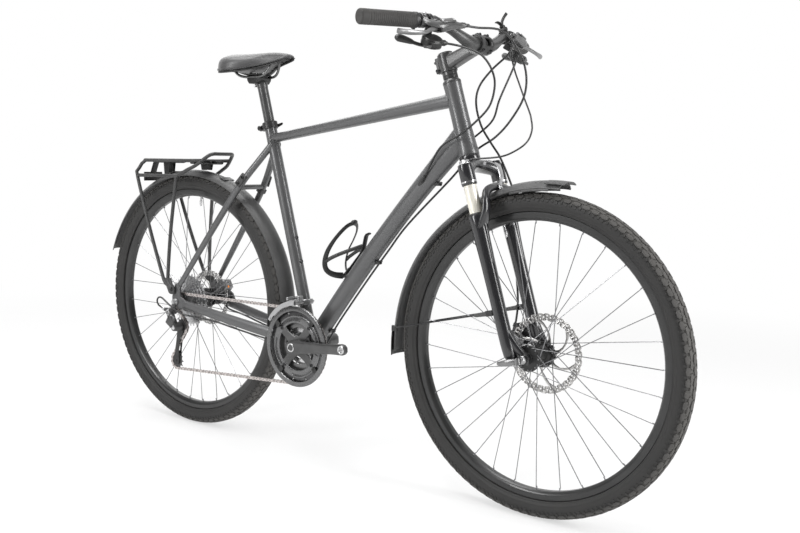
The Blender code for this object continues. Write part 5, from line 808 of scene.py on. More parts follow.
def make_wheels():
    """Tyres, rims, valves, spokes, hubs and brake discs of both wheels."""
    front_rubber = tyre_finish("front_tyre_rubber", FRONT_AXLE)
    rear_rubber = tyre_finish("rear_tyre_rubber", REAR_AXLE)
    make_tyre("front_tyre_tread", FRONT_AXLE, "front_wheel", front_rubber)
    make_tyre("rear_tyre_tread", REAR_AXLE, "rear_wheel", rear_rubber)
    make_rim("front_rim_deep", FRONT_AXLE, "front_wheel", FRONT_SPOKE_PHASE)
    make_rim("rear_rim_deep", REAR_AXLE, "rear_wheel", REAR_SPOKE_PHASE)
    make_valve(FRONT_AXLE, "front_wheel", FRONT_VALVE_ANGLE)
    make_valve(REAR_AXLE, "rear_wheel", REAR_VALVE_ANGLE)
    make_spokes("front_spokes", FRONT_AXLE, "front_wheel", FRONT_FLANGES, FRONT_SPOKE_PHASE)
    make_spokes("rear_spokes", REAR_AXLE, "rear_wheel", REAR_FLANGES, REAR_SPOKE_PHASE)
    make_hub("front_hub_shell", FRONT_AXLE, "front_wheel", FRONT_FLANGES, FRONT_HUB_ENDS)
    make_hub("rear_hub_shell", REAR_AXLE, "rear_wheel", REAR_FLANGES, REAR_HUB_ENDS)
    make_rotor("front_rotor_wavy", FRONT_AXLE, FRONT_ROTOR_Y, FRONT_ROTOR_RADIUS, "front_wheel", 0.2)
    make_rotor("rear_rotor_wavy", REAR_AXLE, REAR_ROTOR_Y, REAR_ROTOR_RADIUS, "rear_wheel", 0.5)


# Frame

SEAT_TUBE_LENGTH = 0.592
SEAT_TUBE_RADIUS = 0.0159
CLAMP_RADIUS = 0.0162
HEAD_TUBE_RADIUS = 0.0206
SHELL_RADIUS = 0.0215
HEAD_LOW = 0.012
HEAD_LENGTH = 0.17
HEAD_TOP = HEAD_LOW + HEAD_LENGTH
REAR_DROPOUT_Y = 0.0705


def chainstay_path(side):
    """From the bottom bracket shell, round the tyre, to the dropout."""
    rear = REAR_AXLE + Vector((0.03, 0, -0.004))
    span = rear - BOTTOM_BRACKET
    places = [(0.0, 0.026), (0.2, 0.034), (0.42, 0.046), (0.75, 0.0605), (1.0, REAR_DROPOUT_Y)]
    return [BOTTOM_BRACKET + span * share + Y_AXIS * (side * y) for share, y in places]


def seatstay_path(side):
    """From the back of the seat tube, out round the tyre, to the dropout."""
    top = seat_point(SEAT_TUBE_LENGTH - 0.06)
    rear = REAR_AXLE + Vector((0.006, 0, 0.04))
    span = rear - top
    places = [(0.0, 0.01), (0.07, 0.019), (0.28, 0.045), (0.6, 0.0585), (1.0, REAR_DROPOUT_Y)]
    return [top + span * share + Y_AXIS * (side * y) for share, y in places]


def down_tube_path():
    """From the bottom bracket to the head tube, bowed a little upwards."""
    head = steer_point(0, 0, HEAD_LOW + 0.049)
    span = head - BOTTOM_BRACKET
    upward = Vector((-span.z, 0, span.x)).normalized()
    path = []
    for step in range(9):
        share = step / 8
        bow = 0.013 * math.sin(math.pi * share) + 0.008 * max(0.0, share - 0.5) * (1 - share)
        path.append(BOTTOM_BRACKET + span * share + upward * bow)
    return path


def weld_line(start, along, size, main_place, main_axis, main_radius, across=Y_AXIS, count=40):
    """The closed line on which a tube meets a round one, as seen from outside."""
    along = along.normalized()
    columns = square_to(along, across)
    points = []
    for k in range(count):
        angle = 2 * math.pi * k / count
        p = start + columns.col[0] * (size[0] / 2 * math.cos(angle))
        p += columns.col[1] * (size[1] / 2 * math.sin(angle))
        offset = p - main_place
        offset -= main_axis * offset.dot(main_axis)
        run = along - main_axis * along.dot(main_axis)
        a = run.dot(run)
        b = 2 * offset.dot(run)
        c = offset.dot(offset) - main_radius**2
        inside = b * b - 4 * a * c
        points.append(p + along * ((-b - math.sqrt(max(inside, 0.0))) / (2 * a)))
    return points


def weld_bead(name, line, size):
    """A closed bead with the slight ripple of a hand-laid weld."""
    line = line + line[:2]
    sizes = [size * (1.0 if k % 2 else 0.88) for k in range(len(line))]
    return swept(name, line, sizes, 8, Y_AXIS, 60)


def dropout(side):
    """A hooded plate round the rear axle, with a slot that opens downwards."""
    y = side * REAR_DROPOUT_Y
    outline = mm((-5, -20), (-5.4, 0), (-4.5, 3.8), (0, 5.6), (4.5, 3.8), (5.4, 0), (5, -20), (16, -19.5),
        (30, -16.5), (40, -13.5), (44, 4), (30, 10), (20, 15), (17, 22), (16, 48), (-2, 52), (-10, 36),
        (-13, 28), (-16.5, 12), (-15, -12))
    pieces = [plate("dropout", outline, REAR_AXLE + Y_AXIS * y, X_AXIS, Z_AXIS, 0.006, 0.0007)]
    if side < 0:
        hanger = mm((-16, 0), (-7.5, -4), (-6, -18), (-1, -24), (-2, -34), (-6, -37), (-16, -37),
            (-20, -32), (-20, -18))
        pieces.append(plate("hanger", hanger, REAR_AXLE + Y_AXIS * (y - 0.0002), X_AXIS, Z_AXIS, 0.0064,
            0.0007))
    eyelet = REAR_AXLE + Vector((-0.012, y, 0.034))
    pieces.append(spun("eyelet", eyelet, Y_AXIS, mm((-3.4, 0), (-3.4, 6.8), (-2.8, 7.5), (2.8, 7.5),
        (3.4, 6.8), (3.4, 0)), 24))
    return pieces


def round_angles(steps, count=None):
    """Even angles of a full turn, as many as the steps or a given count."""
    return [2 * math.pi * k / steps for k in range(count or steps)]


def make_frame():
    """Tubes, stays, dropouts and weld beads, joined into one painted piece."""
    tube = []
    path = down_tube_path()
    sizes = []
    fine = smooth_path(path, 33)
    for step in range(33):
        flare = max(0.0, step / 32 - 0.6) / 0.4
        sizes.append((0.044 - 0.002 * flare, 0.045 + 0.015 * flare**2))
    tube.append(swept("down_tube", fine, sizes, 40))
    head = [(0, 0.0172), (0, 0.0232), (0.0008, 0.024), (0.011, 0.024), (0.0135, 0.0234), (0.035, 0.0222),
        (0.06, 0.0211), (0.09, HEAD_TUBE_RADIUS), (HEAD_LENGTH - 0.01, HEAD_TUBE_RADIUS),
        (HEAD_LENGTH - 0.008, 0.021), (HEAD_LENGTH - 0.0006, 0.021), (HEAD_LENGTH, 0.0205),
        (HEAD_LENGTH, 0.0172)]
    head_low = steer_point(0, 0, HEAD_LOW)
    tube.append(hollow("head_tube", head_low, STEER_UP, head, 48))
    seat_wall = [(0.0, 0.0), (0.0, SEAT_TUBE_RADIUS), (SEAT_TUBE_LENGTH, SEAT_TUBE_RADIUS),
        (SEAT_TUBE_LENGTH, 0.014), (SEAT_TUBE_LENGTH - 0.02, 0.0139), (SEAT_TUBE_LENGTH - 0.02, 0.0)]
    tube.append(spun("seat_tube", BOTTOM_BRACKET, SEAT_UP, seat_wall, 40))
    shell = [(-0.0365, 0.0186), (-0.0365, 0.0208), (-0.0358, SHELL_RADIUS), (0.0358, SHELL_RADIUS),
        (0.0365, 0.0208), (0.0365, 0.0186)]
    tube.append(hollow("bottom_shell", BOTTOM_BRACKET, Y_AXIS, shell, 48))
    top_rear = seat_point(SEAT_TUBE_LENGTH - 0.042)
    top_front = steer_point(0, 0, HEAD_TOP - 0.037)
    top_line = [top_rear.lerp(top_front, k / 12) for k in range(13)]
    top_sizes = [(0.03 + 0.008 * k / 12, 0.024 + 0.009 * (k / 12) ** 1.4) for k in range(13)]
    tube.append(swept("top_tube", top_line, top_sizes, 36))
    beads = []
    for bead, start, way, size, main_place, main_axis, main_radius in (
        (0.0034, top_line[8], top_front - top_rear, top_sizes[11], head_low, STEER_UP, HEAD_TUBE_RADIUS),
        (0.0032, top_line[3], top_rear - top_front, top_sizes[1], BOTTOM_BRACKET, SEAT_UP, SEAT_TUBE_RADIUS),
        (0.0036, fine[26], fine[32] - fine[30], sizes[30], head_low, STEER_UP, 0.0224),
        (0.0034, fine[4], fine[0] - fine[1], sizes[1], BOTTOM_BRACKET, Y_AXIS, SHELL_RADIUS),
        (0.003, seat_point(0.06), -SEAT_UP, (0.0318, 0.0318), BOTTOM_BRACKET, Y_AXIS, SHELL_RADIUS),
    ):
        beads.append(weld_bead("weld", weld_line(start, way, size, main_place, main_axis, main_radius),
            bead))
    for side in (-1, 1):
        low = smooth_path(chainstay_path(side), 17)
        low_sizes = [(0.016 - 0.003 * (k / 16) ** 3, 0.03 - 0.006 * (k / 16) ** 2) for k in range(17)]
        high = smooth_path(seatstay_path(side), 19)
        high_sizes = [(0.018 - 0.008 * (k / 18) ** 3, 0.018 - 0.003 * (k / 18) ** 3) for k in range(19)]
        tube.append(swept("chainstay", low, low_sizes, 28))
        tube.append(swept("seatstay", high, high_sizes, 28))
        tube += dropout(side)
        beads.append(weld_bead("weld", weld_line(high[3], high[0] - high[1], (0.018, 0.018), BOTTOM_BRACKET,
            SEAT_UP, SEAT_TUBE_RADIUS), 0.0026))
        for part, across in ((low[-2:], 0.024), (high[-2:], 0.015)):
            way = (part[1] - part[0]).normalized()
            ring = [part[1] - way * 0.01 + square_to(way).col[0] * (0.0068 * math.cos(a))
                + square_to(way).col[1] * (across * 0.52 * math.sin(a)) for a in round_angles(24)]
            beads.append(weld_bead("weld", ring, 0.0022))
    for spot in (seatstay_path(1)[2], chainstay_path(1)[0].lerp(chainstay_path(1)[1], 0.86)):
        away = Y_AXIS * spot.y
        tube.append(spun("bridge", spot - away * 2, Y_AXIS, [(0, 0), (0, 0.007), (2 * spot.y, 0.007),
            (2 * spot.y, 0)], 24))
    corner = mm((26, 0), (80, -4), (86, 3), (78, 18), (50, 34), (30, 54), (22, 62), (14, 52), (20, 20))
    tube.append(plate("brake_mount", corner, REAR_AXLE + Y_AXIS * REAR_DROPOUT_Y, X_AXIS, Z_AXIS, 0.006,
        0.0008))
    dress("frame_welded", tube + beads, frame_paint, "chassis", ("frame",))
    make_frame_fittings(path)


def make_frame_fittings(path):
    """Cable ports, the bottle cage's spare bosses and hose clips."""
    ports = []
    for side in (-1, 1):
        inward = (path[6] - path[7]).normalized()
        middle = path[6].lerp(path[7], 0.35)
        mouth = middle + Y_AXIS * (side * 0.0205)
        outline = [(0.016 * math.cos(a), 0.0062 * math.sin(a)) for a in round_angles(24)]
        ports.append(plate("port", outline, mouth, inward, Vector((-inward.z, 0, inward.x)) * side, 0.003,
            0.0008))
        ports.append(swept("ferrule", [mouth - inward * 0.016 + Y_AXIS * (side * 0.006),
            mouth + inward * 0.002 + Y_AXIS * (side * 0.0004)], [0.0068, 0.0078], 16))
    dress("cable_ports", ports, plastic, "chassis")
    bolts = []
    for up in (0.215, 0.279):
        base = seat_point(up, 0, SEAT_TUBE_RADIUS - 0.0006)
        bolts.append(spun("boss", base, SEAT_FORWARD, mm((0, 0), (0, 6), (1.6, 5.2), (1.8, 4.8), (3.4, 4.2),
            (3.8, 3), (2.4, 2), (2.4, 0)), 20))
    dress("seat_tube_bolts", bolts, dark_steel, "chassis")
    across = (path[6] - path[2]).normalized()
    below = -Vector((-across.z, 0, across.x))
    clips = []
    for x, z in ((0.29, 0.734), (0.1275, 0.536), (-0.018, 0.344)):
        spot = min(smooth_path(path, 60), key=lambda p: abs(p.x - x) + abs(p.z - z)) + below * 0.025
        clips.append(brick("clip", spot + below * 0.001 + Y_AXIS * 0.004, (0.01, 0.022, 0.0052), across,
            Y_AXIS, 0.0012))
        hoop = [spot + Y_AXIS * (0.008 + 0.0052 * math.cos(a)) + below * (0.002 + 0.0052 * math.sin(a))
                for a in round_angles(16, 17)]
        clips.append(swept("tie", hoop, (0.0036, 0.0012), 8, across))
    dress("hose_clips", clips, plastic, "chassis")


def make_seat_collar():
    """The quick-release collar: a round band, its two ears and the cam lever."""
    low = SEAT_TUBE_LENGTH - 0.016
    inner = CLAMP_RADIUS
    band = hollow("seat_collar_band", seat_point(0), SEAT_UP, [(low, inner), (low, inner + 0.003),
        (low + 0.001, inner + 0.004), (low + 0.017, inner + 0.004), (low + 0.018, inner + 0.003),
        (low + 0.018, inner)], 40)
    middle = low + 0.009
    ears = []
    for side in (-1, 1):
        ears.append(brick("ear", seat_point(middle, side * 0.0062, -0.0245), (0.016, 0.0095, 0.0135),
            SEAT_FORWARD, Y_AXIS, 0.0018))
    nut = spun("nut", seat_point(middle, -0.018, -0.0257), Y_AXIS, mm((0, 0), (0, 5), (1, 6.2), (6.5, 6.2),
        (7, 0)), 20)
    dress("seat_collar_band", [band] + ears + [nut], bar_finish, "chassis", ("seat_collar",))
    hinge = seat_point(0.585, 0.0183, -0.0257)
    make_cam_lever("seat_collar_cam", hinge, SEAT_FORWARD, Y_AXIS, 0.052, 0.01, 0.004, bar_finish,
        "seat_collar_lever")


def make_cam_lever(name, hinge, along, outward, length, width, thickness, finish, body):
    """A quick-release lever: round cam head and a dished blade."""
    normal = along.cross(outward).normalized()
    head = spun("cam", hinge - normal * (width / 2), normal, [(0, 0), (0, 0.006), (0.0008, 0.007),
        (width - 0.0008, 0.007), (width, 0.006), (width, 0)], 28)
    line = smooth_path([hinge, hinge + along * (length * 0.22) + outward * 0.0035,
        hinge + along * (length * 0.5) + outward * 0.0055,
        hinge + along * (length * 0.8) + outward * 0.0045,
        hinge + along * (length - 0.001) + outward * 0.003], 14)
    sizes = [(width * (0.72 + 0.28 * math.sin(math.pi * min(1.0, k / 11))),
        thickness * (1.25 - 0.35 * k / 13)) for k in range(14)]
    sizes[-1] = (width * 0.45, thickness * 0.6)
    blade = swept("blade", line, sizes, 20, normal)
    dress(name, [head, blade], finish, body, (body,))


# Fork and mudguards

LEG_Y = 0.0635
LEG_OFFSET = 0.024
# Radius of a mudguard's crown, then half its width, the drop at its rims and its wall
FRONT_GUARD_RADIUS = 0.375
REAR_GUARD_RADIUS = 0.371
GUARD_SIZE = (0.0275, 0.015, 0.002)


def leg_place(side):
    """The point of a fork leg's centre line that is level with the crown race."""
    return steer_point(LEG_OFFSET, side * LEG_Y, 0)


def make_fork_uppers():
    """The forged crown, the two plated stanchions with their caps, and the crown race."""
    crown = []
    race = mm((-16, 0), (-16, 16), (-4, 20), (0, 23.2), (1, 23.8), (10.5, 23.8), (11.7, 23), (11.7, 0))
    crown.append(spun("race", CROWN_RACE, STEER_UP, race, 48))
    half = [(LEG_OFFSET, 0.064, -0.038), (0.022, 0.054, -0.0265), (0.0135, 0.034, -0.0185),
        (0.008, 0.016, -0.0145)]
    bridge = smooth_path([steer_point(f, -y, up) for f, y, up in half] + [steer_point(0.0065, 0,
        -0.0135)] + [steer_point(f, y, up) for f, y, up in reversed(half)], 25)
    sizes = [(0.03 + 0.014 * math.sin(math.pi * k / 24) ** 1.2,
        0.03 - 0.004 * math.sin(math.pi * k / 24)) for k in range(25)]
    crown.append(swept("bridge", bridge, sizes, 24, STEER_FORWARD))
    for side in (-1, 1):
        leg = leg_place(side)
        socket = mm((-63, 0), (-63, 16.4), (-61.8, 17.2), (-22, 17.2), (-16.5, 16.2), (-15, 14), (-15, 0))
        crown.append(spun("socket", leg, STEER_UP, socket, 40))
    dress("fork_crown", crown, leg_paint, "steering", ("fork_uppers",))
    for side, word in SIDES:
        leg = leg_place(side)
        tube = spun("stanchion_" + word, leg, STEER_UP, mm((-250, 0), (-250, 14.3), (-63.5, 14.3),
            (-63.5, 0)), 40)
        wear(tube, nickel, "steering")
        cap = spun("fork_cap_" + word, leg, STEER_UP, mm((-15.5, 0), (-15.5, 12.8), (-13.8, 12.8),
            (-12.5, 11.8), (-8, 11.2), (-7, 10.4), (-7, 5.5), (-8.5, 5), (-8.5, 0)), 32)
        wear(cap, bright_steel if side < 0 else dark_steel, "steering")
        ring = hollow("fork_band_" + word, leg, STEER_UP, mm((-58, 17), (-58, 17.45), (-54.5, 17.45),
            (-54.5, 17)), 40)
        wear(ring, bright_steel, "steering")


def make_fork_lowers():
    """Both lower legs, the swept arch over the tyre, the axle hooks and the brake's tab."""
    pieces = []
    for side in (-1, 1):
        leg = leg_place(side)
        wall = mm((-453, 0), (-453, 7.5), (-450.8, 10.6), (-442, 13.6), (-420, 15), (-300, 15.6),
            (-230, 16.3), (-175, 17.7), (-160, 18), (-134, 18), (-131.5, 17.2), (-130.5, 15), (-140, 14.8),
            (-140, 0))
        pieces.append(spun("leg", leg, STEER_UP, wall, 44))
        line = smooth_path([leg - STEER_UP * 0.37 + STEER_FORWARD * 0.002,
            leg - STEER_UP * 0.398 + STEER_FORWARD * 0.006,
            leg - STEER_UP * 0.424 + STEER_FORWARD * 0.014 - Y_AXIS * (side * 0.004),
            FRONT_AXLE + Y_AXIS * (side * 0.0545) + STEER_UP * 0.01 - STEER_FORWARD * 0.003], 12)
        sizes = [(0.022 - 0.007 * k / 11, 0.022 - 0.002 * k / 11) for k in range(12)]
        pieces.append(swept("toe", line, sizes, 24))
        ridge = smooth_path([leg + STEER_FORWARD * 0.0125 - STEER_UP * 0.128,
            leg + STEER_FORWARD * 0.0135 - STEER_UP * 0.16, leg + STEER_FORWARD * 0.0115 - STEER_UP * 0.2,
            leg + STEER_FORWARD * 0.008 - STEER_UP * 0.3], 12)
        pieces.append(swept("ridge", ridge, [(0.015 - 0.003 * k / 11,
            0.017 - 0.005 * k / 11) for k in range(12)], 16, STEER_FORWARD))
        hook = mm((-10, -13), (-5.2, -13), (-5.3, 0), (-4.5, 3.6), (0, 5.4), (4.5, 3.6), (5.3, 0),
            (5.2, -13), (10, -13), (13.5, 0), (11, 11), (2, 22), (-7, 36), (-11, 52), (-14, 68), (-34, 66),
            (-37, 26), (-30, 2), (-20, -6))
        pieces.append(plate("hook", hook, FRONT_AXLE + Y_AXIS * (side * 0.054), STEER_FORWARD, STEER_UP,
            0.008, 0.0012))
    half = [(0.03, LEG_Y, -0.16), (0.05, LEG_Y - 0.0005, -0.126), (0.053, 0.0585, -0.102),
        (0.0515, 0.0475, -0.086), (0.0515, 0.026, -0.077)]
    arch = smooth_path([steer_point(f, -y, up) for f, y, up in half] + [steer_point(0.0515, 0,
        -0.0745)] + [steer_point(f, y, up) for f, y, up in reversed(half)], 33)
    sizes = []
    for k in range(33):
        foot = abs(k - 16) / 16
        sizes.append((0.0155 + 0.0015 * foot, 0.0165 + 0.018 * foot**1.6))
    pieces.append(swept("arch", arch, sizes, 20, STEER_FORWARD))
    tab = mm((-18, 28), (-26, 78), (-72, 80), (-85, 60), (-78, 40), (-50, 26))
    pieces.append(plate("tab", tab, FRONT_AXLE + Y_AXIS * 0.0575, STEER_FORWARD, STEER_UP, 0.006, 0.001))
    dress("fork_castings", pieces, leg_paint, "fork_lowers", ("fork_lowers",))
    for side, word in SIDES:
        leg = leg_place(side)
        wiper = hollow("dust_wiper_" + word, leg, STEER_UP, mm((-132.2, 14.7), (-132.2, 17.4), (-129, 16.8),
            (-126.8, 15.6), (-126.2, 14.7)), 40)
        wear(wiper, plastic, "fork_lowers")


def arched(name, centre, start, end, steps, section, radius_at):
    """A shell bent round the wheel. The section is (y, lift) points, angles run from +X to +Z."""
    radius = radius_at(0.0)
    draw_line([centre + wheel_way(start) * (radius + lift) + Y_AXIS * y for y, lift in section],
        closed=True)
    angle = start
    turn = (end - start) / steps
    for step in range(1, steps + 1):
        pull((0, 0, 0))
        turn_selected(Y_AXIS, -turn, centre)
        angle += turn
        after = radius_at(step / steps)
        bpy.ops.transform.translate(value=wheel_way(angle) * (after - radius))
        radius = after
    return named(name, 40)


def guard_section(half, crown, wall):
    """A mudguard's cross-section: a flat crown, rounded shoulders and a rolled rim."""
    top = []
    for k in range(-10, 11):
        t = k / 10
        top.append((half * t, -crown * abs(t) ** 2.6))
    under = [(y * 0.94, lift - wall) for y, lift in reversed(top)]
    return top + under


def make_front_guard():
    """The front mudguard: shell, nose, flap and its two wires with their sleeves and clips."""
    def crown_radius(share):
        return FRONT_GUARD_RADIUS + 0.01 * max(0.0, (0.25 - share) / 0.25) + 0.014 * max(0.0,
            (share - 0.45) / 0.55)

    shell = arched("front_guard_shell", FRONT_AXLE, math.radians(82), math.radians(186), 44,
        guard_section(*GUARD_SIZE), crown_radius)
    wear(shell, guard_finish, "fork_lowers", ("front_mudguard",))
    # The nose is a second shell over the first, with deep cheeks and a thin lip ahead of them
    cheeks = arched("front_guard_nose", FRONT_AXLE, math.radians(86), math.radians(101), 8,
        guard_section(0.029, 0.0215, 0.0016), lambda share: crown_radius((6 + 15 * share) / 106) + 0.0022)
    lip = arched("lip", FRONT_AXLE, math.radians(80.5), math.radians(87.5), 6,
        guard_section(0.0286, 0.007, 0.0016), lambda share: 0.3882 - 0.003 * share)
    dress("front_guard_nose", [cheeks, lip], guard_finish, "fork_lowers")
    wires = []
    clips = []
    sleeves = []
    for side in (-1, 1):
        low = FRONT_AXLE + Vector((-0.38, side * 0.0262, 0.016))
        high = steer_point(LEG_OFFSET - 0.0205, side * 0.0655, -0.345)
        line = smooth_path([low + Vector((0.004, -side * 0.004, 0)),
            low.lerp(high, 0.12) + Y_AXIS * (side * 0.011), low.lerp(high, 0.55) + Y_AXIS * (side * 0.006),
            high], 14)
        wires.append(swept("wire", line, 0.0034, 12))
        way = (high - line[-5]).normalized()
        clips.append(brick("clip", high - way * 0.004, (0.02, 0.01, 0.013), way, Y_AXIS, 0.0022))
        sleeves.append(swept("sleeve", [high - way * 0.048, high - way * 0.044, high - way * 0.013,
            high - way * 0.01], [0.005, 0.0085, 0.0112, 0.0112], 16, Y_AXIS))
        clips.append(brick("clip", low + Vector((0.006, side * 0.0005, 0)), (0.016, 0.0065, 0.014), X_AXIS,
            Y_AXIS, 0.0014))
        eye = steer_point(LEG_OFFSET - 0.0175, side * 0.064, -0.345)
        clips.append(spun("screw", eye - Y_AXIS * 0.004, Y_AXIS, mm((0, 0), (0, 4), (8, 4), (8, 0)), 14))
    dress("front_guard_wires", wires, dark_steel, "fork_lowers")
    dress("front_guard_sleeves", sleeves, grey_plastic, "fork_lowers")
    flap = arched("front_guard_flap", FRONT_AXLE, math.radians(178), math.radians(187.5), 6,
        guard_section(0.0283, 0.008, 0.0016), lambda share: 0.3895 + 0.004 * share)
    clips.append(flap)
    dress("front_guard_fittings", clips, plastic, "fork_lowers")


def make_rear_guard():
    """The rear mudguard: shell, bridge foot, clips and the brackets on the seatstays."""
    def crown_radius(share):
        return REAR_GUARD_RADIUS + 0.012 * max(0.0, (0.45 - share) / 0.45) + 0.016 * max(0.0,
            (share - 0.62) / 0.38)

    shell = arched("rear_guard_shell", REAR_AXLE, math.radians(5.5), math.radians(162), 60,
        guard_section(*GUARD_SIZE), crown_radius)
    wear(shell, guard_finish, "chassis", ("rear_mudguard",))
    pieces = []
    bridge = seatstay_path(1)[2]
    outward = Vector((bridge.x - REAR_AXLE.x, 0, bridge.z - REAR_AXLE.z)).normalized()
    pieces.append(brick("foot", bridge - outward * 0.0125, (0.014, 0.022, 0.018), outward, Y_AXIS, 0.002))
    for angle in (70, 104):
        way = wheel_way(math.radians(angle))
        side = Vector((way.z, 0, -way.x))
        pieces.append(brick("saddle_clip", REAR_AXLE + way * 0.3715, (0.022, 0.036, 0.0036), side, Y_AXIS,
            0.0012))
    for side in (-1, 1):
        low, high = seatstay_path(side)[1:3]
        stay = (high - low).normalized()
        spot = low.lerp(high, 0.8) + Y_AXIS * (side * 0.01) + Z_AXIS * 0.002
        pieces.append(brick("bracket", spot, (0.036, 0.006, 0.021), stay, Y_AXIS, 0.0022))
        for reach in (-0.01, 0.01):
            pieces.append(hex_bolt(spot + stay * reach + Y_AXIS * (side * 0.003), Y_AXIS * side, 0.0042,
                0.0034))
    dress("rear_guard_fittings", pieces, plastic, "chassis")


def make_lamp_bracket():
    """The bent strip on the arch that carries a front lamp."""
    line = [steer_point(forward, 0, up) for forward, up in mm((61, -84), (61, -74), (64.5, -66), (69, -58),
        (70, -46), (69, -35), (65, -26.5), (54, -17.5), (44, -11.5), (37.5, -12), (33.5, -19))]
    widths = [(0.013 + 0.005 * math.sin(math.pi * k / 23), 0.003) for k in range(24)]
    strip = swept("lamp_strap", smooth_path(line, 24), widths, 16, Y_AXIS)
    bolt = spun("bolt", steer_point(0.062, 0, -0.079), STEER_FORWARD,
        mm((0, 0), (0, 5), (3, 4.6), (3.6, 3.6), (2, 2.2), (2, 0)), 20)
    button = spun("button", steer_point(0.059, 0, -0.0205), STEER_UP,
        mm((-3, 0), (-3, 3.4), (2.8, 3.4), (3.6, 2.6), (3.6, 0)), 20)
    wear(button, dark_steel, "fork_lowers")
    dress("lamp_strap", [strip, bolt], cage_steel, "fork_lowers", ("lamp_bracket",))


# Drive

CHAIN_LINE = 0.0585
CHAIN_PITCH = 0.0127
OUTER_PLATE_Y = 0.00285
INNER_PLATE_Y = 0.0018
LINK_PLATE_THICKNESS = 0.0009
RING_TEETH = (48, 36, 26)
RING_SPACING = 0.008
PULLEY_TEETH = 11
COG_TEETH = (11, 13, 15, 17, 19, 21, 24, 28, 32, 36)
COG_SPACING = 0.00395
CRANK_ANGLE = math.radians(6.5)
CRANK_FACE = 0.069
CRANK_LENGTH = 0.175
CRANK_THICKNESS = 0.0145
GUIDE_PULLEY = REAR_AXLE + Vector((0.01, -CHAIN_LINE, -0.07))
TENSION_PULLEY = REAR_AXLE + Vector((-0.01, -CHAIN_LINE, -0.172))


def sprocket_radius(teeth):
    """The radius on which the chain's pins lie."""
    return CHAIN_PITCH / (2 * math.sin(math.pi / teeth))


def around_crank(radius, degrees, y):
    """A point on a circle round the bottom bracket."""
    angle = math.radians(degrees)
    return BOTTOM_BRACKET + Vector((radius * math.cos(angle), y, radius * math.sin(angle)))


def arm_degrees(quarter):
    """The angle of one of the spider's four arms."""
    return 45 + 90 * quarter + math.degrees(CRANK_ANGLE)


def toothed_ring(name, centre, teeth, thickness, inner, steps=72, first=0.0):
    """A sprocket: a flat ring with one modelled tooth copied round it."""
    radius = sprocket_radius(teeth)
    root = radius - 0.0034
    half = thickness / 2
    ring = hollow(name, centre, Y_AXIS, [(-half, inner), (-half, root - 0.0004), (-half * 0.8, root),
        (half * 0.8, root), (half, root - 0.0004), (half, inner)], steps)
    wide = 0.0046 if teeth > 14 else 0.004
    outline = [(root - 0.0015, -wide / 2 - 0.001), (root + 0.001, -wide / 2),
        (radius + 0.0012, -wide * 0.3), (radius + 0.0028, -wide * 0.13), (radius + 0.0028, wide * 0.13),
        (radius + 0.0012, wide * 0.3), (root + 0.001, wide / 2), (root - 0.0015, wide / 2 + 0.001)]
    tooth = plate("tooth", outline, centre, X_AXIS, Z_AXIS, thickness * 0.86, 0, 40)
    return [ring] + ring_of(tooth, teeth, centre, Y_AXIS, first)


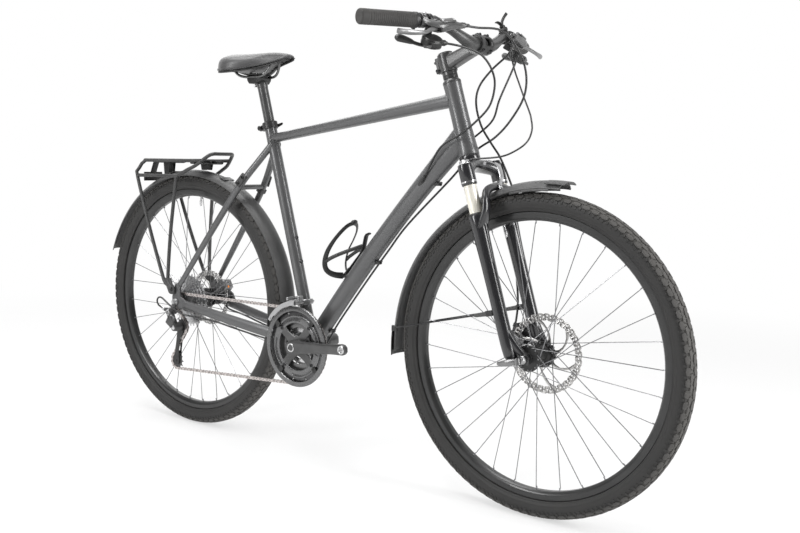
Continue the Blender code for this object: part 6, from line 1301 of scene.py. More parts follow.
def make_chainrings():
    """Three toothed rings, the four-armed spider that carries them, and its bolts."""
    big_y = -CHAIN_LINE
    middle_y = big_y + RING_SPACING
    small_y = middle_y + RING_SPACING
    outer = toothed_ring("big_ring", BOTTOM_BRACKET + Y_AXIS * big_y, RING_TEETH[0], 0.0018, 0.0665, 96)
    holes = []
    for k in range(12):
        degrees = 15 + 30 * k + math.degrees(CRANK_ANGLE)
        holes.append(spun("hole", around_crank(0.0865, degrees, big_y - 0.003), Y_AXIS,
            mm((0, 0), (0, 1.8), (6, 1.8), (6, 0)), 16))
    outer[0] = cut_away(outer[0], *holes)
    dress("big_chainring", outer, ring_finish, "crankset", ("chainrings",))
    inner = toothed_ring("middle_ring", BOTTOM_BRACKET + Y_AXIS * middle_y, RING_TEETH[1], 0.0018, 0.048,
        72)
    dress("middle_chainring", inner, dark_cog, "crankset")
    smallest = toothed_ring("small_ring", BOTTOM_BRACKET + Y_AXIS * small_y, RING_TEETH[2], 0.0018, 0.0345,
        60)
    dress("small_chainring", smallest, bright_steel, "crankset")
    arms = [hollow("spider_hub", BOTTOM_BRACKET, Y_AXIS, [(big_y - 0.003, 0.0124), (big_y - 0.003, 0.0225),
        (big_y - 0.001, 0.0245), (middle_y, 0.0245), (middle_y + 0.0009, 0.023),
        (middle_y + 0.0009, 0.0124)], 48)]
    for quarter in range(4):
        degrees = arm_degrees(quarter)
        outward = around_crank(1, degrees, 0) - BOTTOM_BRACKET
        side = outward.cross(Y_AXIS)
        outline = mm((16, -17.5), (26, -12.8), (44, -10.5), (60, -11.5), (72, -14.5), (72, 14.5),
            (60, 11.5), (44, 10.5), (26, 12.8), (16, 17.5))
        arms.append(plate("arm", outline, BOTTOM_BRACKET + Y_AXIS * (big_y - 0.0014), outward, side, 0.0038,
            0.001))
    dress("spider", arms, crank_finish, "crankset")
    shell = hollow("ring_face", BOTTOM_BRACKET, Y_AXIS, [(big_y - 0.0032, 0.061), (big_y - 0.0036, 0.062),
        (big_y - 0.0036, 0.079), (big_y - 0.003, 0.0805), (big_y - 0.0008, 0.0805),
        (big_y - 0.0008, 0.061)], 96)
    slots = []
    for k in range(4):
        start = 14 + 90 * k + math.degrees(CRANK_ANGLE) - 45 + 14
        ring = [around_crank(0.075, start + step * 62 / 10, big_y - 0.0038) for step in range(11)]
        slots.append(swept("slot", ring, (0.0022, 0.002), 10, Y_AXIS))
    wear(cut_away(shell, *slots), band_finish, "crankset")
    bolts = []
    for quarter in range(4):
        degrees = arm_degrees(quarter)
        for radius, y in ((0.0665, big_y - 0.0036), (0.0405, middle_y - 0.001)):
            bolts.append(spun("bolt", around_crank(radius, degrees, y), -Y_AXIS,
                mm((-1, 0), (-1, 4.6), (1.2, 4.6), (1.6, 4.2), (1.6, 2.6), (0.4, 2.4), (0.4, 0)), 20))
    for k in range(7):
        bolts.append(spun("pin", around_crank(0.0865, 20 + 51.4 * k, big_y - 0.0008), -Y_AXIS,
            mm((-1, 0), (-1, 1.4), (0.6, 1.4), (0.9, 0.8), (0.9, 0)), 12))
    dress("ring_bolts", bolts, dark_steel, "crankset")


def make_chain_guard():
    """The guard ring outside the big chainring: a bevelled band on four black lugs."""
    y = -0.06475
    half = 0.00125
    band = spun("guard_band", BOTTOM_BRACKET, Y_AXIS, [(y - half, 0.0915), (y - half, 0.1015),
        (y - half * 0.2, 0.1037), (y + half, 0.104), (y + half, 0.0925), (y, 0.0908)], 120, 28, closed=True)
    wear(band, band_finish, "crankset", ("chain_guard",))
    lugs = []
    for quarter in range(4):
        degrees = arm_degrees(quarter)
        outward = around_crank(1, degrees, 0) - BOTTOM_BRACKET
        side = outward.cross(Y_AXIS)
        outline = mm((74.5, -5), (74.5, 5), (80, 6.6), (90, 5.6), (95.5, 7.2), (98.5, 6), (98.5, -6),
            (95.5, -7.2), (90, -5.6), (80, -6.6))
        lugs.append(plate("lug", outline, BOTTOM_BRACKET + Y_AXIS * (y + 0.0004), outward, side, 0.0026,
            0.0006))
        lugs.append(spun("screw", around_crank(0.0775, degrees, y + 0.004), -Y_AXIS,
            mm((0, 0), (0, 3.4), (5.5, 3.4), (6.2, 2.6), (6.2, 1.4), (5, 0)), 16))
    dress("guard_lugs", lugs, plastic, "crankset")


def make_cranks():
    """Forged arms with a softly squared section, their hubs, silver rings and pedal eyes."""
    outward = wheel_way(CRANK_ANGLE)
    for side, way, word in ((-1, outward, "right"), (1, -outward, "left")):
        end = BOTTOM_BRACKET + way * CRANK_LENGTH
        y = side * (CRANK_FACE + CRANK_THICKNESS / 2)
        up = way.cross(Y_AXIS)
        stations = mm((-17, 0, 20, 12), (-12, 0, 31, 14), (0, 0, 38.5, 14.5), (14, 0, 36.8, 14.5),
            (30, 0, 33.5, 14.5), (55, 0, 30, 14.5), (90, 1.5, 26.6, 14), (120, 4.5, 25.2, 13.5),
            (150, 6.5, 25.4, 13), (166, 7.3, 27, 12.5), (176, 7.5, 28.2, 12.5), (184, 7.5, 23, 11.5),
            (188.5, 7.5, 13, 9))
        line = [BOTTOM_BRACKET + way * a + Y_AXIS * (y + side * b) for a, b, _, _ in stations]
        sizes = [(wide, thick) for _, _, wide, thick in stations]
        rounded = swept_box("arm", line, sizes, up)
        tools = [spun("eye", end + Y_AXIS * (y - side * 0.01), Y_AXIS * side,
            mm((0, 0), (0, 7.1), (40, 7.1), (40, 0)), 32)]
        if side > 0:
            tools.append(spun("socket", BOTTOM_BRACKET + Y_AXIS * (CRANK_FACE + 0.006), Y_AXIS,
                mm((0, 0), (0, 8.8), (30, 8.8), (30, 0)), 32))
        arm = cut_away(rounded, *tools)
        if side > 0:
            hub = hollow("hub", BOTTOM_BRACKET, Y_AXIS, mm((48.5, 12.6), (48.5, 18), (49.5, 18.6),
                (76, 18.6), (77, 17.8), (77, 12.6)), 44)
            gap = brick("split", BOTTOM_BRACKET + way * 0.016 + Y_AXIS * 0.0565, (0.016, 0.014, 0.025), way,
                Y_AXIS, 0.0016)
            pieces = [arm, hub, gap]
        else:
            hub = hollow("hub", BOTTOM_BRACKET, Y_AXIS, mm((-60.5, 12.6), (-60.5, 18.5), (-75, 18.5),
                (-75, 12.6)), 44)
            pieces = [arm, hub]
        dress("crank_arm_" + word, pieces, crank_finish, "crankset", ("crank_" + word,))
        rim = CRANK_FACE + CRANK_THICKNESS
        trim = [hollow("ring", BOTTOM_BRACKET + Y_AXIS * (side * rim), Y_AXIS * side,
            mm((-2.5, 8.2), (0.4, 8.2), (1.2, 9), (1.2, 10.4), (0.2, 11.2), (-2.5, 11.2)), 40)]
        trim.append(hollow("eye_ring", end + Y_AXIS * (y + side * 0.0138), Y_AXIS * side,
            mm((-16, 6.4), (0, 6.4), (0.8, 7), (0.8, 9.8), (0, 10.5), (-4, 10.5)), 36))
        dress("crank_trim_" + word, trim, bright_steel, "crankset")
        bore = spun("spindle_bore_" + word, BOTTOM_BRACKET + Y_AXIS * (side * (rim - 0.0015)),
            Y_AXIS * side, mm((0, 0), (0, 8.4), (-1, 8.4), (-1, 0)), 24)
        wear(bore, dark_steel, "crankset")


def swept_box(name, line, sizes, across):
    """A bar with a softly squared section, for forged arms."""
    put_down()
    last = len(line) - 1
    spans = [(line[k + 1] - line[k]).normalized() for k in range(last)]
    ways = [spans[0]] + [(spans[k - 1] + spans[k]).normalized() for k in range(1, last)] + [spans[-1]]
    columns = square_to(ways[0], across)
    section = []
    for k in range(32):
        angle = 2 * math.pi * (k + 0.5) / 32
        c, s = math.cos(angle), math.sin(angle)
        section.append((math.copysign(abs(c) ** 0.45, c) / 2, math.copysign(abs(s) ** 0.45, s) / 2))
    draw_line([line[0] + columns.col[0] * a * sizes[0][0] + columns.col[1] * b * sizes[0][1] for a,
        b in section], closed=True)
    for k in range(1, last + 1):
        pull(line[k] - line[k - 1])
        columns = square_to(ways[k], across)
        stretch(columns, line[k], sizes[k][0] / sizes[k - 1][0], sizes[k][1] / sizes[k - 1][1])
    return named(name, 38)


def make_cassette():
    """Ten toothed sprockets, spacers and the lock ring."""
    for k, teeth in enumerate(COG_TEETH):
        y = -CHAIN_LINE + COG_SPACING * k
        radius = sprocket_radius(teeth)
        inner = 0.017 if teeth < 19 else radius * 0.62
        cog = toothed_ring("cog", REAR_AXLE + Y_AXIS * y, teeth, 0.0016, inner, 48, 0.11 * k)
        if teeth >= 19:
            for turn in range(5):
                out = wheel_way(2 * math.pi * turn / 5 + 0.3 * k)
                cog.append(brick("web", REAR_AXLE + Y_AXIS * y + out * (0.016 + radius * 0.62) * 0.5,
                    (radius * 0.62 - 0.014, 0.007, 0.0014), out, out.cross(Y_AXIS), 0.0003, 1))
        dress("cog_" + str(teeth), cog, cog_steel, "cassette", ("cassette",) if k == 0 else ())
    core = hollow("cassette_core", REAR_AXLE, Y_AXIS, [(-CHAIN_LINE - 0.0036, 0.0055),
        (-CHAIN_LINE - 0.0036, 0.0125), (-CHAIN_LINE - 0.002, 0.015), (-CHAIN_LINE - 0.001, 0.015),
        (-CHAIN_LINE, 0.0166), (-CHAIN_LINE + 0.037, 0.0166), (-CHAIN_LINE + 0.037, 0.0055)], 40)
    wear(core, dark_steel, "cassette")


def chain_course():
    """The chain's pitch line as even steps of one link, with each link's direction."""
    small = sprocket_radius(PULLEY_TEETH)
    wheels = [(BOTTOM_BRACKET, sprocket_radius(RING_TEETH[0]), 1), (REAR_AXLE, small, 1),
        (GUIDE_PULLEY, small, -1), (TENSION_PULLEY, small, 1)]
    headings = []
    for k, (centre, radius, sense) in enumerate(wheels):
        after, after_radius, after_sense = wheels[(k + 1) % 4]
        gap = Vector((after.x - centre.x, after.z - centre.z))
        swing = math.asin((sense * radius - after_sense * after_radius) / gap.length)
        headings.append(math.atan2(gap.y, gap.x) + swing)
    course = []
    for k, (centre, radius, sense) in enumerate(wheels):
        arrive = headings[k - 1] - sense * math.pi / 2
        leave = headings[k] - sense * math.pi / 2
        turn = (leave - arrive) * sense % (2 * math.pi) * sense
        for step in range(41):
            angle = arrive + turn * step / 40
            course.append(Vector((centre.x + radius * math.cos(angle), -CHAIN_LINE,
                centre.z + radius * math.sin(angle))))
    course.append(course[0].copy())
    lengths = [0.0]
    for before, after in zip(course, course[1:]):
        lengths.append(lengths[-1] + (after - before).length)
    count = 2 * round(lengths[-1] / CHAIN_PITCH / 2)
    pins = []
    k = 0
    for link in range(count):
        reach = lengths[-1] * link / count
        while lengths[k + 1] < reach:
            k += 1
        share = (reach - lengths[k]) / (lengths[k + 1] - lengths[k])
        pins.append(course[k].lerp(course[k + 1], share))
    return pins


def make_chain():
    """Every link of the chain: outer and inner plate pairs in turn, with a roller at each pin."""
    def link_plate(y, low, high, waist):
        half = CHAIN_PITCH / 2
        outline = []
        for end in (1, -1):
            for k in range(-3, 4):
                angle = k * math.pi / 6
                outline.append((end * (half + low * math.cos(angle)), end * high * math.sin(angle)))
            outline.append((0.0, end * waist))
        return plate("link_plate", outline, Y_AXIS * y, X_AXIS, Z_AXIS, LINK_PLATE_THICKNESS, 0, 30)

    def pair(y):
        near = link_plate(-y, 0.004, 0.004, 0.003)
        far = link_plate(y, 0.004, 0.004, 0.003)
        return together("pair", [near, far])

    outer = pair(OUTER_PLATE_Y)
    inner = pair(INNER_PLATE_Y)
    roller = spun("roller", Vector((CHAIN_PITCH / 2, 0, 0)), Y_AXIS,
        mm((-3.4, 0), (-3.4, 1.8), (-1.4, 1.8), (-1.4, 3.8), (1.4, 3.8), (1.4, 1.8), (3.4, 1.8), (3.4, 0)),
        10)
    pins = chain_course()
    plates = {0: [], 1: []}
    rollers = []
    for k, pin in enumerate(pins):
        after = pins[(k + 1) % len(pins)]
        run = (after - pin).normalized()
        columns = Matrix((run, Y_AXIS, run.cross(Y_AXIS))).transposed().to_4x4()
        place = Matrix.Translation((pin + after) / 2) @ columns
        plates[k % 2].append(place)
        rollers.append(place)
    links = copies(outer, plates[0]) + copies(inner, plates[1])
    dress("chain_rollers", copies(roller, rollers), dark_cog, "chassis")
    dress("chain_links", links, chain_steel, "chassis", ("chain",))


def make_front_derailleur():
    """Clamp band with its bolt, the linkage arms, and the cage's two pressed plates."""
    level = 0.108
    inner = CLAMP_RADIUS
    band = [hollow("band", BOTTOM_BRACKET, SEAT_UP, [(level - 0.0065, inner),
        (level - 0.007, inner + 0.003),
        (level - 0.0055, inner + 0.004), (level + 0.0055, inner + 0.004), (level + 0.007, inner + 0.003),
        (level + 0.0065, inner)], 40)]
    hinge = seat_point(level, 0.0, inner + 0.006)
    band.append(brick("ear", hinge - Y_AXIS * 0.003, (0.01, 0.014, 0.013), SEAT_FORWARD, Y_AXIS, 0.0016))
    band.append(spun("screw", hinge + Y_AXIS * 0.004, Y_AXIS, mm((0, 0), (0, 3.6), (4.5, 3.6), (4.5, 1.8),
        (3, 0)), 18))
    start = seat_point(level, -inner - 0.001, 0.002)
    body = start + Vector((-0.002, -0.008, 0.008))
    band.append(brick("body", body, (0.024, 0.018, 0.022), SEAT_FORWARD, Y_AXIS, 0.003))
    for shift, lift in ((-0.009, 0.006), (0.008, -0.004)):
        band.append(brick("arm", start + Vector((shift - 0.002, -0.026, lift + 0.008)),
            (0.006, 0.03, 0.0085), SEAT_FORWARD, Y_AXIS, 0.0014))
    for lift in (-0.005, 0.005):
        band.append(spun("limit", body + SEAT_FORWARD * 0.011 + Z_AXIS * lift - Y_AXIS * 0.002,
            SEAT_FORWARD, mm((0, 0), (0, 2.2), (2.4, 2.2), (2.4, 0)), 12))
    dress("front_mech_body", band, cage_steel, "chassis", ("front_derailleur",))
    plate_y = CHAIN_LINE + 0.0055
    inner_y = CHAIN_LINE - 0.006

    def cage_plate(low, high, start_angle, end_angle, y):
        outline = []
        for step in range(13):
            angle = math.radians(start_angle + (end_angle - start_angle) * step / 12)
            outline.append((high * math.cos(angle), high * math.sin(angle)))
        for step in range(12, -1, -1):
            angle = math.radians(start_angle + (end_angle - start_angle) * step / 12)
            narrow = low + (0.003 if step > 9 else 0.0)
            outline.append((narrow * math.cos(angle), narrow * math.sin(angle)))
        return plate("cage_plate", outline, BOTTOM_BRACKET - Y_AXIS * y, X_AXIS, Z_AXIS, 0.0014, 0.0004, 30,
            0.0012)

    cage = [cage_plate(0.105, 0.1175, 95, 150, plate_y), cage_plate(0.104, 0.1195, 97, 148, inner_y)]
    for angle_low, angle_high, radius in ((106, 126, 0.1168), (143, 150, 0.113)):
        strap = [around_crank(radius, angle_low + (angle_high - angle_low) * k / 5,
            -(plate_y + inner_y) / 2) for k in range(6)]
        cage.append(swept("strap", strap, (plate_y - inner_y + 0.001, 0.0014), 12, Y_AXIS))
    cage.append(spun("cage_screw", around_crank(0.113, 147, -plate_y - 0.0016), Y_AXIS,
        mm((0, 0), (0, 3), (12, 3), (12, 0)), 14))
    dress("front_mech_cage", cage, cage_steel, "chassis")


def make_rear_derailleur():
    """Mounting bolt, parallelogram links, lower knuckle, cable barrel and bolts."""
    top = REAR_AXLE + Vector((-0.0105, 0, -0.028))
    face = 0.0738
    low = GUIDE_PULLEY + Y_AXIS * CHAIN_LINE
    pieces = [spun("knuckle", top, -Y_AXIS, [(face, 0), (face, 0.01), (face + 0.002, 0.0112),
        (face + 0.012, 0.0112), (face + 0.015, 0.0095), (face + 0.0205, 0.009), (face + 0.021, 0.0)], 36)]
    pieces.append(spun("lower", low, -Y_AXIS, mm((66.2, 0), (66.2, 12.5), (68, 13.5), (74, 13), (85, 12),
        (90.5, 11.2), (91.8, 9.5), (91.8, 0)), 40))
    for shift in (-0.0065, 0.0065):
        line = smooth_path([top - Y_AXIS * (face + 0.012) + X_AXIS * shift,
            top.lerp(low, 0.35) - Y_AXIS * 0.089 + X_AXIS * (0.003 + shift),
            low - Y_AXIS * 0.084 + X_AXIS * shift], 10)
        pieces.append(swept("link", line, (0.0075, 0.019), 18, X_AXIS))
    pieces.append(brick("stop", top + Vector((-0.014, -face - 0.012, 0.004)), (0.013, 0.01, 0.011), X_AXIS,
        Z_AXIS, 0.002))
    pieces.append(brick("cover", top.lerp(low, 0.55) - Y_AXIS * 0.0925, (0.029, 0.036, 0.008),
        Vector((0.86, 0, -0.5)), Vector((0.5, 0, 0.86)), 0.0034))
    dress("rear_mech_body", pieces, post_finish, "chassis", ("rear_derailleur",))
    trim = [spun("bolt", top - Y_AXIS * (face + 0.0205), -Y_AXIS, mm((0, 0), (0, 6.6), (1.2, 6), (1.4, 3.4),
        (0.2, 3), (0.2, 0)), 24)]
    trim.append(spun("barrel", top + Vector((-0.0245, -0.087, 0.0045)), Vector((-1, 0, 0.45)),
        mm((-4, 0), (-4, 4.2), (0, 4.2), (0.6, 5), (6, 5), (7, 3.6), (12, 3.4), (12, 0)), 20))
    for shift in (-0.0062, 0.0062):
        trim.append(spun("pin", top.lerp(low,
            0.35) - Y_AXIS * 0.096 + X_AXIS * (0.003 + shift) + Z_AXIS * 0.006, -Y_AXIS,
            mm((0, 0), (0, 2.6), (1.4, 2), (1.4, 0)), 14))
    trim.append(spun("lower_cap", low, -Y_AXIS, mm((91.8, 0), (91.8, 7.2), (92.8, 6.6), (93.4, 0)), 28))
    dress("rear_mech_bolts", trim, bright_steel, "chassis")


def make_derailleur_cage():
    """The cage's two plates, the inner one slotted, the pulleys and their bolts."""
    along = (TENSION_PULLEY - GUIDE_PULLEY).normalized()
    across = along.cross(Y_AXIS)
    reach = (TENSION_PULLEY - GUIDE_PULLEY).length
    outline = [(-0.012, -0.004), (-0.011, 0.006), (-0.004, 0.0118), (0.01, 0.0126), (0.022, 0.0105),
        (0.036, 0.005), (0.052, 0.0042), (0.07, 0.005), (reach - 0.02, 0.0075), (reach - 0.01, 0.0112),
        (reach, 0.0128), (reach + 0.009, 0.01), (reach + 0.012, 0.0), (reach + 0.008, -0.0105),
        (reach - 0.006, -0.012), (reach - 0.02, -0.01), (0.07, -0.0105), (0.05, -0.0105), (0.022, -0.012),
        (0.004, -0.0118)]
    pieces = []
    for y in (-0.005, 0.005):
        side = plate("side", outline, GUIDE_PULLEY + Y_AXIS * y, along, across, 0.0014, 0, 30)
        slot = [GUIDE_PULLEY + Y_AXIS * y + along * a + across * b for a,
            b in ((0.034, -0.003), (0.05, -0.0042), (0.076, -0.0036))]
        if y > 0:
            side = cut_away(side, swept("slot", slot, (0.0044, 0.01), 12, across))
        pieces.append(soften(side, 0.0003, 1))
    for spot in (GUIDE_PULLEY, TENSION_PULLEY):
        pieces.append(spun("bolt", spot, Y_AXIS, mm((-7.2, 0), (-7.2, 3.4), (-5.6, 4.2), (-5.6, 2.5),
            (5.6, 2.5), (5.6, 4), (7.2, 3.6), (7.2, 0)), 20))
    pieces.append(spun("pin", GUIDE_PULLEY + along * 0.052 + across * 0.0015, Y_AXIS,
        mm((-6, 0), (-6, 2.6), (6, 2.6), (6, 0)), 14))
    dress("cage_plates", pieces, bar_finish, "derailleur_cage", ("derailleur_cage",))
    for word, spot in (("guide", GUIDE_PULLEY), ("tension", TENSION_PULLEY)):
        wheel = toothed_ring("wheel", spot, PULLEY_TEETH, 0.002, 0.007, 40)
        wheel.append(hollow("hub", spot, Y_AXIS, mm((-3.4, 2.9), (-3.4, 7.8), (-1, 8.6), (1, 8.6),
            (3.4, 7.8), (3.4, 2.9)), 30))
        body = word + "_pulley"
        dress(word + "_pulley_wheel", wheel, grey_plastic, body, (body,))


def make_bottom_cups():
    """The outboard bearing cups with their tool splines."""
    for side, word in SIDES:
        cup = [hollow("cup", BOTTOM_BRACKET, Y_AXIS * side, mm((36.6, 12.4), (36.6, 22), (39.5, 22.4),
            (40, 20.8), (45.5, 20.6), (47, 19.2), (47, 12.4)), 48)]
        rib = brick("rib", BOTTOM_BRACKET + Y_AXIS * (side * 0.0428) + X_AXIS * 0.0208,
            (0.002, 0.005, 0.0026), X_AXIS, Y_AXIS, 0.0004, 1)
        cup += ring_of(rib, 16, BOTTOM_BRACKET)
        dress("bearing_cup_" + word, cup, bar_finish, "chassis",
             ("bottom_bracket",) if side < 0 else ())


# Cockpit

STEM_CENTRE = 0.2313
STEM_TOP = 0.2523
BAR_HEIGHT = 0.2388
BAR_REACH = 0.095
BAR_RADIUS = 0.0111
BAR_HALF = 0.322
GRIP_START = 0.19
BAR_BEND = (0.0855, BAR_HALF * 0.4596, 0.2797)
BAR_END = (0.0265, BAR_HALF - 0.002, 0.2915)
BAR_INNER = (0.0915, BAR_HALF * 0.3261, 0.2672)
BAR_TILT = math.radians(27)


def bar_point(side, y):
    """A point on the straight outer part of the handlebar, at a distance from the middle."""
    share = (y - BAR_BEND[1]) / (BAR_END[1] - BAR_BEND[1])
    forward = BAR_BEND[0] + (BAR_END[0] - BAR_BEND[0]) * share
    up = BAR_BEND[2] + (BAR_END[2] - BAR_BEND[2]) * share
    return steer_point(forward, side * y, up)


def bar_frame(side):
    """Directions along the bar outwards, ahead in the lever's plane, and up square to both."""
    along = (bar_point(side, BAR_END[1]) - bar_point(side, BAR_BEND[1])).normalized()
    ahead = Vector((math.cos(BAR_TILT), 0, -math.sin(BAR_TILT)))
    ahead = (ahead - along * ahead.dot(along)).normalized()
    up = ahead.cross(along) * (1 if ahead.cross(along).z > 0 else -1)
    return along, ahead, up


def hex_bolt(place, way, head, height):
    """A socket-head bolt: a rounded head with its hexagon hollow."""
    return spun("bolt_head", place, way, [(-0.001, 0), (-0.001, head), (height - 0.0006, head),
        (height, head - 0.0006), (height, head * 0.56), (height * 0.35, head * 0.5), (height * 0.35, 0)],
        24)


def make_headset():
    """Upper bearing cover and the spacers under the stem."""
    cover = hollow("headset_cover", CROWN_RACE, STEER_UP, mm((182.3, 14.6), (182.3, 20.6), (183, 21.2),
        (186.8, 21.2), (188, 20.6), (191.5, 18), (192.1, 17.4), (192.1, 14.6)), 48)
    wear(cover, post_finish, "chassis", ("headset_upper",))
    low = 0.1925
    height = 0.0085
    for word, finish in (("lower", plastic), ("upper", stem_finish)):
        ring = hollow(word + "_spacer", CROWN_RACE, STEER_UP, [(low, 0.0146), (low, 0.0166),
            (low + 0.0005, 0.0172), (low + height - 0.0005, 0.0172), (low + height, 0.0166),
            (low + height, 0.0146)], 44)
        low += height + 0.0002
        wear(ring, finish, "steering")


def make_stem():
    """Steerer clamp, boxed neck, bar clamp, faceplate, top cap and bolts."""
    bar = steer_point(BAR_REACH, 0, BAR_HEIGHT)
    low = STEM_CENTRE - 0.021
    clamp = hollow("clamp", CROWN_RACE, STEER_UP, [(low, 0.0145), (low, 0.0188), (low + 0.0008, 0.0196),
        (STEM_TOP - 0.0008, 0.0196), (STEM_TOP, 0.0188), (STEM_TOP, 0.0145)], 56)
    neck_line = [steer_point(0.006, 0, STEM_CENTRE - 0.0015), steer_point(0.03, 0, STEM_CENTRE + 0.001),
        steer_point(0.06, 0, STEM_CENTRE + 0.004), steer_point(0.086, 0, BAR_HEIGHT - 0.001)]
    neck = swept_box("neck", smooth_path(neck_line, 9), [(0.0335 - 0.0016 * k / 8,
        0.035 - 0.0075 * math.sin(math.pi * min(1.0, k / 10) / 2)) for k in range(9)], Y_AXIS)
    back = hollow("bar_clamp", bar - Y_AXIS * 0.023, Y_AXIS, mm((0, 15.7), (0, 21.2), (0.9, 22), (45.1, 22),
        (46, 21.2), (46, 15.7)), 56)
    front_block = brick("cutter", bar + STEER_FORWARD * 0.0212, (0.04, 0.08, 0.08), STEER_FORWARD, Y_AXIS,
        0)
    bar_space = spun("cutter", bar - Y_AXIS * 0.03, Y_AXIS, mm((0, 0), (0, 16), (60, 16), (60, 0)), 44)
    steer_space = spun("cutter", CROWN_RACE, STEER_UP, [(0.19, 0), (0.19, 0.015), (STEM_TOP - 0.002, 0.015),
        (STEM_TOP - 0.002, 0)], 44)
    neck = cut_away(neck, bar_space, steer_space)
    back = cut_away(back, front_block)
    ears = [brick("ear", steer_point(-0.021, 0.0058 * side, STEM_CENTRE), (0.0095, 0.009, 0.037),
        STEER_FORWARD, Y_AXIS, 0.0022) for side in (-1, 1)]
    dress("stem_body", [clamp, neck, back] + ears, stem_finish, "steering", ("stem",))
    cap = spun("top_cap", CROWN_RACE, STEER_UP, [(STEM_TOP + 0.0002, 0), (STEM_TOP + 0.0002, 0.0168),
        (STEM_TOP + 0.001, 0.0174), (STEM_TOP + 0.0026, 0.0168), (STEM_TOP + 0.0034, 0.015),
        (STEM_TOP + 0.0036, 0.006), (STEM_TOP + 0.0016, 0.005), (STEM_TOP + 0.0016, 0)], 48)
    wear(cap, plastic, "steering")
    face = hollow("faceplate", bar - Y_AXIS * 0.0225, Y_AXIS, mm((0, 15.7), (0, 20.8), (1.2, 21.9),
        (43.8, 21.9), (45, 20.8), (45, 15.7)), 56)
    rear_block = brick("cutter", bar - STEER_FORWARD * 0.0168, (0.04, 0.08, 0.08), STEER_FORWARD, Y_AXIS, 0)
    window = brick("cutter", bar + STEER_FORWARD * 0.02, (0.024, 0.018, 0.019), STEER_FORWARD, Y_AXIS,
        0.003)
    face = cut_away(face, rear_block, window)
    lands = [brick("land", bar + STEER_FORWARD * 0.0078 + Y_AXIS * (0.015 * side)
        + STEER_UP * (0.0178 * lift), (0.009, 0.012, 0.0095), STEER_FORWARD, Y_AXIS,
        0.0022) for side in (-1, 1) for lift in (-1, 1)]
    dress("stem_front", [face] + lands, plastic, "steering", ("stem_faceplate",))
    bolts = []
    for side in (-1, 1):
        for lift in (-1, 1):
            bolts.append(hex_bolt(bar + STEER_FORWARD * 0.0118 + Y_AXIS * (0.015 * side)
                + STEER_UP * (0.0178 * lift), STEER_FORWARD, 0.0038, 0.0046))
    for lift, side in ((0.0115, 1), (-0.0115, -1)):
        spot = steer_point(-0.0225, 0.0105 * side, STEM_CENTRE + lift)
        bolts.append(hex_bolt(spot, Y_AXIS * side, 0.004, 0.005))
        bolts.append(spun("nut", steer_point(-0.025, 0.0, STEM_CENTRE + lift), -STEER_FORWARD,
            mm((0, 0), (0, 5.6), (3, 5.6), (4.2, 4.4), (8, 3.4), (8.8, 0)), 22))
    bolts.append(hex_bolt(steer_point(0, 0, STEM_TOP + 0.0016), STEER_UP, 0.0042, 0.0022))
    dress("stem_bolts", bolts, dark_steel, "steering")


def make_handlebar():
    """One bar that rises and sweeps back, thickest in the stem's clamp."""
    half = [steer_point(BAR_REACH, 0.0, BAR_HEIGHT), steer_point(BAR_REACH, 0.03, BAR_HEIGHT),
        steer_point(0.0947, BAR_HALF * 0.1615, BAR_HEIGHT + 0.005), steer_point(0.0935, BAR_HALF * 0.2484,
        0.256), steer_point(*BAR_INNER), bar_point(1, BAR_BEND[1]), bar_point(1, BAR_HALF * 0.497),
        bar_point(1, BAR_HALF - 0.005)]
    radii = [0.0155, 0.0155, 0.0139, 0.0119] + [BAR_RADIUS] * 4
    other = [mirrored(p) for p in half[:0:-1]]
    line = smooth_path(other + half, 61)
    sizes = []
    for p in line:
        reach = abs(p.y)
        size = BAR_RADIUS
        for k in range(7):
            if half[k].y <= reach <= half[k + 1].y:
                share = (reach - half[k].y) / (half[k + 1].y - half[k].y)
                share = share * share * (3 - 2 * share)
                size = radii[k] + (radii[k + 1] - radii[k]) * share
        sizes.append(size * 2)
    wear(swept("riser_bar", line, sizes, 28, STEER_UP), post_finish, "steering",
        ("handlebar",))


def make_grip(side, word):
    """A rubber grip: fine ribs in two fields, a plain end, and its clamp ring inboard."""
    along, ahead, up = bar_frame(side)
    length = 0.132 / abs(along.y)
    start = bar_point(side, GRIP_START)
    profile = mm((0.8, 11.8), (0.8, 14.8), (2, 15.6))
    at = 0.01
    while at < length - 0.026:
        profile += [(at, 0.0162), (at + 0.0006, 0.0157), (at + 0.0014, 0.0157), (at + 0.002, 0.0162)]
        at += 0.0046
    profile += [(length - 0.022, 0.0164), (length - 0.0205, 0.0156), (length - 0.019, 0.0156),
        (length - 0.0175, 0.0165), (length - 0.003, 0.0163), (length - 0.0008, 0.015), (length, 0.013),
        (length - 0.0006, 0.006), (length - 0.0006, 0.0)]
    grip = spun("grip", start, along, profile, 40, 24)
    wear(grip, grip_finish, "steering", ("grip_" + word,))
    grip.name = "rubber_grip_" + word
    ring = [hollow("ring", start, along, mm((-0.4, 11.8), (-0.4, 16), (0.6, 16.7), (7.8, 16.7), (8.6, 16),
        (8.6, 15)), 40)]
    ring.append(brick("boss", start + along * 0.004 - up * 0.0165, (0.0076, 0.011, 0.0055), along, ahead,
        0.0014))
    ring.append(hex_bolt(start + along * 0.004 - up * 0.0165 + ahead * 0.005, ahead, 0.0024, 0.0022))
    dress("grip_clamp_" + word, ring, plastic, "steering")


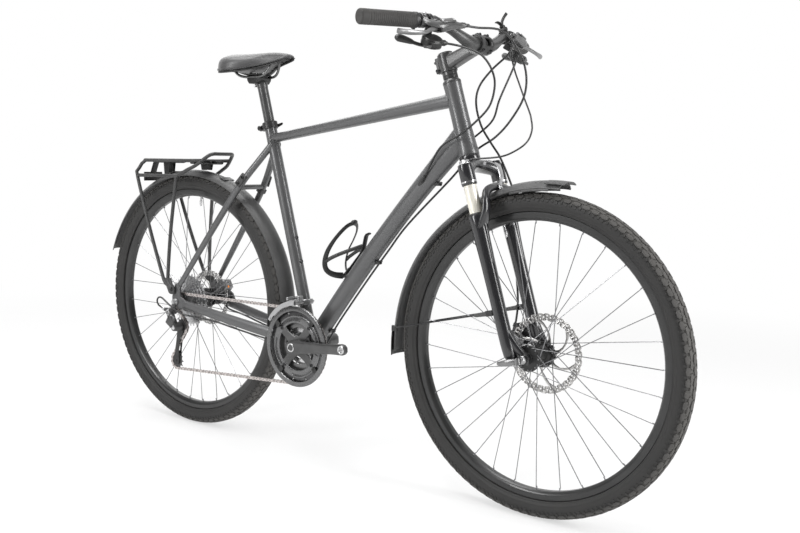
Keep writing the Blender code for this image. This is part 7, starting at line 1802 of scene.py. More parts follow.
def make_brake_control(side, word):
    """Master cylinder with its clamp and cover, and the long two-finger lever."""
    along, ahead, up = bar_frame(side)
    pivot = bar_point(side, GRIP_START - 0.025) + ahead * 0.034
    nose = steer_point(0.125, side * 0.104, 0.26)
    clamp = hollow("clamp", bar_point(side, GRIP_START - 0.012), along,
        mm((-6, 11.6), (-6, 15.2), (-5, 16), (5, 16), (6, 15.2), (6, 11.6)), 40)
    line = smooth_path([bar_point(side, GRIP_START - 0.011) + ahead * 0.015 + up * 0.003,
        bar_point(side, GRIP_START - 0.014) + ahead * 0.027 + up * 0.0035,
        pivot - along * 0.004 + ahead * 0.002 + up * 0.002, pivot.lerp(nose, 0.5) + up * 0.003,
        nose.lerp(pivot, 0.12), nose], 17)
    sizes = []
    for k in range(17):
        share = k / 16
        body = 0.0155 + 0.011 * math.sin(math.pi * min(1.0, share * 1.15)) ** 0.8
        sizes.append((body * 0.92 if k < 15 else 0.0135, body if k < 15 else 0.0135))
    housing = swept("housing", line, sizes, 24, up)
    mouth = brick("cutter", pivot + along * 0.011 + ahead * 0.004, (0.04, 0.034, 0.0094), along, ahead, 0)
    housing = cut_away(housing, mouth)
    lid_way = (line[13] - line[6]).normalized()
    lid = brick("lid", line[9] + up * 0.0112, (0.036, 0.0145, 0.004), lid_way, up.cross(lid_way), 0.0018)
    hinge_clamp = brick("hinge", bar_point(side, GRIP_START - 0.012) - ahead * 0.015 - up * 0.004,
        (0.01, 0.009, 0.012), along, ahead, 0.0024)
    knob = spun("joint", nose, (nose - line[13]).normalized(), mm((-3, 0), (-3, 6.2), (5, 6.2), (5.6, 4.8),
        (9, 4.2), (17, 3.6), (18, 0)), 24)
    dress("brake_body_" + word, [clamp, housing, lid, hinge_clamp, knob], brake_finish, "steering",
        ("brake_housing_" + word,))
    screws = []
    for a in (-0.015, 0.015):
        screws.append(spun("screw", line[9] + lid_way * a + up * 0.013, up,
            mm((0, 0), (0, 2.2), (1.2, 1.8), (1.2, 0)), 14))
    screws.append(hex_bolt(bar_point(side, GRIP_START - 0.012) + ahead * 0.006 + up * 0.0162, up, 0.0034,
        0.004))
    screws.append(spun("pivot", pivot + up * 0.011, up, mm((-1, 0), (-1, 4), (1, 3.6), (1, 0)), 18))
    dress("brake_screws_" + word, screws, bright_steel, "steering")
    blade_line = smooth_path([pivot - along * 0.004 + ahead * 0.002, pivot + along * 0.022 + ahead * 0.0155,
        bar_point(side, GRIP_START + 0.015) + ahead * 0.064, bar_point(side,
        GRIP_START + 0.05) + ahead * 0.068, bar_point(side, GRIP_START + 0.072) + ahead * 0.065,
        bar_point(side, GRIP_START + 0.078) + ahead * 0.063], 21)
    blade_sizes = []
    for k in range(21):
        share = k / 20
        tall = 0.0085 + 0.0028 * min(1.0, max(0.0, (share - 0.45) / 0.3))
        wide = 0.011 - 0.0045 * min(1.0, share / 0.5) + (0.0022 if share > 0.93 else 0.0)
        blade_sizes.append((tall, wide))
    lever = [swept("blade", blade_line, blade_sizes, 24, up, 45, 0.0012)]
    lever.append(spun("eye", pivot - up * 0.0044, up, mm((0, 0), (0, 6.8), (0.6, 7.4), (8.2, 7.4),
        (8.8, 6.8), (8.8, 0)), 28))
    dress("brake_blade_" + word, lever, lever_alloy, "brake_lever_" + word,
         ("brake_lever_" + word,))


def make_shifter(side, word):
    """The shifter's strap, its pod with cover and cable barrel, the thumb paddle and the release tab."""
    along, ahead, up = bar_frame(side)
    strap = hollow("strap", bar_point(side, GRIP_START - 0.0285), along,
        mm((-4.5, 11.6), (-4.5, 14.4), (-3.6, 15), (3.6, 15), (4.5, 14.4), (4.5, 11.6)), 40)
    body = bar_point(side, GRIP_START - 0.022)
    centre = body + ahead * 0.04 - up * 0.029
    neck = brick("neck", bar_point(side, GRIP_START - 0.0285) + ahead * 0.01 - up * 0.021,
        (0.009, 0.02, 0.015), along, ahead, 0.0024)
    outline = mm((-22.5, -14), (-15, -20.5), (0, -21.5), (13.5, -19.5), (20.5, -8.5), (21.5, 3), (19, 13.5),
        (8.5, 20.8), (-5, 22.2), (-16, 18.5), (-22.5, 9), (-24.5, -3))
    pod = plate("pod", outline, centre, along, ahead, 0.02, 0.0042, 35, 0.003)
    lid = plate("lid", [(a * 0.74, b * 0.74) for a, b in outline], centre - up * 0.0104, along, ahead,
        0.0022, 0.0009, 35, 0.002)
    ridge = brick("ridge", centre + ahead * 0.0195 + up * 0.001, (0.026, 0.006, 0.011), along, ahead,
        0.0022)
    barrel_way = (-along + ahead * 0.1).normalized()
    barrel = spun("barrel", centre - along * 0.0225 + ahead * 0.004, barrel_way,
        mm((-4, 0), (-4, 5.2), (1, 5.2), (1.6, 5.8), (9.5, 5.8), (10.5, 4.6), (14, 4), (14, 0)), 24)
    ribs = ring_of(brick("rib", centre - along * 0.0225 + ahead * 0.004 + barrel_way * 0.0055 + up * 0.0058,
        (0.0074, 0.0014, 0.0012), barrel_way, up.cross(barrel_way), 0.0002, 1), 12,
        centre - along * 0.0225 + ahead * 0.004, barrel_way)
    dress("shifter_pod_" + word, [strap, neck, pod, lid, ridge, barrel] + ribs, bar_finish,
        "steering", ("shifter_" + word,))
    hinge = body + ahead * 0.036 - up * 0.0408
    line = smooth_path([hinge, hinge + along * 0.022 - ahead * 0.006, hinge + along * 0.042 - ahead * 0.026,
        hinge + along * 0.06 - ahead * 0.04], 14)
    sizes = [(0.007 + 0.011 * max(0.0, (k - 6) / 7) ** 0.6, 0.013 + 0.011 * max(0.0,
        (k - 6) / 7) ** 0.6) for k in range(14)]
    sizes[-2:] = mm((16, 22), (10.5, 14.5))
    paddle = [swept("paddle", line, sizes, 24, up, 45, 0.003)]
    paddle.append(spun("hub", hinge + up * 0.0016, -up, mm((0, 0), (0, 8), (0.8, 8.6), (2.8, 8), (3.2, 0)),
        28))
    dress("thumb_paddle_" + word, paddle, bar_finish, "thumb_lever_" + word,
         ("thumb_lever_" + word,))
    release = [centre + along * 0.012 + ahead * 0.02 - up * 0.002,
        centre + along * 0.022 + ahead * 0.0245 - up * 0.002,
        centre + along * 0.031 + ahead * 0.0225 - up * 0.003]
    finger = swept("release_tab_" + word, smooth_path(release, 7), [(0.0072 - 0.0003 * k,
        0.0036) for k in range(7)], 18, up, 45, 0.0009)
    wear(finger, grey_plastic, "steering")


def make_lockout():
    """The fork's lockout remote: clamp ring, boss, cable outlet, and the two-armed lever."""
    centre = steer_point(*BAR_INNER).lerp(steer_point(*BAR_BEND), 0.45)
    along = (steer_point(*BAR_BEND) - steer_point(*BAR_INNER)).normalized()
    pieces = [hollow("ring", centre, along, mm((-5.2, 11.8), (-5.2, 14.6), (-4.2, 15.5), (4.2, 15.5),
        (5.2, 14.6), (5.2, 11.8)), 40)]
    pieces.append(brick("boss", centre + STEER_UP * 0.018 + STEER_FORWARD * 0.002, (0.02, 0.012, 0.01),
        STEER_FORWARD, Y_AXIS, 0.0026))
    pieces.append(spun("outlet", centre + STEER_FORWARD * 0.017 + STEER_UP * 0.002, -STEER_UP,
        mm((0, 0), (0, 3.6), (0.8, 4.4), (8, 4.4), (8.6, 3.4), (13.5, 3), (13.5, 0)), 24))
    pieces.append(brick("cheek", centre + STEER_FORWARD * 0.015 + STEER_UP * 0.002, (0.009, 0.0086, 0.014),
        STEER_FORWARD, Y_AXIS, 0.002))
    dress("lockout_body", pieces, plastic, "steering", ("lockout_remote",))
    hinge = centre + STEER_UP * 0.0243 + STEER_FORWARD * 0.002
    blade = smooth_path([hinge - STEER_UP * 0.001, hinge + STEER_UP * 0.012 + STEER_FORWARD * 0.002,
        hinge + STEER_UP * 0.022 + STEER_FORWARD * 0.0085 + Y_AXIS * 0.003,
        hinge + STEER_UP * 0.029 + STEER_FORWARD * 0.016 + Y_AXIS * 0.006], 10)
    lever = [swept("blade", blade, [(0.012 - 0.0003 * k, 0.0032 + 0.0008 * (k > 7)) for k in range(10)], 18,
        Y_AXIS, 45, 0.0008)]
    side = smooth_path([hinge + STEER_UP * 0.003, hinge + STEER_UP * 0.009 - Y_AXIS * 0.012,
        hinge + STEER_UP * 0.01 - Y_AXIS * 0.022], 7)
    lever.append(swept("side", side, [(0.008 + 0.0004 * k, 0.0032) for k in range(7)], 18, STEER_FORWARD,
        45, 0.0008))
    lever.append(spun("hub", hinge - STEER_UP * 0.0006, STEER_UP, mm((0, 0), (0, 6.2), (2, 7), (4.4, 6.2),
        (5, 0)), 24))
    dress("lockout_paddle", lever, plastic, "lockout_lever", ("lockout_lever",))


def make_cockpit():
    """Headset, stem, bar, and what is clamped to the bar."""
    make_headset()
    make_stem()
    make_handlebar()
    for side, word in SIDES:
        make_grip(side, word)
        make_brake_control(side, word)
        make_shifter(side, word)
    make_lockout()


# Rack, seat and bottle cage

GUARD_OUT = TYRE_RADIUS + 0.017
RACK_LEVEL = REAR_AXLE.z + GUARD_OUT + 0.017 + 0.002
SADDLE_NOSE = BOTTOM_BRACKET.x - 0.088
SADDLE_HIGH = BOTTOM_BRACKET.z + 0.751
RAIL_HEIGHT = SADDLE_HIGH - 0.0628
SADDLE_LENGTH = 0.244
MOST_SWELL = 0.0016


def make_rack():
    """The rear carrier's bent tubes, deck plates, mudguard brackets and lamp plate."""
    level = RACK_LEVEL
    rear = REAR_AXLE.x - 0.175
    front = REAR_AXLE.x + 0.083
    deck, rail, size = 0.052, 0.068, 0.01
    tubes = []

    def loop(half, across):
        line = smooth_path(half + [mirrored(p) for p in half[-2::-1]], 61)
        return swept("tube", line, size, 16, across)

    tubes.append(loop([Vector((front - 0.004, deck * 0.98, level + 0.0045)),
        Vector((front - 0.06, deck, level + 0.003)), Vector((front - 0.122, deck, level + 0.002)),
        Vector((rear + 0.03, deck, level)), Vector((rear + 0.01, deck * 0.96, level)),
        Vector((rear, deck * 0.78, level)), Vector((rear - 0.004, 0.02, level)),
        Vector((rear - 0.004, 0, level))], Z_AXIS))
    tubes.append(loop([Vector((front - 0.094, rail, level - 0.0415)),
        Vector((front - 0.08, rail - 0.0005, level - 0.0385)), Vector((front - 0.05, rail - 0.003,
        level - 0.024)), Vector((front - 0.019, 0.058, level - 0.009)),
        Vector((front + 0.015, 0.044, level + 0.017)), Vector((front + 0.026, 0.034, level + 0.0232)),
        Vector((front + 0.031, 0.02, level + 0.0235)), Vector((front + 0.031, 0, level + 0.0235))], X_AXIS))
    for x, z in ((rear + 0.036, 0.0005), (front - 0.112, 0.0025), (front - 0.022, 0.004)):
        tubes.append(swept("bar", [Vector((x, -deck, level + z)), Vector((x, deck, level + z))], 0.0076, 14,
            Z_AXIS))
    tubes.append(swept("spine", [Vector((rear - 0.002, 0, level)), Vector((front - 0.022, 0,
        level + 0.004))], 0.008, 14, Z_AXIS))
    feet = []
    for side in (-1, 1):
        def high_spot(x, y, lift):
            return Vector((REAR_AXLE.x + x, side * y, level - 0.002 + lift))

        def low_spot(x, y, lift):
            return REAR_AXLE + Vector((x, side * y, lift))

        foot = low_spot(-0.012, 0.079, 0.038)
        rear_leg = smooth_path([high_spot(-0.161, deck, 0.0015), high_spot(-0.171, deck + 0.004, -0.006),
            high_spot(-0.18, rail - 0.004, -0.028), high_spot(-0.178, rail, -0.044),
            low_spot(-0.117, 0.072, 0.2), low_spot(-0.051, 0.0765, 0.062), low_spot(-0.038, 0.078, 0.048),
            foot + X_AXIS * 0.002], 28)
        tubes.append(swept("leg", rear_leg, size, 16, Y_AXIS))
        tubes.append(swept("rail", [high_spot(-0.178, rail, -0.042), high_spot(0.005, rail, -0.0385)], size,
            16, Y_AXIS))
        front_leg = smooth_path([high_spot(-0.005, rail, -0.039), low_spot(-0.023, 0.073, 0.202),
            low_spot(-0.031, 0.0765, 0.072), low_spot(-0.026, 0.078, 0.052), foot], 20)
        tubes.append(swept("leg", front_leg, size, 16, Y_AXIS))
        feet.append(plate("foot", mm((-12, -10), (-6, -13.5), (6, -13.5), (12, -8), (12, 6), (2, 16),
            (-4, 32), (-28, 30), (-32, 24), (-20, 4)), low_spot(-0.012, 0.0784, 0.034), X_AXIS, Z_AXIS,
            0.0044, 0.001))
        feet.append(hex_bolt(low_spot(-0.012, 0.0806, 0.034), Y_AXIS * side, 0.0046, 0.0036))
    dress("carrier_tubes", tubes + feet, rack_finish, "chassis", ("rear_rack",))
    drop = smooth_path([Vector((rear - a, 0, level - b)) for a, b in ((0.003, 0.004), (0.009, 0.018),
        (0.016, 0.034), (0.0175, 0.052))], 9)
    plates = [brick("lamp_plate", Vector((rear - 0.0185, 0, level - 0.048)), (0.003, 0.066, 0.026), X_AXIS,
        Y_AXIS, 0.0013), swept("lamp_strap", drop, (0.022, 0.003), 14, Y_AXIS)]
    for hole in (-0.025, 0.025):
        plates.append(hex_bolt(Vector((rear - 0.0195, hole, level - 0.048)), -X_AXIS, 0.0036, 0.0026))
    for x in (REAR_AXLE.x - 0.118, REAR_AXLE.x + 0.044):
        crown = REAR_AXLE.z + math.sqrt((GUARD_OUT - 0.001) ** 2 - (x - REAR_AXLE.x) ** 2)
        top = level + 0.003
        outline = [(-0.03, 0.0000), (-0.03, -0.006), (-0.014, -0.009), (-0.01, -(top - crown)),
            (0.01, -(top - crown)), (0.014, -0.009), (0.03, -0.006), (0.03, 0.0000)]
        for y in (-0.01, 0.01):
            plates.append(plate("hanger", outline, Vector((x, y, top)), X_AXIS, Z_AXIS, 0.0026, 0.0006))
        plates.append(brick("bridge", Vector((x, 0, (top + crown) / 2 + 0.001)),
            (0.017, 0.02, (top - crown) * 0.8), X_AXIS, Y_AXIS, 0.002))
        plates.append(brick("tray", Vector((x, 0, level - 0.005)), (0.062, 0.06, 0.003), X_AXIS, Y_AXIS,
            0.0014))
        for side in (-1, 1):
            plates.append(brick("clip", Vector((x, side * 0.044, level - 0.001)), (0.02, 0.02, 0.01),
                X_AXIS, Y_AXIS, 0.003))
    dress("carrier_fittings", plates, plastic, "chassis")


def make_seatpost():
    """The post and its two-bolt head with the rail cradle."""
    low = SEAT_TUBE_LENGTH - 0.252
    post = spun("post", BOTTOM_BRACKET, SEAT_UP, [(low, 0), (low, 0.0132), (low + 0.0006, 0.0136),
        (0.686, 0.0136), (0.693, 0.0144), (0.7, 0.015), (0.7025, 0.014), (0.7035, 0)], 44)
    wear(post, post_finish, "seatpost", ("seatpost",))
    middle = Vector((BOTTOM_BRACKET.x + SEAT_UP.x * 0.693 - 0.0132, 0, 0))
    rail = RAIL_HEIGHT
    pieces = []
    cradle = plate("cradle", mm((-21, 0), (-20, -7), (-13, -16), (13, -16), (20, -7), (21, 0)),
        middle + Z_AXIS * (rail - 0.002), X_AXIS, Z_AXIS, 0.05, 0.0016)
    pieces.append(cradle)
    pieces.append(brick("web", middle + Z_AXIS * rail, (0.036, 0.034, 0.014), X_AXIS, Y_AXIS, 0.003))
    for side in (-1, 1):
        line = [middle + Vector((a, side * 0.022, rail + b)) for a, b in ((-0.019, 0.0044), (-0.01, 0.0062),
            (0.0, 0.0066), (0.01, 0.0062), (0.019, 0.0044))]
        pieces.append(swept("clamp", smooth_path(line, 9), (0.01, 0.0045), 16, Y_AXIS, 45, 0.0006))
    pieces.append(brick("top_plate", middle + Z_AXIS * (rail + 0.0075), (0.03, 0.036, 0.0034), X_AXIS,
        Y_AXIS, 0.0014))
    dress("post_head", pieces, bar_finish, "seatpost")
    bolts = []
    for x in (-0.013, 0.013):
        bolts.append(spun("bolt", middle + Vector((x, 0, rail + 0.0085)), -Z_AXIS,
            mm((-3, 0), (-3, 4.2), (0, 4.2), (0, 2.5), (30, 2.5), (30, 4.6), (34, 4.6), (34.6, 0)), 20))
    dress("post_bolts", bolts, bright_steel, "seatpost")


def saddle_surface():
    """The padded cover as cross-sections from the tail to the nose."""
    nose = SADDLE_NOSE
    tail = nose - SADDLE_LENGTH
    top = SADDLE_HIGH
    stations = [(tail + 0.0005, 0.2, -0.024, -0.032), (tail + 0.006, 0.42, -0.014, -0.041),
        (tail + 0.018, 0.66, -0.0075, -0.048), (tail + 0.038, 0.88, -0.004, -0.052),
        (tail + 0.064, 0.985, -0.0035, -0.053), (tail + 0.094, 0.905, -0.005, -0.051),
        (tail + 0.124, 0.705, -0.005, -0.046), (tail + 0.152, 0.49, -0.003, -0.04),
        (tail + 0.18, 0.355, -0.0005, -0.033), (tail + 0.208, 0.285, -0.001, -0.027),
        (tail + 0.23, 0.235, -0.005, -0.022), (tail + 0.2395, 0.165, -0.009, -0.0205),
        (nose - 0.0006, 0.08, -0.0135, -0.019)]
    return [(x, 0.079 * wide, top + lift, top + edge) for x, wide, lift, edge in stations]


def make_saddle():
    """A padded saddle: domed cover with a relief channel, welts, hard shell and steel rails."""
    rings = []
    for x, half, high, edge in saddle_surface():
        ring = []
        for step in range(25):
            angle = math.pi * step / 24
            y = half * math.copysign(abs(math.cos(angle)) ** 0.75, math.cos(angle))
            z = edge + (high - edge) * math.sin(angle) ** 0.55 if 0 < step < 24 else edge
            ring.append(Vector((x, y, z)))
        for step in range(5):
            share = (step + 0.5) / 5
            ring.append(Vector((x, -(half - 0.004) * math.cos(math.pi * share),
                edge + 0.004 + 0.006 * math.sin(math.pi * share) * min(1.0, half / 0.05))))
        rings.append(ring)
    draw_line(rings[0], closed=True)
    mesh_count = len(rings[0])
    put_down()
    cover = bpy.context.object
    pick_up(cover)
    bpy.ops.object.mode_set(mode="EDIT")
    for before, after in zip(rings, rings[1:]):
        pull(after[0] - before[0])
        bpy.ops.object.mode_set(mode="OBJECT")
        chosen = [v for v in cover.data.vertices if v.select]
        shift = after[0] - before[0]
        for v in chosen:
            nearest = min(range(mesh_count), key=lambda k: (before[k] + shift - v.co).length)
            v.co = after[nearest]
        bpy.ops.object.mode_set(mode="EDIT")
    cover = named("saddle_cover", 60)
    pick_up(cover)
    rounder = cover.modifiers.new("rounder", "SUBSURF")
    rounder.levels = rounder.render_levels = 2
    bpy.ops.object.modifier_apply(modifier="rounder")
    for v in cover.data.vertices:
        x, y, z = v.co
        share = (x - (SADDLE_NOSE - SADDLE_LENGTH)) / SADDLE_LENGTH
        if z > SADDLE_HIGH - 0.024 and 0.06 < share < 0.9:
            width = 0.0075 + 0.004 * (1 - share)
            ease = math.sin(math.pi * (share - 0.06) / 0.84) ** 0.5
            v.co.z -= 0.0036 * ease * math.exp(-(y / width) ** 2)
            v.co.z += 0.0012 * ease * math.exp(-((abs(y) - 0.02 - 0.014 * (1 - share)) / 0.01) ** 2)
    swell_saddle(cover)
    pick_up(cover)
    bpy.ops.object.shade_smooth()
    put_down()
    wear(cover, saddle_cover, "seatpost", ("saddle",))
    surface = saddle_surface()
    welts = []
    for side in (-1, 1):
        line = [Vector((x, side * (half * 0.988 + 0.0002), edge + 0.0042)) for x, half, high,
            edge in surface[1:-1]]
        welts.append(swept("welt", smooth_path(line, 40), 0.0022, 10, Z_AXIS))
    dress("saddle_welts", welts, hose_finish, "seatpost")
    shell = []
    for side in (-1, 1):
        line = [Vector((x, side * (half - 0.005), edge + 0.0006)) for x, half, high, edge in surface[1:-1]]
        shell.append(swept("edge", smooth_path(line, 40), (0.004, 0.006), 14, Y_AXIS))
    base = [(x, half - 0.006, edge) for x, half, _, edge in surface[2:-1]]
    for (x, half, edge), (x2, half2, edge2) in zip(base, base[1:]):
        middle = Vector(((x + x2) / 2, 0, (edge + edge2) / 2 + 0.0055))
        shell.append(brick("pan", middle, (x2 - x + 0.004, half + half2 - 0.004, 0.003),
            Vector((x2 - x, 0, edge2 - edge)).normalized(), Y_AXIS, 0.0008, 1))
    shell.append(brick("rear_anchor", Vector((SADDLE_NOSE - 0.2, 0, RAIL_HEIGHT + 0.031)),
        (0.02, 0.078, 0.012), X_AXIS, Y_AXIS, 0.003))
    shell.append(brick("front_anchor", Vector((SADDLE_NOSE - 0.054, 0, RAIL_HEIGHT + 0.04)),
        (0.02, 0.026, 0.012), X_AXIS, Y_AXIS, 0.003))
    dress("saddle_pan", shell, plastic, "seatpost")
    rails = []
    for side in (-1, 1):
        rail = mm((-56, 10, 42), (-68, 18, 19.8), (-81, 21.5, 5.3), (-98, 22, 0), (-124, 22, 0),
            (-150, 22, 0), (-176, 25, 6.8), (-196, 32, 31))
        line = smooth_path([Vector((SADDLE_NOSE + x, side * y, RAIL_HEIGHT + z)) for x, y, z in rail], 30)
        rails.append(swept("rail", line, 0.007, 16, Y_AXIS))
    dress("saddle_rails", rails, rail_steel, "seatpost")


def swell_saddle(cover):
    """Cloth under light pressure lets the foam swell between its welts, by less than 2 mm."""
    pad = cover.copy()
    pad.data = cover.data.copy()
    bpy.context.collection.objects.link(pad)
    pick_up(pad)
    held = pad.vertex_groups.new(name="held")
    for v in pad.data.vertices:
        weight = 1.0 if v.normal.z < 0.05 else max(0.0, 0.6 - v.normal.z)
        held.add([v.index], weight, "REPLACE")
    cloth = pad.modifiers.new("foam", "CLOTH")
    cloth.settings.use_pressure = True
    cloth.settings.uniform_pressure_force = 1.5
    cloth.settings.vertex_group_mass = "held"
    cloth.settings.effector_weights.gravity = 0
    cloth.point_cache.frame_start = 1
    cloth.point_cache.frame_end = 12
    for step in range(1, 11):
        bpy.context.scene.frame_set(step)
    graph = bpy.context.evaluated_depsgraph_get()
    swollen = pad.evaluated_get(graph).data
    for v, after in zip(cover.data.vertices, swollen.vertices):
        shift = after.co - v.co
        if shift.length > MOST_SWELL:
            shift = shift.normalized() * MOST_SWELL
        if v.co.z + shift.z > SADDLE_HIGH:
            shift.z = min(shift.z, 0.0005)
        v.co += shift
    bpy.context.scene.frame_set(1)
    put_down()
    bpy.data.objects.remove(pad)


def make_bottle_cage():
    """The bottle cage: moulded strips on a spine, a knob on top and two bolts."""
    path = down_tube_path()
    along = (path[6] - path[2]).normalized()
    outward = Vector((-along.z, 0, along.x))
    base = path[3] + outward * (0.0225 * math.cos(math.pi / 12))

    def spot(*place):
        a, b, y = mm(place)[0]
        return base + along * a + outward * b + Y_AXIS * y

    spine = [spot(-60, 7.5, 0), spot(-26, 4, 0), spot(3, 4, 0), spot(34, 4.6, 0),
        spot(48, 11, 0), spot(62, 18, 0), spot(73, 22.5, 0), spot(81, 19, 0)]
    widths = [0.023, 0.022, 0.02, 0.0185, 0.0175, 0.0165, 0.016, 0.016, 0.016]
    pieces = [swept("spine", smooth_path(spine, 25), [(widths[k // 3], 0.0058) for k in range(25)], 20,
        Y_AXIS, 45, 0.0012)]
    slant = (along + outward).normalized()
    for side in (-1, 1):
        arm = [spot(-55, 8, side * 5), spot(-60, 20, side * 27),
            spot(-61, 38, side * 37), spot(-48, 53, side * 40.5),
            spot(-22, 64, side * 40.5), spot(10, 68, side * 38.5),
            spot(38, 70, side * 31), spot(58, 72, side * 18), spot(66, 72.5, 0)]
        sizes = [(0.0165 - 0.0085 * min(1.0, k / 26), 0.0052) for k in range(40)]
        pieces.append(swept("arm", smooth_path(arm, 40), sizes, 18, slant, 45))
        band = [spot(-46, 52, side * 40), spot(-30, 48, side * 37),
            spot(-4, 37, side * 29), spot(22, 24, side * 18),
            spot(46, 12.5, side * 4)]
        pieces.append(swept("band", smooth_path(band, 18), (0.0095, 0.0048), 16, slant, 45))
    knob = swept("knob", [spot(62, 72.5, 0), spot(65.5, 72.5, 0), spot(70, 72.2, 0),
        spot(74, 71.5, 0)], mm((15, 9), (21.5, 13), (21.5, 13), (14, 8.5)), 20,
        Y_AXIS, 45, 0.0016)
    dress("bottle_holder", pieces + [knob], plastic, "chassis", ("bottle_cage",))
    bolts = [hex_bolt(spot(a, 6.6, 0), outward, 0.0046, 0.0034) for a in (-32, 30)]
    dress("bottle_bolts", bolts, dark_steel, "chassis")


# Axles, calipers and cables

def make_axles():
    """Both skewers with their nuts and cam levers."""
    for name, axle, body, outer, lever_side in (("front_axle", FRONT_AXLE, "fork_lowers", 0.0583, -1),
            ("rear_axle", REAR_AXLE, "chassis", 0.0738, 1)):
        way = Y_AXIS * lever_side
        pieces = [spun("rod", axle, way, [(-outer - 0.01, 0), (-outer - 0.01, 0.0048),
            (outer + 0.014, 0.0048), (outer + 0.014, 0)], 24)]
        pieces.append(spun("cam_seat", axle, way, [(outer, 0), (outer, 0.0088), (outer + 0.004, 0.0092),
            (outer + 0.0052, 0.0078), (outer + 0.009, 0.0064), (outer + 0.015, 0.0058),
            (outer + 0.0155, 0)], 32))
        pieces.append(spun("end_nut", axle, -way, [(outer, 0), (outer, 0.0086), (outer + 0.0014, 0.0094),
            (outer + 0.0034, 0.009), (outer + 0.006, 0.0068), (outer + 0.0115, 0.0058),
            (outer + 0.012, 0.0)], 32))
        grooves = ring_of(brick("rib", axle - way * (outer + 0.0022) + X_AXIS * 0.0092,
            (0.0012, 0.0026, 0.0014), X_AXIS, Y_AXIS, 0.0003, 1), 20, axle)
        dress(name + "_skewer", pieces + grooves, cage_steel, body, (name,))
    front_end = FRONT_AXLE - Y_AXIS * 0.0815
    make_cam_lever("front_axle_cam", front_end, Vector((-0.97, 0, -0.24)).normalized(), -Y_AXIS, 0.05,
        0.014, 0.0055, lever_alloy, "front_axle_lever")
    rear_end = REAR_AXLE + Y_AXIS * 0.099
    make_cam_lever("rear_axle_cam", rear_end, Vector((-0.9, 0, -0.44)).normalized(), Y_AXIS, 0.05, 0.014,
        0.0055, lever_alloy, "rear_axle_lever")


def make_caliper(name, node, body, axle, angle, near, far, half, low_y, high_y, rotor_y, reach, hose_way):
    """A bolted body with the rotor's slot, piston caps, pad tabs, bolts and the hose joint."""
    outward = wheel_way(angle)
    side = Vector((-math.sin(angle), 0, math.cos(angle)))
    middle = (low_y + high_y) / 2
    outline = [(near, -half * 0.72), (near + 0.006, -half * 0.9), (far - 0.012, -half),
        (far - 0.002, -half * 0.7), (far, -half * 0.4), (far, half * 0.4), (far - 0.002, half * 0.7),
        (far - 0.012, half), (near + 0.006, half * 0.9), (near, half * 0.72)]
    shell = plate("shell", outline, axle + Y_AXIS * middle, outward, side, high_y - low_y, 0.0022, 35,
        0.0016)
    slot = brick("slot", axle + outward * (near - 0.012 + reach) / 2 + Y_AXIS * rotor_y,
        (reach - near + 0.012, half * 2 + 0.02, 0.0036), outward, side, 0)
    window = brick("window", axle + outward * (reach - 0.004) + Y_AXIS * rotor_y, (0.06, 0.015, 0.011),
        outward, side, 0)
    shell = cut_away(shell, slot, window)
    pieces = [shell]
    for y, way in ((low_y, -1), (high_y, 1)):
        pieces.append(spun("piston_cap", axle + outward * (reach - 0.014) + Y_AXIS * y, Y_AXIS * way,
            mm((-3, 0), (-3, 10.5), (0.4, 10.5), (1, 9.8), (1, 0)), 36))
    joint = axle + outward * (far - 0.004) + side * (half * 0.55 * hose_way) + Y_AXIS * (middle + 0.002)
    pieces.append(spun("hose_joint", joint, outward, mm((-4, 0), (-4, 5.8), (4, 5.8), (4.8, 4.4), (10, 3.8),
        (10.4, 0)), 24))
    dress(name, pieces, lever_alloy, body, (node,))
    trim = []
    for share in (-0.62, 0.62):
        trim.append(hex_bolt(axle + outward * (far - 0.008) + side * (half * share)
            + Y_AXIS * (high_y - 0.0005), Y_AXIS, 0.0038, 0.0034))
    for share in (-0.22, 0.22):
        trim.append(brick("pad_tab", axle + outward * (reach + 0.004) + side * (half * share)
            + Y_AXIS * rotor_y, (0.011, 0.0046, 0.007), outward, side, 0.0006, 1))
    dress(name + "_bolts", trim, bright_steel, body)
    tab = brick(name + "_tab", joint - Y_AXIS * 0.006 + outward * 0.0015, (0.006, 0.0075, 0.005), outward,
        side, 0.0012)
    wear(tab, orange_plastic, body)


def make_calipers():
    lean = math.radians(150) + math.pi / 2 - HEAD_ANGLE
    make_caliper("front_brake_caliper", "front_caliper", "fork_lowers", FRONT_AXLE, lean, 0.064, 0.102,
        0.02, 0.025, 0.0542, FRONT_ROTOR_Y, 0.092, -1)
    make_caliper("rear_brake_caliper", "rear_caliper", "chassis", REAR_AXLE, math.radians(33), 0.054, 0.092,
        0.018, 0.0385, 0.0672, REAR_ROTOR_Y, 0.082, -1)


def cable(name, node, body, points, size, count, far_body=None, bend=None):
    """A sleeve on one smooth curve, with a metal ferrule at each end. Some run between two bodies: then the
    sleeve rides on neither, and each ferrule rides on its own body.
    """
    line = smooth_path(points, count * 3)
    sleeve = swept(name, line, size, 14, Y_AXIS, 60)
    wear(sleeve, hose_finish, None if far_body else body, (node,))
    for a, b, word, holder in ((line[0], line[2], "_near_ferrule", body),
            (line[-1], line[-3], "_far_ferrule", far_body or body)):
        way = (b - a).normalized()
        cap = spun(name + word, a - way * 0.001, way, [(0, 0), (0, size * 0.62), (0.0004, size * 0.68),
            (0.0085, size * 0.68), (0.0092, size * 0.6), (0.0092, 0)], 18)
        wear(cap, dark_steel, holder)
    if far_body:
        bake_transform(sleeve)


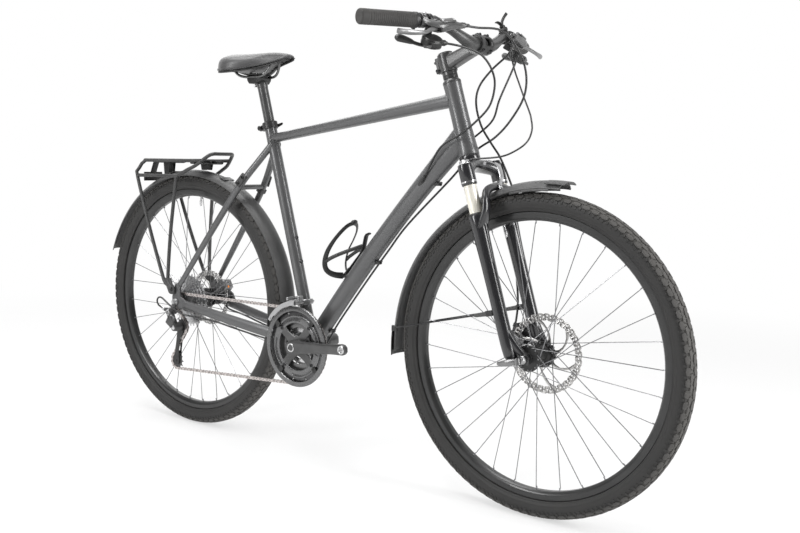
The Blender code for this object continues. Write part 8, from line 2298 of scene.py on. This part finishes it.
def make_cables():
    """The four sleeves at the handlebar, the lockout's, and the one to the rear derailleur."""
    def race(*place):
        return CROWN_RACE + Vector(mm(place)[0])

    def axle(*place):
        return REAR_AXLE + Vector(mm(place)[0])

    path = down_tube_path()

    def port(side):
        along = (path[6] - path[7]).normalized()
        middle = path[6].lerp(path[7], 0.35)
        return middle + Y_AXIS * (side * 0.017), (along + Y_AXIS * (-side * 0.45)).normalized()

    def pod(side):
        return bar_point(side, GRIP_START
            - 0.0475) + bar_frame(side)[1] * 0.044 - bar_frame(side)[2] * 0.029

    mouth, heading = port(-1)
    cable("right_shift_sleeve", "shift_cable_right", "steering",
          [pod(-1), race(38.5, -118, 242.5), race(52, -85, 236.5), race(62, -60, 225.5),
           race(71.5, -40, 201.5), race(79.5, -35, 167.5), race(69, -35, 122.5),
           race(36.5, -36, 88.5), race(-7.5, -36, 57.5), race(-61.5, -34, 27.5),
           mouth - heading * 0.016, mouth + heading * 0.002], 0.0048, 25, "chassis",
          (race(85, -35, 185), race(-30, -35, 45)))
    mouth, heading = port(1)
    cable("left_shift_sleeve", "shift_cable_left", "steering",
          [pod(1), race(37, 117, 228.5), race(36, 98, 198.5), race(31.5, 62, 139.5),
           race(18.5, 58, 94.5), race(-16.5, 50, 60.5), race(-58.5, 38, 28.5),
           mouth - heading * 0.016, mouth + heading * 0.002], 0.0048, 19, "chassis",
          (race(36, 60, 160), race(-30, 45, 45)))
    leg = LEG_OFFSET
    cable("front_brake_sleeve", "front_brake_hose", "steering", [steer_point(0.1265, 0.1, 0.2595),
        race(50.5, 86, 272.5), race(44.5, 72, 242.5), race(12.5, 56, 207.5),
        race(-10, 41, 169.5), race(-14, 36, 130.5), race(-2.5, 42, 81.5),
        race(19.5, 53, 41.5), race(41.5, 60, 8.5), steer_point(0.0475, 0.068, -0.06),
        steer_point(0.04, 0.0835, -0.092), steer_point(leg, 0.086, -0.13),
        steer_point(leg - 0.012, 0.084, -0.19), steer_point(leg - 0.02, 0.076, -0.26),
        steer_point(leg - 0.026, 0.062, -0.33), steer_point(leg - 0.034, 0.048, -0.372),
        steer_point(leg - 0.04, 0.0435, -0.384)], 0.005, 35, "fork_lowers",
        (steer_point(leg, 0.08, -0.01), steer_point(leg, 0.08, -0.33)))
    remote = steer_point(*BAR_INNER).lerp(steer_point(*BAR_BEND), 0.45)
    cable("lockout_sleeve", "lockout_cable", "steering",
        [remote + STEER_FORWARD * 0.017 - STEER_UP * 0.0117, race(23, 121.5, 244.5),
        race(34, 118, 212.5), race(58.5, 100, 179.5), race(89.5, 74, 143.5),
        race(117.5, 50, 113.5), race(132.5, 34, 97.5), race(150, 10, 71),
        race(156.5, -20, 44.5), race(139.5, -40, 24.5), race(111.5, -55, 11.5),
        steer_point(0.046, -0.062, -0.01), steer_point(0.0385, -0.0632, -0.0105)], 0.004, 27)
    across = (path[6] - path[2]).normalized()
    below = -Vector((-across.z, 0, across.x))
    under = [path[k] + below * 0.027 + Y_AXIS * 0.008 for k in (1, 2, 3, 4, 5)]
    drop = Z_AXIS * 0.0195
    stay = chainstay_path(1)
    cable("rear_brake_sleeve", "rear_brake_hose", "steering", [steer_point(0.1265, -0.1, 0.2595),
        race(52.5, -70, 284.5), race(71.5, 0, 284.5), race(83.5, 52, 246.5),
        race(99.5, 61, 196.5), race(101.5, 52, 144.5), race(72.5, 45, 91.5),
        race(37.5, 40, 54.5), race(-4.5, 37, 28.5), race(-40.5, 34, -5.5),
        race(-67.5, 22, -42.5)] + under[::-1] + [BOTTOM_BRACKET + Vector((0.03, 0.012, -0.01)),
        BOTTOM_BRACKET + Vector((0.006, 0.02, -0.0285)), BOTTOM_BRACKET + Vector((-0.03, 0.026, -0.024)),
        stay[1] - drop, stay[2] - drop, stay[2].lerp(stay[3], 0.5) - drop,
        stay[3] - drop + Vector((0.012, -0.01, 0.004)), axle(83, 44, -20),
        axle(89, 45, 4), axle(87, 47, 26.5)], 0.005, 46, "chassis",
        (race(90, 50, 235), race(-10, 37, 25)))
    stay = chainstay_path(-1)
    cable("rear_shift_sleeve", "rear_shift_cable", "chassis", [BOTTOM_BRACKET + Vector((0.03, -0.012,
        -0.01)), BOTTOM_BRACKET + Vector((0.006, -0.016, -0.0285)), BOTTOM_BRACKET + Vector((-0.03, -0.022,
        -0.024)), stay[1] - drop, stay[2] - drop, stay[2].lerp(stay[3], 0.5) - drop,
        stay[3] - drop + Vector((0.01, -0.002, 0)), axle(61, -80, -32), axle(31, -91, -24),
        axle(1, -99.5, -5), axle(-29, -102, 12), axle(-48, -100, 5),
        axle(-52, -94, -12), axle(-32.5, -86, -24)], 0.0048, 27)


# Floor, light and camera

FLOOR_SIZE = 40
FLOOR_GAP = 0.0005
SKY_STRENGTH = 0.54
LAMP_TARGET = Vector((0, 0, 0.5))
CAMERA_PLACE = (1.60854, -1.85649, 0.79142)
# Heading, tilt and roll, in radians
CAMERA_ANGLES = (2.22797, -0.110227, 0.026527)
SENSOR_WIDTH = 36
# The focal length as a share of the picture's width
FOCAL_SHARE = 980.57 / 800
LENS_SHIFT = (0.0004, -0.0062)


def make_stage():
    """A pale level floor, four soft lamps and an even sky."""
    put_down()
    floor_z = cad_box[0].z - FLOOR_GAP
    bpy.ops.mesh.primitive_plane_add(size=FLOOR_SIZE, location=(0, 0, floor_z))
    bpy.ops.object.transform_apply(location=True, rotation=True, scale=True)
    floor = bpy.context.object
    floor.name = "studio_floor"
    pale = Finish("studio_floor", roughness=0.9)
    pale.colour(pale.mix(pale.noise(1.5, 2), (0.8, 0.8, 0.8, 1), (0.83, 0.83, 0.83, 1)))
    # To the camera and in reflections the floor is nearly white, wholly so far from the bike
    ray = pale.tree.nodes.new("ShaderNodeLightPath")
    seen = pale.maths("MAXIMUM", Value(pale, ray.outputs["Is Camera Ray"]),
        Value(pale, ray.outputs["Is Glossy Ray"]))
    away = pale.node("ShaderNodeVectorMath", {"operation": "LENGTH"}, {0: pale.place((1, 1, 0.0001))},
        "Value")
    glow = pale.tree.nodes.new("ShaderNodeEmission")
    glow.inputs["Strength"].default_value = 1.0
    blend = pale.tree.nodes.new("ShaderNodeMixShader")
    pale.feed(blend.inputs[0], seen * (away.band(1.3, 3.5) * 0.42 + 0.58))
    pale.tree.links.new(pale.shader.outputs[0], blend.inputs[1])
    pale.tree.links.new(glow.outputs[0], blend.inputs[2])
    pale.tree.links.new(blend.outputs[0], pale.tree.nodes["Material Output"].inputs[0])
    floor.data.materials.append(pale.material)

    world = bpy.data.worlds.new("studio_sky")
    bpy.context.scene.world = world
    world.use_nodes = True
    sky = world.node_tree
    even = sky.nodes["Background"]
    white = sky.nodes.new("ShaderNodeBackground")
    room = sky.nodes.new("ShaderNodeBackground")
    for glow, strength in ((even, SKY_STRENGTH), (white, 1.0), (room, 1.0)):
        glow.inputs["Color"].default_value = (1, 1, 1, 1)
        glow.inputs["Strength"].default_value = strength
    # Reflections show the white backdrop behind and the lit ceiling, and a dim room in front
    way = sky.nodes.new("ShaderNodeTexCoord").outputs["Generated"]
    parts = []
    for toward, low, high, bright in (((-0.612, 0.791, 0.05), 0.05, 0.55, 0.95),
            ((0, 0, 1), 0.62, 0.9, 0.75)):
        along = sky.nodes.new("ShaderNodeVectorMath")
        along.operation = "DOT_PRODUCT"
        along.inputs[1].default_value = toward
        sky.links.new(way, along.inputs[0])
        ramp = sky.nodes.new("ShaderNodeMapRange")
        ramp.interpolation_type = "SMOOTHSTEP"
        for socket, number in (("From Min", low), ("From Max", high), ("To Min", 0.1), ("To Max", bright)):
            ramp.inputs[socket].default_value = number
        sky.links.new(along.outputs["Value"], ramp.inputs["Value"])
        parts.append(ramp.outputs["Result"])
    brighter = sky.nodes.new("ShaderNodeMath")
    brighter.operation = "MAXIMUM"
    for part, socket in zip(parts, brighter.inputs):
        sky.links.new(part, socket)
    sky.links.new(brighter.outputs[0], room.inputs["Strength"])
    ray = sky.nodes.new("ShaderNodeLightPath")
    seen = even
    for kind, other in (("Is Glossy Ray", room), ("Is Camera Ray", white)):
        choice = sky.nodes.new("ShaderNodeMixShader")
        for source, socket in zip((ray.outputs[kind], seen.outputs[0], other.outputs[0]), choice.inputs):
            sky.links.new(source, socket)
        seen = choice
    sky.links.new(seen.outputs[0], sky.nodes["World Output"].inputs[0])

    for name, place, wide, tall, power in (
        ("front_softbox", (3.2, 0.45, 1.5), 0.9, 2.6, 84),
        ("key_softbox", (-1.2, -3.0, 2.1), 0.7, 2.4, 68),
        ("ceiling_softbox", (-0.6, -0.6, 3.2), 2.6, 1.2, 60),
        ("back_softbox", (-2.2, 1.8, 2.4), 2.0, 2.0, 20),
    ):
        lamp = bpy.data.lights.new(name, "AREA")
        lamp.shape = "RECTANGLE"
        lamp.energy = power
        lamp.size = wide
        lamp.size_y = tall
        holder = bpy.data.objects.new(name, lamp)
        bpy.context.collection.objects.link(holder)
        holder.location = place
        aim = LAMP_TARGET - Vector(place)
        holder.rotation_euler = aim.to_track_quat("-Z", "Y").to_euler()


def make_camera():
    """The photograph's view: from the front right, a little above the hubs."""
    heading, tilt, roll = CAMERA_ANGLES
    forward = Vector((math.cos(tilt) * math.cos(heading), math.cos(tilt) * math.sin(heading),
        math.sin(tilt)))
    right = forward.cross(Z_AXIS).normalized()
    up = right.cross(forward)
    right, up = right * math.cos(roll) + up * math.sin(roll), up * math.cos(roll) - right * math.sin(roll)
    lens = bpy.data.cameras.new("camera")
    lens.sensor_width = SENSOR_WIDTH
    lens.lens = SENSOR_WIDTH * FOCAL_SHARE
    lens.shift_x, lens.shift_y = LENS_SHIFT
    camera = bpy.data.objects.new("camera", lens)
    bpy.context.collection.objects.link(camera)
    camera.matrix_world = Matrix.Translation(CAMERA_PLACE) @ Matrix(
        (right, up, -forward)).transposed().to_4x4()
    bpy.context.scene.camera = camera


make_camera()
make_wheels()
make_frame()
make_seat_collar()
make_fork_uppers()
make_fork_lowers()
make_front_guard()
make_rear_guard()
make_lamp_bracket()
make_chainrings()
make_chain_guard()
make_cranks()
make_cassette()
make_chain()
make_front_derailleur()
make_rear_derailleur()
make_derailleur_cage()
make_bottom_cups()
make_cockpit()
make_rack()
make_seatpost()
make_saddle()
make_bottle_cage()
make_axles()
make_calipers()
make_cables()
make_stage()
bpy.context.scene.view_settings.view_transform = "Standard"
